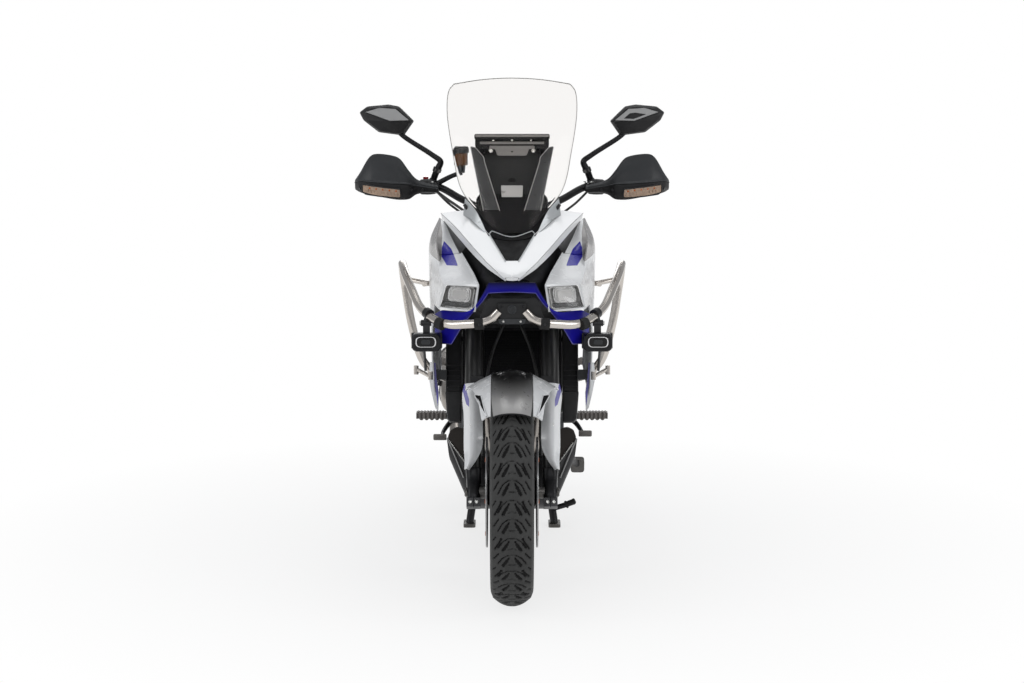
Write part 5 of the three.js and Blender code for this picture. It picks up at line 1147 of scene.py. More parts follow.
leg = [
    (turned([(0, 21.5), (232, 21.5)], (LEG_X, LEG_U, 345), UP, 40), ANODISED),
    (turned([
        (0, 27), (2, 30.5), (8, 31), (9, 29.5), (12, 29.5), (13, 31), (20, 31), (22, 28.5)
    ], (LEG_X, LEG_U, 569), UP, 44), RUBBER),
    (turned(
        [(0, 27.5), (1, 28), (555, 28), (560, 26.5), (564, 26)], (LEG_X, LEG_U, 591), UP, 48
    ), ANODISED),
    (turned([(0, 23), (6, 23), (8, 21), (8, 11), (3, 10)], (LEG_X, LEG_U, 1150), UP, 40), GREY_PLASTIC),
    (turned([(0, 9), (7, 9), (9, 7)], (LEG_X, LEG_U, 1150), UP, 6), PURPLE),
    (loft([
        cross_ring(LEG_X, AXLE_S - 44, 13, AXLE_U - 12, AXLE_U + 12),
        cross_ring(LEG_X, AXLE_S - 38, 15.5, AXLE_U - 17, AXLE_U + 18),
        cross_ring(LEG_X, AXLE_S - 20, 19, AXLE_U - 24, AXLE_U + 28),
        cross_ring(LEG_X, AXLE_S + 14, 20, AXLE_U - 20, AXLE_U + 34),
        cross_ring(LEG_X, AXLE_S + 40, 21, LEG_U - 24, LEG_U + 24),
        cross_ring(LEG_X, AXLE_S + 70, 23.5, LEG_U - 24, LEG_U + 24, 2.4),
        cross_ring(LEG_X, AXLE_S + 74, 22, LEG_U - 22, LEG_U + 22, 2.2)
    ], 3), BLACK_METAL),
    (block((LEG_X, AXLE_U - 14, AXLE_S - 36), (40, 34, 26)), BLACK_METAL),
    # thin dark block in the lug's pinch slot: painted shade of the slot
    (block((LEG_X, AXLE_U - 30, AXLE_S - 36), (1.6, 8, 30)), GROOVE_SHADE),
    bolt((LEG_X + 9, AXLE_U - 31, AXLE_S - 36), AHEAD, 5.5, 5),
    bolt((LEG_X - 9, AXLE_U - 31, AXLE_S - 36), AHEAD, 5.5, 5),
    (turned([(0, 18), (52, 18)], (60, AXLE_U, AXLE_S), LEFT, 40), DARK_STEEL),
    (turned(
        [(0, 15), (4, 15), (6, 12.5), (6, 7), (-4, 7)], (LEG_X + 18.5, AXLE_U, AXLE_S), LEFT, 6
    ), DARK_STEEL)
]
axle = [(turned([(0, 11), (272, 11)], (-136, AXLE_U, AXLE_S), LEFT, 32), DARK_STEEL)]
piece("fork_set", leaned([*both(leg), *axle]), "steering", ["front_fork"], bevel=0.7)

# clamps
plate_outline = rounded([
    (-147, -64), (-100, -66), (-60, -46), (60, -46), (100, -66), (147, -64), (147, -4), (112, 8), (42, 34),
    (-42, 34), (-112, 8), (-147, -4)
], 16, 5)
clamps = []
for s, height in ((900, 34), (1129, 24)):
    holes = [circle(28.3, 40, (x, LEG_U)) for x in (-LEG_X, LEG_X)]
    clamps.append((shifted(flat([plate_outline, *holes], height, 2), (0, 0, s)), BLACK_METAL))
    for side in (1, -1):
        # thin dark block in the clamp's pinch slit: painted shade of the slit
        clamps.append((block((side * 143, LEG_U - 2, s + height / 2), (10, 2, height + 0.6)), GROOVE_SHADE))
        for up in (0.3, 0.7) if height > 30 else (0.5,):
            clamps.append(bolt((side * 128, -66, s + height * up), AHEAD, 5, 4))
clamps += [
    (turned([(0, 16), (256, 16)], (0, 0, 904), UP, 40), DARK_STEEL),
    (turned(
        [(0, 24), (3, 24), (3, 21), (16, 21), (18, 18), (18, 8), (10, 8)], (0, 0, 1153), UP, 6
    ), DARK_STEEL),
    (turned([(0, 17), (8, 17), (10, 15), (10, 5), (6, 4)], (0, -36, 1153), (0, -0.15, 1), 32), DARK_STEEL)
]
riser = [
    (tube([(46, -8, 1139), (46, -2, 1176), (46, 4, 1212)], [17, 14.5, 15], 36, 6), BLACK_METAL),
    (block((46, 6, 1219), (30, 40, 22)), BLACK_METAL),
    (block((46, 6, 1242), (29, 39, 15), 0, 0.85), BLACK_METAL),
    (turned([(0, 12.5), (30, 12.5)], (31, 6, 1230.3), LEFT, 32), BLACK_METAL),
    bolt((46, -9, 1249), UP, 4.5, 4),
    bolt((46, 21, 1249), UP, 4.5, 4),
]
piece("clamp_set", leaned([*clamps, *both(riser)]), "steering", ["triple_clamps"], bevel=0.8)

# handlebar with grips, switches, levers and the brake fluid cup
bar_points = [
    lean((0, 6, 1230.3)), lean((66, 6, 1230.3)), lean((92, 7, 1232)), lean((150, 17, 1262)),
    (226, -324, 1170), (280, -310, 1168), (405, -278, 1164)
]
GRIP_IN, GRIP_OUT = np.array((280, -310, 1168.0)), np.array((405, -278, 1164.0))
along_grip = (GRIP_OUT - GRIP_IN) / np.linalg.norm(GRIP_OUT - GRIP_IN)
SWITCH_IN = np.array((232, -322, 1170.0))
along_switch = (GRIP_IN - SWITCH_IN) / np.linalg.norm(GRIP_IN - SWITCH_IN)
bar = [
    (tube(bar_points, 11, 28, 8, creases=(1, 5)), BLACK_METAL),
    (knurled(GRIP_IN, along_grip, 127, 17), RUBBER),
    (turned(
        [(0, 16), (2, 19), (12, 19), (17, 17), (20, 12), (20, 5), (12, 4)], GRIP_OUT, along_grip, 36
    ), BLACK_METAL),
    (turned([
        (0, 19), (2, 22.5), (20, 24), (21.5, 23), (23, 24), (44, 23), (48, 20)
    ], SWITCH_IN, along_switch, 36), BLACK),
    (block((252, -296, 1178), (34, 16, 18), 0.2), BLACK),
    (block((246, -287, 1182), (9, 8, 8)), GREY_PLASTIC),
    (block((262, -287, 1180), (9, 8, 10)), GREY_PLASTIC),
    (block((252, -288, 1168), (22, 6, 5)), GREY_PLASTIC),
    (tube([SWITCH_IN, (234, -340, 1171), (238, -358, 1172)], [14, 13, 13], 24, 4), BLACK_METAL),
    (block((228, -330, 1170), (16, 34, 26)), BLACK_METAL),
    (turned([(-13, 9), (13, 9)], (240, -360, 1171), (0, 0.1, 1), 28), BLACK_METAL),
    bolt((240, -361, 1184), (0, 0.1, 1), 5, 4),
    (tube([
        (240, -360, 1171), (262, -372, 1170), (300, -372, 1167), (350, -360, 1163), (392, -347, 1160)
    ], [8, 7.5, 6, 5.5, 5.5], 20, 8, 1.3), BLACK_METAL),
    (turned(
        [(0, 5), (3, 7.5), (8, 8), (12, 6), (13, 2)], (388, -348, 1160), (0.96, 0.27, -0.04), 24
    ), BLACK_METAL),
    bolt((220, -330, 1184), UP, 4, 3)
]
cup = [
    (turned([(0, 19), (1, 20.5), (3, 21), (38, 21), (38, 19), (3, 18)], (-154, -344, 1236), UP, 40), AMBER),
    (turned([(0, 18), (26, 18)], (-154, -344, 1238), UP, 40), AMBER),
    (turned([(0, 21.5), (2, 24), (14, 24), (17, 22.5), (20, 22)], (-154, -344, 1272), UP, 44), BLACK),
    (turned([(0, 10), (24, 12)], (-152, -344, 1213), UP, 28), BLACK_METAL),
    (tube([(-150, -344, 1214), (-180, -342, 1204), (-226, -330, 1180)], [7, 7, 8], 20, 6), BLACK_METAL),
    bolt((-142, -344, 1292), UP, 3, 2),
    bolt((-166, -344, 1292), UP, 3, 2),
    (block((-262, -300, 1194), (16, 9, 10), 0.1), RED),
    (turned([(0, 24.6), (9, 24.6)], (-154, -344, 1275), UP, 14), BLACK),
]
piece("handlebar_set", [*both(bar), *cup], "steering", ["handlebar"], bevel=0.7)
pump_hose = [
    (-232, -364, 1162), (-196, -392, 1138), (-134, -440, 1096), (-94, -478, 1040), (-70, -468, 985),
    (-68, -478, 930), (-56, -514, 866), (-14, -540, 834)
]
piece("pump_hose", [
    (tube(pump_hose, 4.2, 14, 8), HOSE),
    (rod((-232, -364, 1166), (-226, -370, 1156), 7), BOLT)
], "steering")
for name, side, low in (("clutch_cable", 1, (112, -392, 850)), ("throttle_cable", -1, (-112, -392, 850))):
    path = [
        (side * 236, -352, 1166), (side * 196, -378, 1128), (side * 118, -394, 1060),
        (side * 92, -402, 960), low
    ]
    cable = piece(name, [(tube(path, 3.6, 14, 10), HOSE)], body=None)
    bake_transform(cable)

# handguards
GUARD_ROWS = [
    # x, top z, ridge z, bottom z, y of the ridge
    (222, 1178, 1168, 1156, -396),
    (284, 1196, 1178, 1152, -408),
    (308, 1222, 1184, 1138, -420),
    (334, 1256, 1186, 1136, -423.5),
    (350, 1265, 1186.4, 1137, -423),
    (412, 1271, 1189.5, 1147, -410.5),
    (428, 1262, 1190.5, 1149, -404),
    (458, 1214, 1192, 1156, -382),
    (474, 1192, 1184, 1162, -350),
]
upper_rows = [
    [
        (x, y + 10 + (top - ridge) * 0.35, top), (x, y - 1 + (top - ridge) * 0.16, (top + ridge) / 2),
        (x, y, ridge)
    ]
    for x, top, ridge, low, y in GUARD_ROWS
]
lower_rows = [
    [(x, y, ridge), (x, y + 2, (ridge + low) / 2 - 4), (x, y + 16, low)]
    for x, top, ridge, low, y in GUARD_ROWS
]
ridge_line = curve([(x, y - 0.5, ridge) for x, top, ridge, low, y in GUARD_ROWS], 8)
guard_y = lambda x: float(np.interp(x, [row[0] for row in GUARD_ROWS], [row[4] for row in GUARD_ROWS]))
strip_table = [(334, 1167, 1145), (372, 1171, 1147), (410, 1175, 1151), (447, 1179, 1159)]
strip_rows = [[(x, guard_y(x) - 6, top), (x, guard_y(x) - 3, low)] for x, top, low in strip_table][::-1]
strip_edge = [(x, guard_y(x) - 5, top + 2) for x, top, low in strip_table] + [
    (x, guard_y(x) - 2, low - 2) for x, top, low in strip_table[::-1]
]
handguard = [
    (slab(grid(upper_rows[::-1], 8, 5), 4), DARK),
    (slab(grid(lower_rows[::-1], 8, 5), 4), BLACK),
    (tube(ridge_line, 1.6, 10, 1), DARK),
    (slab(grid(strip_rows, 6, 3), 3), SIGNAL),
    (tube(strip_edge + strip_edge[:1], 2, 10, 3), BLACK),
    (tube([
        (424, -273, 1163), (446, -288, 1166), (459, -312, 1168), (462, -346, 1170), (452, -380, 1172)
    ], [11, 8, 7, 7, 7], 20, 8, 1.2), BLACK_METAL),
    (tube([(232, -340, 1172), (238, -376, 1168), (262, -398, 1166)], 7, 16, 6), BLACK_METAL),
    bolt((426, -272, 1163), along_grip, 8, 4)
]
handguard += [
    (turned([(0, 2.6), (1.6, 2)], (
        x, guard_y(x) - 5.4, float(np.interp(x, (334, 447), (1162, 1173)))
    ), AHEAD, 14), ORANGE)
    for x in (346, 366, 386, 406, 426)
]
handguard += [
    (block((x, guard_y(x) - 2.8, float(np.interp(x, (334, 447), (1152, 1166)))), (1.2, 5, 9)), SIGNAL)
    for x in range(342, 440, 10)
]
handguard += [bolt((x, guard_y(x) - 1, z), AHEAD, 4, 3, BLACK_METAL) for x, z in ((268, 1166), (300, 1166))]
pair("handguard_set", handguard, "steering", ["handguard"], bevel=0.8)

# mirrors
MIRROR_OUTLINE = [
    (326, 1324), (295, 1368), (340, 1412), (372, 1418), (436, 1412), (460, 1394), (448, 1370), (402, 1334)
]
APEX = (368, 1369)


def mirror_ring(y, grow, radius=5):
    return rounded([
        (APEX[0] + (x - APEX[0]) * grow, y, APEX[1] + (z - APEX[1]) * grow) for x, z in MIRROR_OUTLINE
    ], radius, 3)


facet = [(439, -360, 1396), (398, -360, 1408), (350, -358, 1405), (310, -357, 1371.5), (366, -374, 1370.5)]
housing = [
    (loft([
        mirror_ring(-369, 0.03, 0.1), mirror_ring(-351, 0.86), mirror_ring(-340, 0.97),
        mirror_ring(-326, 1), mirror_ring(-317, 0.98)
    ]), BLACK),
    (loft([facet, [(x, y + 7, z) for x, y, z in facet]]), GREY_PAINT),
    (loft([mirror_ring(-318, 0.93, 8), mirror_ring(-315, 0.92, 8)]), MIRROR),
    (tube([
        (222, -326, 1228), (216, -330, 1246), (240, -333, 1266), (326, -336, 1322), (344, -338, 1340)
    ], [10, 9, 8, 7.5, 8], 24, 8), BLACK_METAL),
    (turned(
        [(0, 12), (6, 12), (8, 10), (30, 10), (32, 12.5), (44, 12.5), (46, 10)], (240, -316, 1186),
        (-0.34, -0.19, 0.92), 28
    ), BLACK_METAL),
    (turned([(0, 13), (10, 13)], (228, -323, 1216), (-0.34, -0.19, 0.92), 6), DARK_STEEL)
]
pair("mirror_set", housing, "steering", ["mirror"], bevel=1.0)


# fender, fork guards
def fender_shade(nodes, base):
    """Painted shade: silver ahead, fading to black at the top under the nose."""
    up = nodes.split()[2]
    return nodes.mix(nodes.range(up, 0, 1, 0.612, 0.668), base, (0.012, 0.012, 0.012))


FENDER = finish(
    "fender_silver", (0.36, 0.355, 0.35), (0.26, 0.4), 0.25, shade=0.92, grain=("noise", 1500, 0.02),
    paint=fender_shade, Coat_Weight=0.3
)


def over_tyre(angle, radius, x):
    """Point round the front axle, at an angle ahead of the steering axis' direction."""
    turn = math.radians(angle)
    return (x, AXLE_U - radius * math.sin(turn), AXLE_S + radius * math.cos(turn))


fender_rows = []
for angle in np.linspace(65, -34, 34):
    ends = max(0, (angle - 46) / 19) ** 2
    fender_rows.append([
        over_tyre(angle, 351 - 14 * abs(u) ** 2.4 - 5 * ends, 58 * u * (1 - 0.1 * ends))
        for u in np.linspace(1, -1, 15)
    ])
fender_grid = np.array(fender_rows)
fender = [
    (slab(fender_grid, 3.5), FENDER),
    (tube(fender_grid[0] + (0, 0, -1), 2, 10, 1), BLACK),
    (tube(fender_grid[-1] + (0, 0, -1), 2, 10, 1), BLACK),
]
fender += both(
    [bolt(over_tyre(angle, 343, 53), (0.6, -0.2, 0.8), 4, 3, BLACK_METAL) for angle in (-24, 24)]
)
piece("fender_shell", leaned(fender), "steering", ["front_fender"], bevel=0.8)
FLANK_ROWS = [
    # angle ahead of the axle, drop at the fender, middle x, drop, outer x, drop
    (65, 13, 72, 20, 84, 34),
    (48, 13, 76, 22, 96, 40),
    (30, 13, 86, 26, 116, 46),
    (16, 13, 94, 30, 132, 52),
    (12, 13, 95, 32, 135, 56),
]
flank = [
    [over_tyre(a, 351 - d2, x2), over_tyre(a, 351 - d1, x1), over_tyre(a, 351 - d0, 60)]
    for a, d0, x1, d1, x2, d2 in FLANK_ROWS
]
GUARD_STATIONS = [
    (656, 137, 84, 45), (620, 143, 80, 46), (560, 138, 86, 46), (465, 137, 88, 46), (430, 134, 104, 47),
    (400, 133, 126, 48)
]
leg_guard = [
    [
        (outer, LEG_U - ahead + 12, s), ((outer + inner) / 2, LEG_U - ahead, s),
        (inner, LEG_U - ahead + 12, s)
    ]
    for s, outer, inner, ahead in GUARD_STATIONS
]


def stripe(nodes, base):
    """Thin dark blue stripe down the leg's guard."""
    x, _, up = nodes.split()
    across = nodes.math("ABSOLUTE", x)
    outline = [(146, 624), (138, 624), (124, 580), (124, 560), (132, 566), (144, 604)]
    band = within(nodes, across, up, outline)
    return nodes.mix(band, base, STRIPE_BLUE)


GUARD_WHITE = white_finish("guard_paint", (0.2, 0.3), 0.01, paint=stripe, Coat_Weight=0.3)
vent = [(106, 620), (87, 625), (70, 580)]  # x, z
flank_fine = grid(flank, 8, 8)
ahead_points = moved((flank_fine[:20].reshape(-1, 3), []), LEAN)[0]


def on_flank(x, z, out):
    """Point of the flank's front over a place seen from ahead, moved out of it."""
    near = ahead_points[np.argmin((ahead_points[:, 0] - x) ** 2 + (ahead_points[:, 2] - z) ** 2)]
    return (x, near[1] - 0.8 * out, z + 0.6 * out)


upright = LEAN.inverted()
vent_ring = [tuple(upright @ Vector(on_flank(x, z, 3))) for x, z in rounded(vent, 4, 3)]
vent_floor = [tuple(upright @ Vector(on_flank(x, z, -6))) for x, z in rounded(vent, 4, 3)]
guards = [
    (slab(flank_fine, 3.5), GUARD_WHITE),
    (slab(grid(leg_guard, 8, 6)[::-1, ::-1], 3.5), GUARD_WHITE),
    # near-black piece in the vent stands in for its dark opening: painted shade
    (loft([vent_ring, vent_floor]), NOSE_BLACK),
    (tube(vent_ring + vent_ring[:1], 1.6, 10, 1), GUARD_WHITE),
    (block((102, LEG_U - 34, 655), (34, 24, 44)), BLACK),
    bolt((102, LEG_U - 45, 640), AHEAD, 5, 3),
    bolt((118, LEG_U - 45, 530), AHEAD, 4, 3),
]
pair("fork_guard_shell", leaned(guards), "steering", ["fork_guard"], bevel=0.8)

# calipers and brake hoses
WHEEL_PLANE = Matrix(((0, 0, 1, 0), (1, 0, 0, 0), (0, 1, 0, 0), (0, 0, 0, 1)))


def side_plate(loops, x0, x1, bevel=0.0):
    """Plate between two x, from outlines in y, z."""
    return shifted(moved(flat(loops, x1 - x0, bevel), WHEEL_PLANE), (x0, 0, 0))


def caliper(disc_x, inner, outer, radius, height, length, turn, place):
    """Two halves over a disc, bridged past its edge."""
    top = radius + 17
    outline = rounded([
        (-length / 2, top - 14), (-length / 2 + 16, top), (length / 2 - 16, top), (length / 2, top - 14),
        (length / 2 - 8, top - height), (-length / 2 + 8, top - height)
    ], 10)
    low, high = sorted((inner, outer))
    shapes = [
        (side_plate([outline], low, disc_x - 5.5, 1.5), BLACK_METAL),
        (side_plate([outline], disc_x + 5.5, high, 1.5), BLACK_METAL),
        (block((disc_x, -length * 0.3, top - 6), (14, length * 0.26, 11)), BLACK_METAL),
        (block((disc_x, length * 0.3, top - 6), (14, length * 0.26, 11)), BLACK_METAL),
        (block((disc_x - 4.4, 0, radius - 14), (2.4, length * 0.6, 30)), DARK_STEEL),
        (block((disc_x + 4.4, 0, radius - 14), (2.4, length * 0.6, 30)), DARK_STEEL),
        (rod((disc_x, -length * 0.2, top - 4), (disc_x, length * 0.2, top - 4), 2.5, 16), BOLT),
    ]
    out = high if abs(high) > abs(low) else low
    away = math.copysign(1, out)
    for y in (-length * 0.24, length * 0.24):
        shapes.append((turned(
            [(-1, 17), (1.5, 17), (3, 15), (3, 11), (1.5, 10)], (out, y, radius - 10), (away, 0, 0), 36
        ), BLACK_METAL))
    shapes += [bolt((out, y, top - 8), (away, 0, 0), 5, 4) for y in (-length * 0.36, length * 0.36)]
    where = Matrix.Translation(place) @ Matrix.Rotation(turn, 4, "X")
    return each(shapes, moved, where)


CALIPER_TURN = math.radians(-55)  # about the axle, back from the fork leg
front_caliper = caliper(72, 50, 105, 160, 54, 108, CALIPER_TURN, (0, AXLE_U, AXLE_S))
front_caliper += [
    (block((98, 32, AXLE_S + 53), (12, 74, 34)), BLACK_METAL),
    bolt((105, 8, AXLE_S + 60), LEFT, 6, 5),
    bolt((105, 56, AXLE_S + 46), LEFT, 6, 5)
]
pair("caliper_set", leaned(front_caliper), "steering", ["brake_caliper"], bevel=0.7)


def at_caliper(out, along):
    """Point beside the front caliper, out from the axle and along its edge."""
    cos, sin = math.cos(CALIPER_TURN), math.sin(CALIPER_TURN)
    return (86, AXLE_U - out * sin - along * cos, AXLE_S + out * cos - along * sin)


hose_path = [
    at_caliper(178, 30), at_caliper(194, 30), (84, 84, 530), (82, 40, 640), (60, 12, 770), (26, -20, 850),
    (12, -20, 884)
]
hoses = [
    (tube(hose_path, 4.5, 16, 8), HOSE),
    (rod(at_caliper(178, 30), at_caliper(190, 30), 6.5, 20), BOLT),
    (rod((82, 40, 640), (81, 34, 656), 7, 20), BLACK)
]
junction = [(block((0, -20, 889.5), (44, 30, 20)), BLACK_METAL), bolt((0, -35.5, 890), AHEAD, 6, 5)]
piece("brake_hose_set", leaned([*both(hoses), *junction]), "steering", ["front_brake_hoses"], bevel=0.6)

# ---------------- wheels, made about the middle of the axle
TREADS = 19  # repeats of the tread's pattern round a tyre
AROUND_TYRE, OVER_CROWN = 720, 47  # points round a tyre, and over its tread
GROOVE_DEPTH = 4.5


def stroke(x, v, a, b, width):
    """1 within a width of the line from a to b, in mm."""
    ax, av, bx, bv = *a, *b
    dx, dv = bx - ax, bv - av
    t = np.clip(((x - ax) * dx + (v - av) * dv) / (dx * dx + dv * dv), 0, 1)
    away = np.hypot(x - ax - t * dx, v - av - t * dv)
    return np.clip((width / 2 + 0.9 - away) / 1.8, 0, 1)


def tread(x, v, period, width):
    """Depth of the grooves as a share, at a distance across and along the tread."""
    k = width / 122
    x = np.abs(x) / k
    v = np.mod(v, period) * 107 / period
    out = np.zeros_like(x)
    for shift in (-107, 0, 107):
        w = v + shift
        lines = [
            ((29, 14), (47, 52), 4.5), ((8, 18), (15, 31), 5), ((14, 29), (24, 48), 8.5),
            ((8, 70), (15, 83), 5), ((14, 81), (24, 100), 8.5)
        ]
        lines += [
            ((0, 8), (12, 10), 2.6), ((12, 10), (26, 22), 2.6), ((26, 22), (38, 46), 3.2),
            ((0, 60), (12, 62), 2.6), ((12, 62), (26, 74), 2.6), ((26, 74), (38, 98), 3.2)
        ]
        lines += [
            ((0, 40), (9, 42), 2.4), ((0, 92), (9, 94), 2.4), ((36, 62), (50, 88), 3.6),
            ((44, 10), (52, 26), 3)
        ]
        for a, b, wide in lines:
            out = np.maximum(out, stroke(x, w, a, b, wide))
        out = np.maximum(out, np.clip((4.6 - np.hypot(x - 29, w - 14)) / 1.4, 0, 1))
    return out


def tyre(radius, width, bead, rim_width):
    """Tyre with its grooves as real hollows; its faces are split into rubber and groove, and the groove
    faces get a darker finish as painted shade.
    """
    height = radius - bead
    bead_x = rim_width / 2 - 8
    half = [
        (bead + 0.3, bead_x), (bead + 8, bead_x + 3), (bead + 0.2 * height, width * 0.455),
        (bead + 0.45 * height, width * 0.5)
    ]
    crown = [
        (bead + height * (1 - 0.36 * abs(u) ** 2.1), u * width * 0.485)
        for u in np.linspace(0.92, -0.92, OVER_CROWN)
    ]
    wall = curve([*half, crown[0]], 4)[:-1]
    section = np.array([*wall, *crown, *[(r, -x) for r, x in wall[::-1]]])
    angle = around(AROUND_TYRE)
    across = section[:, 1][None, :] + 0 * angle[:, None]
    along = angle[:, None] * radius + 0 * across
    depth = tread(across, along, 2 * np.pi * radius / TREADS, width)
    on_crown = (np.arange(len(section)) >= len(wall)) & (np.arange(len(section)) < len(wall) + len(crown))
    depth = depth * on_crown[None, :]
    far = section[:, 0][None, :] - GROOVE_DEPTH * depth
    points = np.stack([across, far * np.cos(angle)[:, None], far * np.sin(angle)[:, None]], -1)
    n, m = points.shape[:2]
    at = np.arange(n * m).reshape(n, m)
    nxt = np.roll(at, -1, axis=0)
    quads = np.stack([at[:, :-1], nxt[:, :-1], nxt[:, 1:], at[:, 1:]], -1).reshape(-1, 4)
    deep = (
        depth[:, :-1] + depth[:, 1:] + np.roll(depth, -1, 0)[:, :-1] + np.roll(depth, -1, 0)[:, 1:]
    ).reshape(-1) / 4
    closing = np.stack([at[:, -1], nxt[:, -1], nxt[:, 0], at[:, 0]], -1)
    flat_points = points.reshape(-1, 3)
    smooth = [tuple(q) for q in quads[deep <= 0.5]] + [tuple(q) for q in closing]
    return [((flat_points, smooth), TYRE), ((flat_points, [tuple(q) for q in quads[deep > 0.5]]), GROOVE_SHADE)]


def wheel_ring(r, half_width, half_depth):
    """Rounded ring across a spoke."""
    cos, sin = squared(20, 3)
    return np.stack([half_depth * cos, half_width * sin, np.full(20, float(r))], 1)


def rim(bead, width, hub_radius, hub_right, hub_left):
    """Cast rim: barrel, hub and five pairs of spokes."""
    half = width / 2
    inner = bead - 16
    barrel = [
        (-half, bead + 10), (-half + 1, bead + 11), (-half + 6, bead + 11), (-half + 8, bead),
        (-half + 16, bead - 2), (-12, inner - 2), (12, inner - 2), (half - 16, bead - 2), (half - 8, bead),
        (half - 6, bead + 11), (half - 1, bead + 11), (half, bead + 10)
    ]
    barrel += [
        (half - 3, bead - 12), (half - 8, inner), (14, inner - 8), (-14, inner - 8), (-half + 8, inner),
        (-half + 3, bead - 12), (-half, bead + 10)
    ]
    hub = [
        (-hub_right, 12), (-hub_right, hub_radius - 6), (-hub_right + 4, hub_radius),
        (-hub_right + 16, hub_radius - 2), (-20, hub_radius - 9), (20, hub_radius - 9),
        (hub_left - 16, hub_radius - 2), (hub_left - 4, hub_radius), (hub_left, hub_radius - 6),
        (hub_left, 12), (-hub_right, 12)
    ]
    shapes = [(turned(barrel, (0, 0, 0), LEFT, 120), CAST), (turned(hub, (0, 0, 0), LEFT, 48), CAST)]
    for i in range(5):
        for side in (-1, 1):
            rings = [
                wheel_ring(hub_radius * 0.6, 12, hub_right * 0.6),
                wheel_ring(hub_radius * 1.2, 9.5, hub_right * 0.5),
                wheel_ring(bead * 0.55, 7, half * 0.42),
                wheel_ring(bead * 0.8, 7.5, half * 0.45),
                wheel_ring(bead - 14, 12, half * 0.52),
            ]
            turn = Matrix.Rotation(math.radians(72 * i + side * 11), 4, "X")
            shapes.append((moved(loft(rings, 4), turn), CAST))
        turn = Matrix.Rotation(math.radians(72 * i), 4, "X")
        shapes.append((moved(
            loft([wheel_ring(hub_radius * 0.9, 16, 14), wheel_ring(hub_radius + 14, 9, 8)], 2), turn
        ), CAST))
    valve = turned([(0, 4), (10, 4), (11, 3), (24, 3), (25, 4), (33, 4)], (0, 0, inner - 4), (0, 0, -1), 16)
    return [*shapes, (moved(valve, Matrix.Rotation(math.radians(36), 4, "X")), RUBBER)]


def disc(radius, x, bolt_radius, inner, arms):
    """Brake disc with its drilled ring, its carrier and the bolts of both."""
    thick, rotor_in = 5, radius - 36
    holes = []
    for i in range(arms * 6):
        base = 2 * np.pi * i / (arms * 6)
        for k, share in enumerate((0.22, 0.5, 0.78)):
            r, a = rotor_in + (radius - rotor_in) * share, base + k * 0.035
            holes.append(circle(3.2, 10, (r * math.cos(a), r * math.sin(a))))
    wave = [
        (radius - 1.2 + 1.2 * math.cos(12 * a)) * np.array((math.cos(a), math.sin(a))) for a in around(144)
    ]
    shapes = [(side_plate([wave, circle(rotor_in, 96), *holes], x - thick / 2, x + thick / 2, 0.4), DISC)]
    spider = []
    for i in range(arms):
        middle = 2 * np.pi * i / arms
        for da, r in (
            (-0.62, bolt_radius), (-0.3, bolt_radius + 8), (-0.12, rotor_in - 8), (-0.09, rotor_in + 1),
            (0.09, rotor_in + 1), (0.12, rotor_in - 8), (0.3, bolt_radius + 8)
        ):
            a = middle + da * 2 * np.pi / arms / 1.24
            spider.append((r * math.cos(a), r * math.sin(a)))
    shapes.append((
        side_plate([spider, circle(inner, 40)], x - thick / 2 + 0.3, x + thick / 2 - 0.3, 0.6), BLACK_METAL
    ))
    away = math.copysign(1, x)
    for i in range(arms):
        a = 2 * np.pi * i / arms
        place = (x + away * (thick / 2 - 0.6), (rotor_in - 1) * math.cos(a), (rotor_in - 1) * math.sin(a))
        shapes.append(
            (turned([(0, 7), (1.6, 7), (2.4, 6), (2.4, 3), (1, 3)], place, (away, 0, 0), 24), ORANGE)
        )
        a += np.pi / arms
        shapes.append(bolt((
            x + away * (thick / 2 - 0.4), (bolt_radius - 10) * math.cos(a), (bolt_radius - 10) * math.sin(a)
        ), (away, 0, 0), 5.5, 3))
    return shapes


FRONT, REAR = (0, FRONT_Y, 325), (0, 739, 339)
piece(
    "front_tyre_treaded", each(tyre(325, 122, 241, 90), shifted, FRONT), "front_wheel", ["front_tyre"],
    crease=50
)
piece(
    "front_rim_cast", each(rim(241, 90, 40, 69.2, 69.2), shifted, FRONT), "front_wheel", ["front_rim"],
    crease=40
)
pair(
    "front_disc_set", each(disc(160, 72, 50, 26, 6), shifted, FRONT), "front_wheel", ["front_disc"],
    crease=35
)
piece(
    "rear_tyre_treaded", each(tyre(321, 152, 216, 122), shifted, REAR), "rear_wheel", ["rear_tyre"],
    crease=50
)
piece(
    "rear_rim_cast", each(rim(216, 122, 48, 75.2, 90.7), shifted, REAR), "rear_wheel", ["rear_rim"],
    crease=40
)
piece(
    "rear_disc_set", each(disc(128, -78, 54, 26, 5), shifted, REAR), "rear_wheel", ["rear_disc"], crease=35
)

# sprocket and chain
teeth = []
for i in range(42):
    for share, radius in (
        (-0.18, 99.4), (-0.08, 100), (0.08, 100), (0.18, 99.4), (0.32, 94.6), (0.5, 93.4), (0.68, 94.6)
    ):
        a = 2 * np.pi * (i + share) / 42
        teeth.append((radius * math.cos(a), radius * math.sin(a)))
loops = [teeth, circle(26, 40), *[circle(9, 24, middle) for middle in circle(75, 10)]]
sprocket = [(side_plate(loops, 91, 97, 0.6), DARK_STEEL)]
sprocket += [bolt((97, 46 * math.cos(a), 46 * math.sin(a)), LEFT, 7, 5) for a in around(5, 0.3)]
piece("rear_sprocket_toothed", each(sprocket, shifted, REAR), "rear_wheel", ["rear_sprocket"], crease=35)


DRIVE_Y, DRIVE_Z = 78, 405  # small sprocket's middle
CHAIN_X, PITCH = 94, 15.875


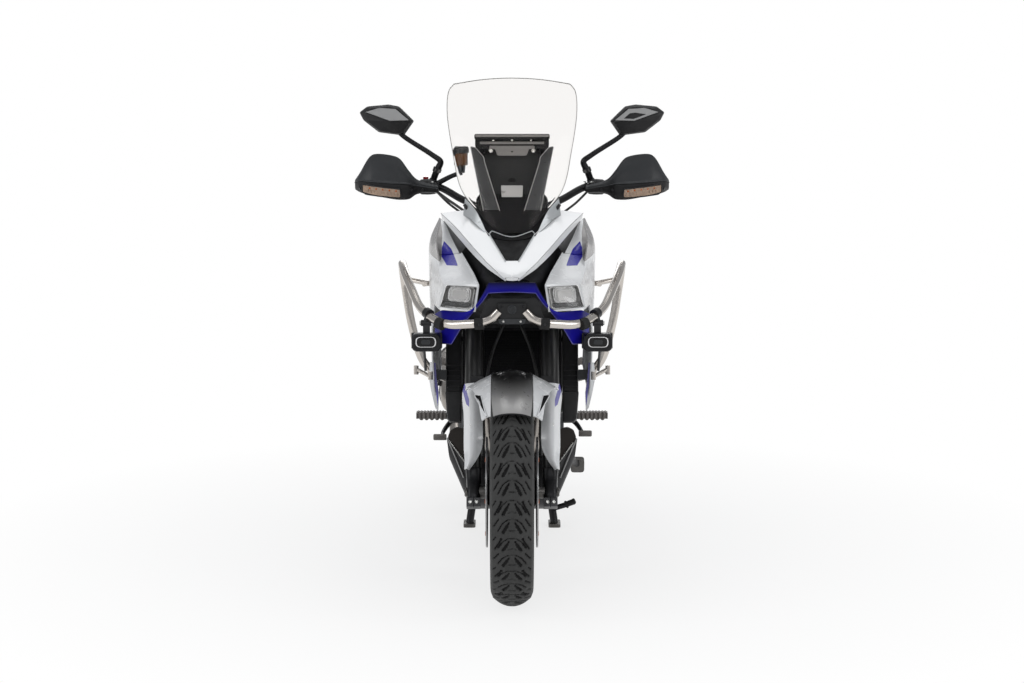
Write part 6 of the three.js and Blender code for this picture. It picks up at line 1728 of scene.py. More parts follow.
def chain_line(grow):
    """Loop round both sprockets."""
    r0, r1 = 36 + grow, 100 + grow
    _, y, z = REAR
    dy, dz = y - DRIVE_Y, z - DRIVE_Z
    slope, turn = math.atan2(dz, dy), math.asin((r1 - r0) / math.hypot(dy, dz))
    up, down = slope + np.pi / 2 + turn, slope - np.pi / 2 - turn
    loop = [(y + r1 * math.cos(a), z + r1 * math.sin(a)) for a in np.linspace(down, up, 60)]
    loop += [
        (DRIVE_Y + r0 * math.cos(a), DRIVE_Z + r0 * math.sin(a))
        for a in np.linspace(up, down + 2 * np.pi, 40)
    ]
    return np.array([*loop, loop[0]])


line = chain_line(6.5)
gone = np.concatenate([[0], np.cumsum(np.hypot(*np.diff(line, axis=0).T))])
links = 2 * round(gone[-1] / PITCH / 2)
spots = np.linspace(0, gone[-1], links, endpoint=False)
pins = np.stack([np.interp(spots, gone, line[:, 0]), np.interp(spots, gone, line[:, 1])], 1)
chain = []
for i, (a, b) in enumerate(zip(pins, np.roll(pins, -1, 0))):
    way = (b - a) / np.linalg.norm(b - a)
    over = np.array((-way[1], way[0]))
    outline = [
        a - way * 5.4, a - way * 3.6 + over * 5.2, a + over * 6.2, (a + b) / 2 + over * 4.4, b + over * 6.2,
        b + way * 3.6 + over * 5.2, b + way * 5.4
    ]
    outline += [
        b + way * 3.6 - over * 5.2, b - over * 6.2, (a + b) / 2 - over * 4.4, a - over * 6.2,
        a - way * 3.6 - over * 5.2
    ]
    spread = 6.2 if i % 2 else 4.2
    for side in (-1, 1):
        x0, x1 = sorted((CHAIN_X + side * spread, CHAIN_X + side * (spread + 1.7)))
        chain.append((loft([[(x, y, z) for y, z in outline] for x in (x0, x1)]), DARK_STEEL))
    chain.append((rod((CHAIN_X - 8, *a), (CHAIN_X + 8, *a), 2.6, 10), BOLT))
    chain.append((rod((CHAIN_X - 4.2, *a), (CHAIN_X + 4.2, *a), 4.8, 12), DARK_STEEL))
piece("chain_links", chain, replaces=["chain"], crease=30)

# ---------------- tank, seats and tail
def swept(stations, steps=8, count=64):
    """Closed body through stations of y, half width, low, high, squareness."""
    return loft([oval(*station, count) for station in stations], steps)


TANK = [
    (-322, 92, 930, 1012, 2.4), (-318, 100, 926, 1018, 2.4), (-280, 140, 904, 1050, 2.5),
    (-180, 172, 880, 1068, 2.6), (-70, 156, 868, 1036, 2.6), (30, 116, 856, 950, 2.6),
    (68, 97, 853, 904, 2.6), (72, 92, 856, 898, 2.6)
]


def banded(tilt, stripe, black):
    """Paint that ends in a black lower part under a thin blue stripe; heights in metres."""

    def paint(nodes, base):
        _, y, up = nodes.split()
        level = nodes.math("ADD", up, nodes.math("MULTIPLY", y, tilt))
        tone = nodes.mix(nodes.range(level, 1, 0, stripe, stripe + EDGE), base, STRIPE_BLUE)
        low = nodes.range(level, 1, 0, black, black + EDGE)
        return nodes.mix(low, tone, (0.014, 0.014, 0.015))

    return paint


TANK_PAINT = white_finish(
    "tank_paint", (0.16, 0.24), 0.01, paint=banded(0.22, 0.9215, 0.9135), Coat_Weight=0.5
)
spine = [
    [(u * half, y, z - 3 * u * u) for u in (1, 0.4, -0.4, -1)] for y, half, z in (
        (-296, 34, 1046), (-240, 44, 1066), (-180, 46, 1072), (-110, 42, 1058), (-60, 34, 1036),
        (-20, 26, 1008)
    )
]
tank = [
    (swept(TANK), TANK_PAINT), (slab(grid(spine, 6, 4)[::-1, ::-1], 6), BLACK),
    (turned([
        (0, 44), (4, 44), (6, 41), (6, 37), (4, 36), (7, 34), (9, 30), (9, 1)
    ], (0, -180, 1070), (0, 0.02, 1), 56), BLACK_METAL),
    (block((0, -180, 1080.5), (20, 44, 5)), BLACK_METAL),
    (turned([(0, 7), (2, 6.5)], (0, -168, 1082.5), UP, 20), BOLT)
]
tank += [bolt((40 * math.cos(a), -180 + 40 * math.sin(a), 1075.5), UP, 3, 2) for a in around(6, 0.4)]
tank += both([bolt((96, 20, 935), (0.75, 0.3, 0.6), 7, 4)])
piece("tank_body", tank, replaces=["fuel_tank"], bevel=0.8)


CLOTH_GRID = 6.0  # mm between the points of the cloth
PUFF = 12.0  # most that it moves, mm


def cushion(name, stations, node):
    """Stuffed pad: cloth over the CAD's form, blown up a little, with stitched seams on it."""
    rings = [oval(y, half - 3, low + 2, high - 3, 3.2, 56) for y, half, low, high in stations]
    made = piece(name, [(loft(rings, 6), SEAT)], body=None, crease=70)
    even = made.modifiers.new("even", "REMESH")
    even.mode = "VOXEL"
    even.voxel_size = CLOTH_GRID / 1000
    mesh = bpy.data.meshes.new_from_object(made.evaluated_get(bpy.context.evaluated_depsgraph_get()))
    made.modifiers.clear()
    made.data = mesh
    rest = np.array([v.co for v in mesh.vertices])
    cloth = made.modifiers.new("cloth", "CLOTH")
    cloth.settings.use_pressure = True
    cloth.settings.uniform_pressure_force = 4
    cloth.settings.effector_weights.gravity = 0
    for step in range(1, 21):
        scene.frame_set(step)
    puffed = made.evaluated_get(bpy.context.evaluated_depsgraph_get())
    after = np.array([v.co for v in puffed.data.vertices])
    made.modifiers.clear()
    scene.frame_set(1)
    move = after - rest
    far = np.linalg.norm(move, axis=1, keepdims=True)
    low = min(row[2] for row in stations) / 1000
    new = rest + move * np.minimum(1, PUFF / 1000 / np.maximum(far, 1e-9))
    top = np.interp(
        new[:, 1], [row[0] / 1000 for row in stations], [row[3] / 1000 for row in stations]
    ) + 0.006
    new[:, 2] = np.clip(new[:, 2], low, top)
    mesh.vertices.foreach_set("co", new.astype(np.float32).ravel())
    mesh.materials.clear()
    mesh.materials.append(SEAT)
    mesh.polygons.foreach_set("use_smooth", [True] * len(mesh.polygons))
    fine = made.modifiers.new("fine", "SUBSURF")
    fine.levels = fine.render_levels = 1
    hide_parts(node)
    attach(made, "chassis")
    bpy.context.view_layer.update()
    seams = []
    for turn in (0.62, 0.98):
        for side in (1, -1):
            line = []
            for y, half, low, high in curve(stations, 8)[4:-4]:
                middle, deep = (low + high) / 2, (high - low) / 2
                aim = (
                    side * (half - 3) * bend(math.cos(turn), 3.2), y,
                    middle + deep * bend(math.sin(turn), 3.2)
                )
                _, place, normal, _ = made.closest_point_on_mesh(Vector(aim) / 1000)
                line.append(np.array(place + normal * 0.0004) * 1000)
            seams.append((tube(line, 1.1, 8, 2), STITCH if turn < 0.9 else SEAT))
    piece(name + "_seams", seams)


RIDER_SEAT = [
    (60, 66, 786, 850), (110, 96, 784, 842), (220, 128, 786, 830), (330, 146, 800, 840),
    (386, 140, 812, 868)
]
PILLION_SEAT = [(392, 128, 848, 902), (480, 132, 852, 906), (620, 116, 862, 914), (690, 96, 872, 918)]
cushion("rider_cushion", RIDER_SEAT, "rider_seat")
cushion("pillion_cushion", PILLION_SEAT, "pillion_seat")
for name, stations in (("rider_seat_base", RIDER_SEAT), ("pillion_seat_base", PILLION_SEAT)):
    piece(name, [
        (loft([oval(y, half - 6, low + 1, low + 16, 4, 40) for y, half, low, high in stations], 6), BLACK)
    ], bevel=0.6)

TAIL = [
    (400, 128, 778, 848), (480, 126, 787, 854), (560, 122, 796, 860), (690, 104, 822, 876),
    (722, 102, 826, 908), (800, 86, 842, 910), (880, 66, 858, 910)
]
arch = []
for y, half, low, high in TAIL:
    ring = oval(y, half + 11.6, low, high + 1.6, 3, 72)
    arch.append(ring[[*range(66, 72), *range(0, 42)]])
TAIL_PAINT = white_finish(
    "tail_paint", (0.16, 0.24), 0.01, paint=banded(-0.16, 0.7455, 0.7335), Coat_Weight=0.5
)
tail_rows = np.array([curve([row[c] for row in arch], 5) for c in range(48)]).transpose(1, 0, 2)
piece(
    "tail_shell", [(surface(tail_rows), TAIL_PAINT)], replaces=["tail_cowl"], wall=4, inside=(0, 640, 830),
    bevel=0.8, crease=30
)
lamp_body = [
    (loft(
        [oval(880.3, 52, 872, 902, 3, 48), oval(894, 51, 873, 901, 3, 48), oval(906, 44, 875, 898, 3, 48)]
    ), RED),
    (loft([oval(880.3, 55, 869, 905, 3, 48), oval(886, 54, 870, 904, 3, 48)]), BLACK)
]
lamp_body += [(block((x, 905.5, 887), (5, 3, 9)), RED) for x in range(-36, 37, 9)]
piece("tail_lamp", lamp_body, replaces=["tail_light"], bevel=0.8)

# side covers
COVER_ROWS = [
    (420, 144, 806, 152, 144, 772), (330, 156, 796, 164, 158, 716), (210, 160, 784, 174, 172, 660),
    (110, 158, 790, 180, 180, 700)
]
cover_grid = grid(
    [[(x0, y, z0), (x1, y, (z0 + z2) / 2), (x2, y, z2)] for y, x0, z0, x1, x2, z2 in COVER_ROWS], 8, 6
)
cover = [
    (slab(cover_grid[:, ::-1][::-1, ::-1], 4), DARK),
    (tube(cover_grid[:, -1], 2, 10, 1), BLACK),
    bolt((171, 160, 744), LEFT, 6, 4),
    bolt((160, 330, 776), (1, 0, 0.1), 6, 4),
]
cover += [
    (tube(
        [(178 - k * 3, 150 + k * 6, 736 - k * 9), (177 - k * 3, 220 + k * 6, 716 - k * 9)], 1.6, 8, 1
    ), BLACK)
    for k in range(3)
]
pair("side_cover_panel", cover, nodes=["side_cover"], bevel=0.8)

# rack and plate holder
deck = rounded([(-86, 690), (86, 690), (96, 760), (82, 920), (-82, 920), (-96, 760)], 16, 5)
slots = [
    rounded([(x - 11, y0), (x + 11, y0), (x + 11, y1), (x - 11, y1)], 10, 5) for x, y0, y1 in (
        (-46, 726, 812), (0, 716, 812), (46, 726, 812), (-40, 832, 896), (0, 832, 900), (40, 832, 896)
    )
]
rack = [(shifted(flat([deck, *slots], 8, 1.5), (0, 0, 950)), BLACK_METAL)]
for side in (1, -1):
    rack.append((tube([
        (side * x, y, z)
        for x, y, z in ((146, 430, 862), (152, 470, 906), (146, 600, 930), (116, 760, 940), (60, 880, 944))
    ], 11, 24, 8), BLACK_METAL))
    rack += [
        (rod((side * 34, y, 955), (side * 34, y, 906 if y > 800 else 910), 9), BLACK_METAL)
        for y in (760, 850)
    ]
    rack += [bolt((side * 70, y, 958), UP, 5, 2.1) for y in (712, 880)]
piece("rack_set", rack, replaces=["luggage_rack"], bevel=0.8)
arm_rings = [
    oval(y, half, low, high, 3, 40) for y, half, low, high in (
        (842, 42, 822, 850), (880, 42, 806, 836), (930, 40, 776, 806), (1030, 36, 700, 730),
        (1078, 34, 662, 704)
    )
]
plate = rounded([(-90, -100), (90, -100), (90, 100), (-90, 100)], 10, 4)
PLATE_TURN = Matrix.Translation((0, 1094, 652)) @ Matrix.Rotation(0.2, 4, "X") @ Matrix(
    ((1, 0, 0, 0), (0, 0, -1, 0), (0, 1, 0, 0), (0, 0, 0, 1))
)
PLATE_WHITE = finish(
    "plate_white", (0.74, 0.75, 0.76), (0.3, 0.42), shade=0.95, grain=("noise", 1400, 0.02)
)
holder = [
    (loft(arm_rings, 6), BLACK),
    (moved(shifted(flat([plate], 4, 0.8), (0, 0, -2)), PLATE_TURN), PLATE_WHITE),
    (moved(shifted(
        flat([rounded([(-94, -50), (94, -50), (94, 60), (-94, 60)], 12, 4)], 3, 0.6), (0, 0, 2.2)
    ), PLATE_TURN), BLACK),
    (block((0, 1070, 752), (70, 30, 14), -0.4), BLACK),
    (block((0, 1074, 744), (46, 16, 3), -0.4), LENS)
]
holder += [
    (moved(turned([(0, 4), (2, 3.4)], (x, 78, -2.2), (0, 0, -1), 20), PLATE_TURN), BOLT) for x in (-62, 62)
]
for side in (1, -1):
    holder += [
        (tube(
            [(side * 20, 1010, 746), (side * 70, 1013, 752), (side * 124, 1016, 752)], [9, 7, 7], 20, 6
        ), BLACK),
        (turned(
            [(0, 8), (4, 16), (14, 17), (44, 14), (52, 8), (54, 1)], (side * 120, 1016, 752),
            (side, 0.03, 0), 36
        ), BLACK),
        (turned([(0, 9), (3, 14), (30, 12), (38, 6)], (side * 128, 1022, 752), (side, 0.03, 0), 32), AMBER)
    ]
piece("plate_holder_set", holder, replaces=["plate_holder"], bevel=0.7)

# ---------------- frame
head_point = lambda s, u=0.0: tuple(lean((0, u, s)))
head = head_point(1024.5)
low_head = head_point(958.6)
frame_side = [
    (tube([
        (20, head[1] + 14, head[2]), (96, head[1] + 90, head[2] - 46), (160, -190, 842), (166, 20, 690),
        (148, 140, 510), (147, 170, 415)
    ], 19, 28, 8), BLACK_METAL),
    (tube([
        (16, low_head[1] + 16, low_head[2]), (88, -393, 806), (145, -340, 700), (149, -240, 560)
    ], 16, 24, 8), BLACK_METAL),
    (rod((162, -130, 792), (149, -245, 570), 12), BLACK_METAL),
    (rod((125.3, -220, 566), (169, -220, 566), 14), BLACK_METAL),
    (side_plate([
        rounded([(128, 455), (204, 455), (216, 385), (271, 293), (251, 259), (205, 273), (124, 345)], 14)
    ], 127, 141, 2), BLACK_METAL),
    (turned([(0, 20), (5, 20), (7, 17), (7, 9), (2, 8)], (141, 170, 395), LEFT, 36), DARK_STEEL),
    (turned([(0, 14), (5, 14), (6, 12)], (169, -220, 566), LEFT, 6), BOLT),
    bolt((141, 148, 436), LEFT, 6, 5),
    bolt((141, 190, 436), LEFT, 6, 5),
    (tube([(160, -190, 842), (150, -60, 800), (164, -10, 712)], 6, 14, 8), BLACK_METAL),
    (rod((40, -190, 842), (40, -190, 878), 12), BLACK_METAL)
]
frame_shapes = both(frame_side)
frame_shapes += [
    (turned(
        [(0, 34), (10, 36), (20, 32), (150, 32), (160, 36), (170, 34), (170, 18), (0, 18), (0, 34)],
        head_point(944.6), (0, math.sin(RAKE), math.cos(RAKE)), 44
    ), BLACK_METAL),
    (rod((-158, -190, 842), (158, -190, 842), 11), BLACK_METAL),
    (rod((-162, 26, 704), (162, 26, 704), 11), BLACK_METAL),
    (rod((-147, 170, 395), (147, 170, 395), 12), DARK_STEEL),
    (moved(block((0, -98, 1030), (48, 140, 56)), LEAN), BLACK_METAL)
]
STAND_AXIS = Vector((-0.8823, 0.0303, -0.4698)).normalized()
on_axis = lambda d: tuple(Vector((152, 62, 300)) + STAND_AXIS * d)
frame_shapes += [
    (tube([(134, 165, 345), (136, 124, 326), on_axis(24)], 10, 20, 6), BLACK_METAL),
    (rod(on_axis(14.4), on_axis(28), 16), BLACK_METAL)
]
piece("frame_tubes", frame_shapes, replaces=["main_frame"], bevel=0.7)
rails = [
    (tube([
        (164, -22, 718), (156, -10, 722), (134, 130, 744), (116, 340, 770), (100, 580, 800), (80, 840, 842)
    ], 12, 24, 8), BLACK_METAL),
    (rod((150, 84, 584), (105, 500, 790), 11), BLACK_METAL),
    (tube([(116, 340, 740), (150, 410, 620), (160, 470, 500)], 9, 20, 8), BLACK_METAL),
    (tube([(100, 590, 800), (140, 560, 680), (160, 480, 506)], 9, 20, 8), BLACK_METAL),
    (rod((152, 470, 500), (176, 473, 504), 13), BLACK_METAL),
    (knurled((172, 472, 503), (0.99, 0.14, 0.19), 74, 14, 3.6, 1.6), PEG_RUBBER),
    (rod((126, 150, 747), (122, 150, 786), 10), BLACK_METAL),
    (rod((114, 340, 770), (110, 340, 802), 10), BLACK_METAL),
    (rod((98, 560, 798), (128, 560, 805), 10), BLACK_METAL),
    (rod((128, 160, 747), (167, 160, 744), 7), BLACK_METAL),
    (rod((116, 330, 769), (156, 330, 765), 7), BLACK_METAL),
    bolt((170, 470, 500), (0.9, 0.1, -0.3), 6, 5)
]
cross = [
    (rod((-w, y, z), (w, y, z), 11), BLACK_METAL)
    for w, y, z in ((128, 150, 747), (108, 420, 780), (80, 835, 842))
]
boxes = [
    (block((0, 470, 800), (150, 130, 44), 0.08), BLACK),
    (block((0, 640, 822), (120, 150, 30), 0.14), BLACK)
]
piece("subframe_tubes", [*both(rails), *cross, *boxes], replaces=["subframe"], bevel=0.7)

# ---------------- engine
CYLINDER_LEAN = 0.2  # forwards, radians
engine = [
    (side_plate([rounded([
        (-318, 352), (-300, 268), (70, 246), (112, 290), (112, 470), (40, 530), (-40, 548), (-250, 530)
    ], 24)], -119, 70, 6), ENGINE),
    (side_plate([rounded(
        [(-318, 352), (-300, 268), (20, 249), (30, 350), (30, 470), (0, 538), (-40, 548), (-250, 530)], 24
    )], 60, 119, 6), ENGINE),
    (side_plate(
        [rounded([(-312, 412), (-40, 412), (-40, 420), (-312, 420)], 3)], -121.5, 121.5, 1
    ), BLACK_METAL)
]
up = np.array((0, -math.sin(CYLINDER_LEAN), math.cos(CYLINDER_LEAN)))
base = np.array((0, -150, 620.0))
engine.append((block(tuple(base), (236, 168, 196), CYLINDER_LEAN), ENGINE))
for k in range(9):
    middle = base + up * (-82 + k * 17)
    engine.append((block(tuple(middle), (250, 180, 5), CYLINDER_LEAN), ENGINE))
head_at = base + up * 124
engine += [
    (block(tuple(head_at), (258, 196, 62), CYLINDER_LEAN), ENGINE),
    (block(tuple(head_at + up * 36), (248, 186, 22), CYLINDER_LEAN, 0.94), BLACK_METAL),
    (block(tuple(base + up * 96), (252, 184, 4), CYLINDER_LEAN), DARK_STEEL),
]
for x in (-104, -36, 36, 104):
    for v in (-84, 84):
        engine.append(bolt(tuple(
            head_at + up * 46 + np.array((x, v * math.cos(CYLINDER_LEAN), v * math.sin(CYLINDER_LEAN)))
        ), tuple(up), 6, 5))
engine += [
    (rod(tuple(head_at + up * 40 + (x, 0, 0)), tuple(head_at + up * 54 + (x, 0, 0)), 17, 24), BLACK)
    for x in (-70, 0, 70)
]


def engine_cover(x, y, z, radius, out, count):
    """Round cover with its bolts, standing out from a side of the crankcase."""
    away = math.copysign(1, out)
    deep = abs(out)
    profile = [
        (-4, radius), (4, radius), (7, radius - 3), (7, radius - 9), (deep * 0.7, radius - 13),
        (deep - 3, radius - 22), (deep, radius - 28), (deep, radius * 0.34), (deep - 2, radius * 0.3),
        (deep - 2, 1)
    ]
    shapes = [(turned(profile, (x, y, z), (away, 0, 0), 72), ENGINE)]
    for a in around(count, 0.2):
        place = (x + away * 6, y + (radius - 5) * math.cos(a), z + (radius - 5) * math.sin(a))
        shapes += [
            (turned([(-6, 7), (1, 7)], place, (away, 0, 0), 20), ENGINE),
            bolt(place, (away, 0, 0), 4.5, 4)
        ]
    shapes.append((turned([
        (deep - 3, radius * 0.24), (deep + 0.5, radius * 0.24), (deep + 0.5, 2)
    ], (x, y, z), (away, 0, 0), 6), DARK_STEEL))
    return shapes


for spec in (
    (118, -170, 384, 86, 44, 9), (118, 40, 404, 62, 20, 6), (-118, -20, 376, 96, -52, 10),
    (-118, -210, 400, 56, -30, 6)
):
    engine += engine_cover(*spec)
engine += [
    (turned(
        [(0, 32), (4, 34), (50, 34), (58, 30), (62, 20), (62, 6)], (-52, -306, 330), (0, -1, -0.06), 48
    ), BLACK_METAL),
    (rod((70, 78, 405), (97, 78, 405), 34, 40), DARK_STEEL),
    (block((132.9, -280, 268), (36, 24, 9)), ENGINE),
    (block((-132.9, -280, 268), (36, 24, 9)), ENGINE),
    (turned([(0, 13), (6, 13), (8, 11)], (60, -120, 251), (0, 0, -1), 6), BOLT),
    (tube([(-96, -60, 546), (-110, -70, 600), (-120, -62, 660), (-96, -40, 706)], 8, 18, 8), HOSE),
    (tube([(90, -70, 548), (118, -64, 590), (112, -58, 640)], 6, 16, 8), HOSE)
]
engine.append((block((0, -20, 700), (216, 70, 60), CYLINDER_LEAN), BLACK))
piece("engine_set", engine, replaces=["engine"], bevel=1.0)

# radiator
TILT = Matrix.Translation((0, -425, 652)) @ Matrix.Rotation(-0.29, 4, "X")
core = [(block((0, 0, 0), (298, 22, 190)), FINS)]
core += [(block((0, -12.2, z), (296, 1.4, 2)), FINS) for z in range(-88, 92, 8)]
core += [(block((x, -11.8, 0), (1.2, 1.2, 188)), FINS) for x in range(-144, 146, 6)]
core += [(block((0, 0, z), (300, 28, 8)), BLACK_METAL) for z in (-95, 95)]
core += both([(loft(
    [rounded([(152, -16, z), (198, -12, z), (201, 18, z), (152, 20, z)], 8, 4) for z in (-94, -90, 90, 94)]
), BLACK)])
core += both([(loft([
    rounded([(152, -18, z), (200 - k, -16, z), (202 - k, 26, z), (152, 28, z)], 5, 3)
    for z, k in ((-186, 14), (-176, 6), (-96, 0))
]), BLACK)])
core += both([(block((176, -17.6, z), (44, 2.4, 3)), BLACK) for z in range(-80, 0, 16)])
core += [
    (turned(
        [(10, 96), (18, 96), (36, 88), (36, 80), (20, 80), (10, 84), (10, 96)], (0, 0, 0), (0, 1, 0), 64
    ), BLACK),
    (turned([(14, 24), (34, 24), (37, 20)], (0, 0, 0), (0, 1, 0), 36), BLACK)
]
for i in range(7):
    blade_shape = loft([
        [(-9, 16, 22), (9, 24, 22), (9, 26, 22), (-9, 18, 22)],
        [(-16, 16, 77), (18, 28, 77), (18, 30, 77), (-16, 18, 77)]
    ], 1)
    core.append((moved(blade_shape, Matrix.Rotation(2 * np.pi * i / 7, 4, "Y")), BLACK))
core = each(core, moved, TILT)
core += both([(tube([(160, -408, 712), (152, -376, 709), (146, -356, 706)], 8, 18, 4), BLACK_METAL)])
core += [
    (tube([(176, -400, 566), (168, -360, 520), (124, -330, 470), (100, -318, 440)], 15, 24, 8), HOSE),
    (tube([(-176, -436, 744), (-160, -390, 764), (-120, -330, 748), (-96, -286, 730)], 15, 24, 8), HOSE),
    (turned([(0, 18), (10, 18)], (176, -404, 572), (0.1, -0.6, 0.8), 30), BOLT),
]
piece("radiator_set", core, replaces=["radiator"], bevel=0.6)

# exhaust
exhaust = []
for x in (-82, 0, 82):
    exhaust.append((tube([
        (x, -244, 640), (x, -318, 620), (x * 0.95, -362, 520), (x * 0.8, -364, 380), (x * 0.45, -318, 256),
        (x * 0.2, -200, 216)
    ], 19, 28, 10), EXHAUST))
    exhaust.append((turned([(0, 29), (7, 29)], (x, -246, 640), (0, -1, -0.12), 32), DARK_STEEL))
    exhaust += [bolt((x + dx, -253, 640), (0, -1, -0.12), 6, 6) for dx in (-24, 24)]
exhaust += [
    (swept([
        (-250, 70, 192, 238, 2.4), (-236, 74, 189, 241, 2.4), (-160, 52, 184, 244, 2.4),
        (-40, 40, 180, 238, 2.4), (-30, 34, 184, 234, 2.4)
    ], 6, 48), EXHAUST),
    (tube([
        (0, -226, 216), (-20, -60, 208), (-110, 70, 208), (-172, 170, 262), (-186, 290, 344),
        (-196, 400, 396)
    ], 26, 36, 10), EXHAUST),
    (turned([(0, 30), (3, 32), (22, 32), (25, 30)], (-189, 330, 363), (-0.08, 0.86, 0.4), 40), DARK_STEEL)
]
SILENCER = [
    (372, -196, 392, 30, 32), (392, -198, 400, 42, 50), (420, -200, 412, 46, 58),
    (560, -206, 442, 47.5, 60), (700, -212, 474, 48, 60), (728, -213.4, 481, 44, 54),
    (748, -214, 486, 34, 42)
]
exhaust.append(
    (loft([oval(y, hw, z - hh, z + hh, 2.4, 56, x) for y, x, z, hw, hh in SILENCER], 5), EXHAUST)
)
for y, x, z in ((440, -201, 416.5), (690, -211.6, 471.6)):
    exhaust.append((loft(
        [oval(y + d, 49.5, z - 61.5 + d * 0.22, z + 61.5 + d * 0.22, 2.4, 56, x) for d in (0, 16)]
    ), BLACK_METAL))
exhaust += [
    (turned(
        [(0, 22), (26, 22), (28, 21), (28, 17), (2, 17)], (-214, 742, 486), (0, 0.98, 0.21), 40
    ), DARK_STEEL),
    (loft([
        oval(y, 30, z - 12, z + 12, 2.6, 32, x)
        for y, x, z in ((440, -232, 446), (560, -238, 472), (650, -241, 492))
    ], 4), BLACK_METAL),
    (tube([(-196, 560, 500), (-176, 552, 540), (-158, 540, 580)], 7, 16, 6), BLACK_METAL),
    bolt((-250, 470, 453), (-1, 0, 0), 5, 4),
    bolt((-252, 620, 485), (-1, 0, 0), 5, 4)
]
piece("exhaust_set", exhaust, replaces=["exhaust"], bevel=0.8)

# ---------------- swingarm, shock, rear brake, hugger
def arm_ring(y, z, half_x, half_z, x=111, square=4, count=36):
    """Rounded ring across the swingarm."""
    cos, sin = squared(count, square)
    return np.stack([x + half_x * cos, np.full(count, float(y)), z + half_z * sin], 1)


SWING = finish(
    "swingarm_alloy", (0.30, 0.31, 0.32), (0.3, 0.45), 0.85, shade=0.85, grain=("noise", 420, 0.06),
    wear=0.3
)
arm = [
    (loft([
        arm_ring(148, 395, 11, 24), arm_ring(210, 393, 12, 34), arm_ring(360, 379, 12, 32, 113),
        arm_ring(520, 358, 12, 26, 115), arm_ring(679, 339, 12, 22, 116), arm_ring(778, 339, 11, 21, 116),
        arm_ring(785, 339, 9.5, 18, 116)
    ], 5), SWING),
    (side_plate(
        [rounded([(700, 328), (778, 328), (778, 350), (700, 350)], 10)], 126, 129, 0.8
    ), DARK_STEEL),
    (rod((116, 780, 339), (116, 800, 339), 4), BOLT),
    (turned([(0, 7), (6, 7)], (116, 788, 339), (0, 1, 0), 6), BOLT)
]
swing = both(arm)
swing += [
    (turned([(0, 24), (222, 24)], (-111, 170, 395), LEFT, 40), SWING),
    (loft(
        [arm_ring(y, 389, 108, h, 0, 8, 40) for y, h in ((295, 22), (300, 27), (340, 27), (346, 22))]
    ), SWING),
    (block((0, 316, 420), (26, 34, 66)), SWING),
    (rod((-137, 739, 339), (137, 739, 339), 11), DARK_STEEL),
    (turned([(0, 17), (8, 17), (10, 14), (10, 7), (16, 7), (16, 2)], (129, 739, 339), LEFT, 6), DARK_STEEL),
    (turned([(0, 15), (7, 15), (7, 8), (3, 7)], (-129, 739, 339), (-1, 0, 0), 32), DARK_STEEL),
    (rod((-103, 739, 339), (-80.8, 739, 339), 17), DARK_STEEL),
    (rod((97.3, 739, 339), (103, 739, 339), 17), DARK_STEEL),
    (loft([
        [(84, y, z), (108, y, z), (108, y, z + 3), (84, y, z + 3)]
        for y, z in ((230, 462), (420, 458), (600, 462), (700, 464))
    ], 4), BLACK),
    bolt((126, 230, 396), LEFT, 5, 4)
]
piece("swingarm_set", swing, replaces=["swingarm"], bevel=0.8)
LOW, HIGH = np.array((0, 316.0, 469)), np.array((0, 26.0, 677.7))  # shock's ends
shock_way = (HIGH - LOW) / np.linalg.norm(HIGH - LOW)
shock_long = float(np.linalg.norm(HIGH - LOW))
across_a = np.array((1.0, 0, 0))
across_b = np.cross(shock_way, across_a)
coil = []
for t in np.linspace(0, 1, 260):
    a = t * 2 * np.pi * 8
    coil.append(
        LOW + shock_way * shock_long * (0.13 + 0.5 * t)
        + 33 * (across_a * math.cos(a) + across_b * math.sin(a))
    )
shock = [
    (tube(coil, 5.6, 12, 1), BLUE),
    (turned([(0, 15), (34, 15)], LOW - (17, 0, 0), LEFT, 36), DARK_STEEL),
    (turned([(0, 15), (34, 15)], HIGH - (17, 0, 0), LEFT, 36), DARK_STEEL),
    (turned([
        (12, 12), (30, 22), (34, 40), (40, 40), (42, 24), (200, 24), (shock_long * 0.64, 24),
        (shock_long * 0.64, 40), (shock_long * 0.68, 40), (shock_long * 0.68, 28), (shock_long * 0.9, 28),
        (shock_long * 0.92, 14), (shock_long - 10, 12)
    ], LOW, shock_way, 44), BLACK_METAL)
]
for k in range(5):
    shock.append((turned(
        [(0, 30), (5, 30)], LOW + shock_way * shock_long * (0.7 + 0.035 * k), shock_way, 40
    ), BLACK_METAL))
piece("shock_set", shock, replaces=["rear_shock"], crease=35)
rear_caliper = caliper(-78, -56, -102, 128, 48, 84, math.radians(50), REAR)
rear_caliper += [
    (side_plate(
        [rounded([(632, 348), (694, 348), (694, 410), (632, 410)], 12)], -103.2, -97.6, 1
    ), DARK_STEEL),
    bolt((-97.6, 650, 366), LEFT, 5, 3)
]
piece("rear_caliper_set", rear_caliper, replaces=["rear_brake_caliper"], bevel=0.7)
hugger_rows = []
for angle in np.linspace(98, 12, 30):
    a = math.radians(angle)
    hugger_rows.append([
        (
            84 * u, 739 - (343 - 40 * abs(u) ** 2.4) * math.sin(a),
            339 + (343 - 40 * abs(u) ** 2.4) * math.cos(a)
        )
        for u in np.linspace(1, -1, 17)
    ])
hugger_grid = np.array(hugger_rows)
hugger = [
    (slab(hugger_grid, 3.5), BLACK),
    (tube(hugger_grid[-1], 2.4, 10, 1), BLACK),
    (block((0, 377, 387), (40, 50, 22)), BLACK)
]
hugger += both([bolt((60, 376, 390), (0.5, -0.8, 0.2), 5, 4)])
piece("hugger_shell", hugger, replaces=["rear_hugger"], bevel=0.7)

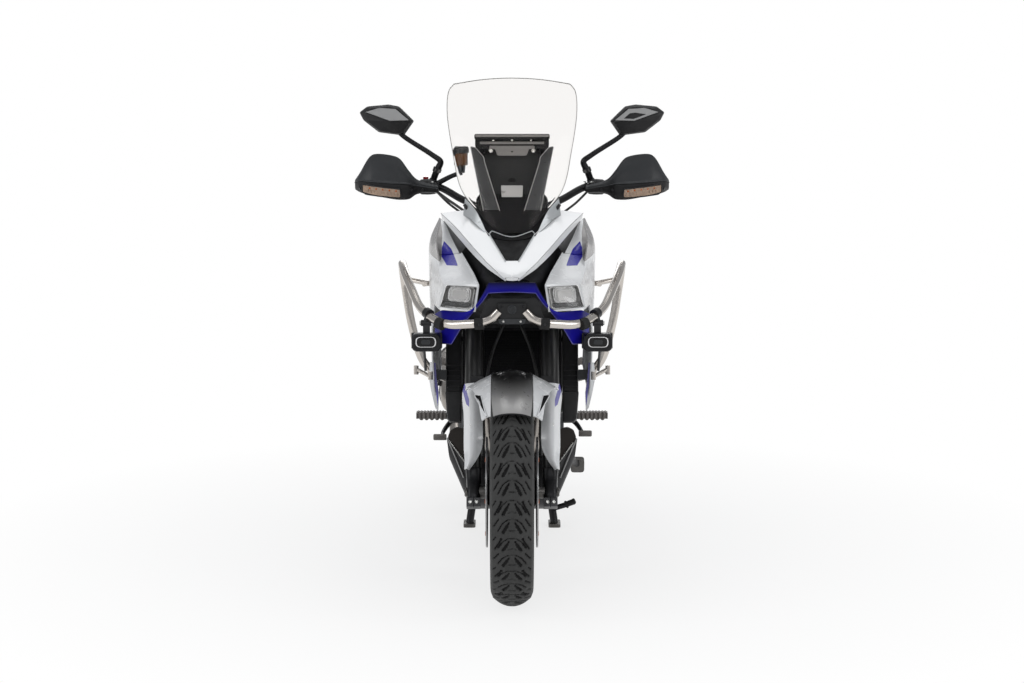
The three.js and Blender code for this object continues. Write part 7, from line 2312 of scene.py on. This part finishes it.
# ---------------- skid plate, footrests, stands
SKID_ROWS = [
    (-424, 196, 330, 84), (-392, 186, 214, 130), (-300, 164, 172, 120), (-60, 150, 164, 96),
    (10, 140, 168, 60)
]
skid_rows = [
    [(half, y, z + rise), (half * 0.7, y, z), (-half * 0.7, y, z), (-half, y, z + rise)]
    for y, half, z, rise in SKID_ROWS
]
skid_grid = grid(skid_rows, 5, 6, (1, 2))
PLATE_ALLOY = finish(
    "skid_alloy", (0.035, 0.035, 0.037), (0.4, 0.55), 0.5, shade=0.8, grain=("noise", 520, 0.06), wear=0.5
)
skid = [
    (slab(skid_grid[::-1, ::-1], 4), PLATE_ALLOY),
    (tube([*skid_grid[::-1, 0][:20], *skid_grid[0, 1:-1], *skid_grid[:, -1][:20]], 2.6, 10, 1), BOLT),
]
skid += [(block((x, y, 163.5), (26, 70, 3)), NOSE_BLACK) for x in (-60, 0, 60) for y in (-230, -130)]
skid += both([bolt((x, y, z), (0.5, 0, -0.8), 6, 4) for x, y, z in ((150, -280, 232), (128, -70, 196))])
GUARD_BROWN = finish(
    "guard_face", (0.040, 0.034, 0.030), (0.4, 0.55), shade=0.85, grain=("cells", 1100, 0.05),
    Specular_IOR_Level=0.25
)
face = rounded([(195, 416), (187, 438), (169, 447), (142, 440), (138, 300), (146, 292)], 5, 3)
skid += both([(loft([[(x, y + (x - 140) * -0.1, z) for x, z in face] for y in (-418, -406)]), GUARD_BROWN)])
skid += both([(tube([(196, -427, 414), (172, -425, 356), (147, -423, 292)], 2.2, 10, 4), GREY_PAINT)])
piece("skid_shell", skid, replaces=["skid_plate"], bevel=0.8)


def wavy_rubber(x0, x1, y, z):
    """Peg's rubber with a row of teeth along both edges."""
    ring = []
    for side in (1, -1):
        for i in range(15):
            share = i / 14
            share = share if side > 0 else 1 - share
            ring.append((x0 + (x1 - x0) * share, y + side * (21 - (3.2 if i % 2 else 0))))
    return shifted(flat([ring], 20, 1.5), (0, 0, z - 10))


def footrest(side, lever_x, tip_y, tip_z):
    """Footrest with its plate and its lever, whose tip is at lever_x, tip_y, tip_z."""
    plate = side_plate([
        rounded([(60, 470), (150, 500), (190, 430), (140, 366), (80, 370)], 16),
        rounded([(104, 452), (144, 466), (152, 430), (112, 424)], 8)
    ], 169.3, 179.3, 2)
    shapes = [
        (plate, BLACK_METAL), (rod((172, 100, 392), (222, 100, 392), 12), BLACK_METAL),
        (block((238, 100, 392), (62, 26, 14)), DARK_STEEL), (wavy_rubber(216, 313, 100, 394), PEG_RUBBER),
        (tube([
            (175, 90, 396), (lever_x - 20, 60, 376), (lever_x, 0, 356), (lever_x, tip_y, tip_z)
        ], [9, 7, 6, 6], 20, 8, 1.2), BLACK_METAL),
        (turned([(0, 9), (3, 10), (39, 10), (42, 8)], (lever_x - 12, tip_y, tip_z), LEFT, 28), PEG_RUBBER),
        (turned([(0, 13), (5, 13), (7, 10)], (179, 90, 396), LEFT, 6), BOLT),
        bolt((179, 148, 480), LEFT, 6, 5), bolt((179, 84, 456), LEFT, 6, 5),
        (tube([(222, 84, 398), (214, 84, 404), (206, 92, 398)], 2, 10, 4), BOLT)
    ]
    shapes += [(block((x, 100, 405.2), (4, 34, 2.4)), PEG_RUBBER) for x in range(226, 310, 10)]
    shapes += [(rod((x, 82, 386), (x, 118, 386), 7), PEG_RUBBER) for x in range(228, 308, 17)]
    return shapes if side > 0 else each(shapes, mirrored)


piece("left_footrest_set", footrest(1, 226, -52, 360), replaces=["left_footrest"], bevel=0.8)
piece("right_footrest_set", footrest(-1, 222, -62, 350), replaces=["right_footrest"], bevel=0.8)
stand_leg = [
    (tube([(112, 245, 285), (120, 231, 165), (142, 202, 6)], [15, 13, 13], 24, 8), BLACK_METAL),
    (loft([
        rounded([(122, 168, z), (162, 168, z), (162, 244, z), (122, 244, z)], 10, 4) for z in (0, 3, 9, 12)
    ]), DARK_STEEL),
    (turned([(0, 20), (6, 20), (6, 12)], (112, 245, 285), LEFT, 32), BLACK_METAL)
]
stand = both(stand_leg)
stand += [
    (rod((-112, 245, 285), (112, 245, 285), 15), BLACK_METAL),
    (rod((-118, 235, 195), (118, 235, 195), 11), BLACK_METAL),
    (tube([(142, 202, 60), (172, 196, 70), (208, 188, 84)], 9, 20, 6), BLACK_METAL),
    (knurled((180, 194.4, 73), (0.88, -0.19, 0.43), 34, 10, 3, 1), RUBBER),
]
piece("centre_stand_set", stand, "centre_stand", ["centre_stand"], bevel=0.7)
START, FOOT = np.array((152, 62, 300.0)), np.array((222, 317, 185.0))
side_leg = [
    (rod(on_axis(-14), on_axis(14), 18, 36), BLACK_METAL),
    (turned([(0, 10), (6, 10), (8, 8)], on_axis(-14), tuple(-STAND_AXIS), 6), BOLT),
    (tube(
        [START, START + (FOOT - START) * 0.4, START + (FOOT - START) * 0.97], [14, 13, 10], 28, 6
    ), BLACK_METAL),
    (moved(
        loft([
            rounded([(-23, y, -26), (23, y, -26), (23, y, 26), (-23, y, 26)], 12, 4)
            for y in (-10, -6, 7, 10)
        ]),
        Matrix.Translation(tuple(FOOT)) @ Matrix.Rotation(0.4, 4, "X")
    ), DARK_STEEL),
    (tube([START + (12, 40, -2), START + (30, 60, -14), START + (34, 96, -30)], 4, 14, 6), BOLT)
]
piece("side_stand_set", side_leg, "side_stand", ["side_stand"], bevel=0.7)
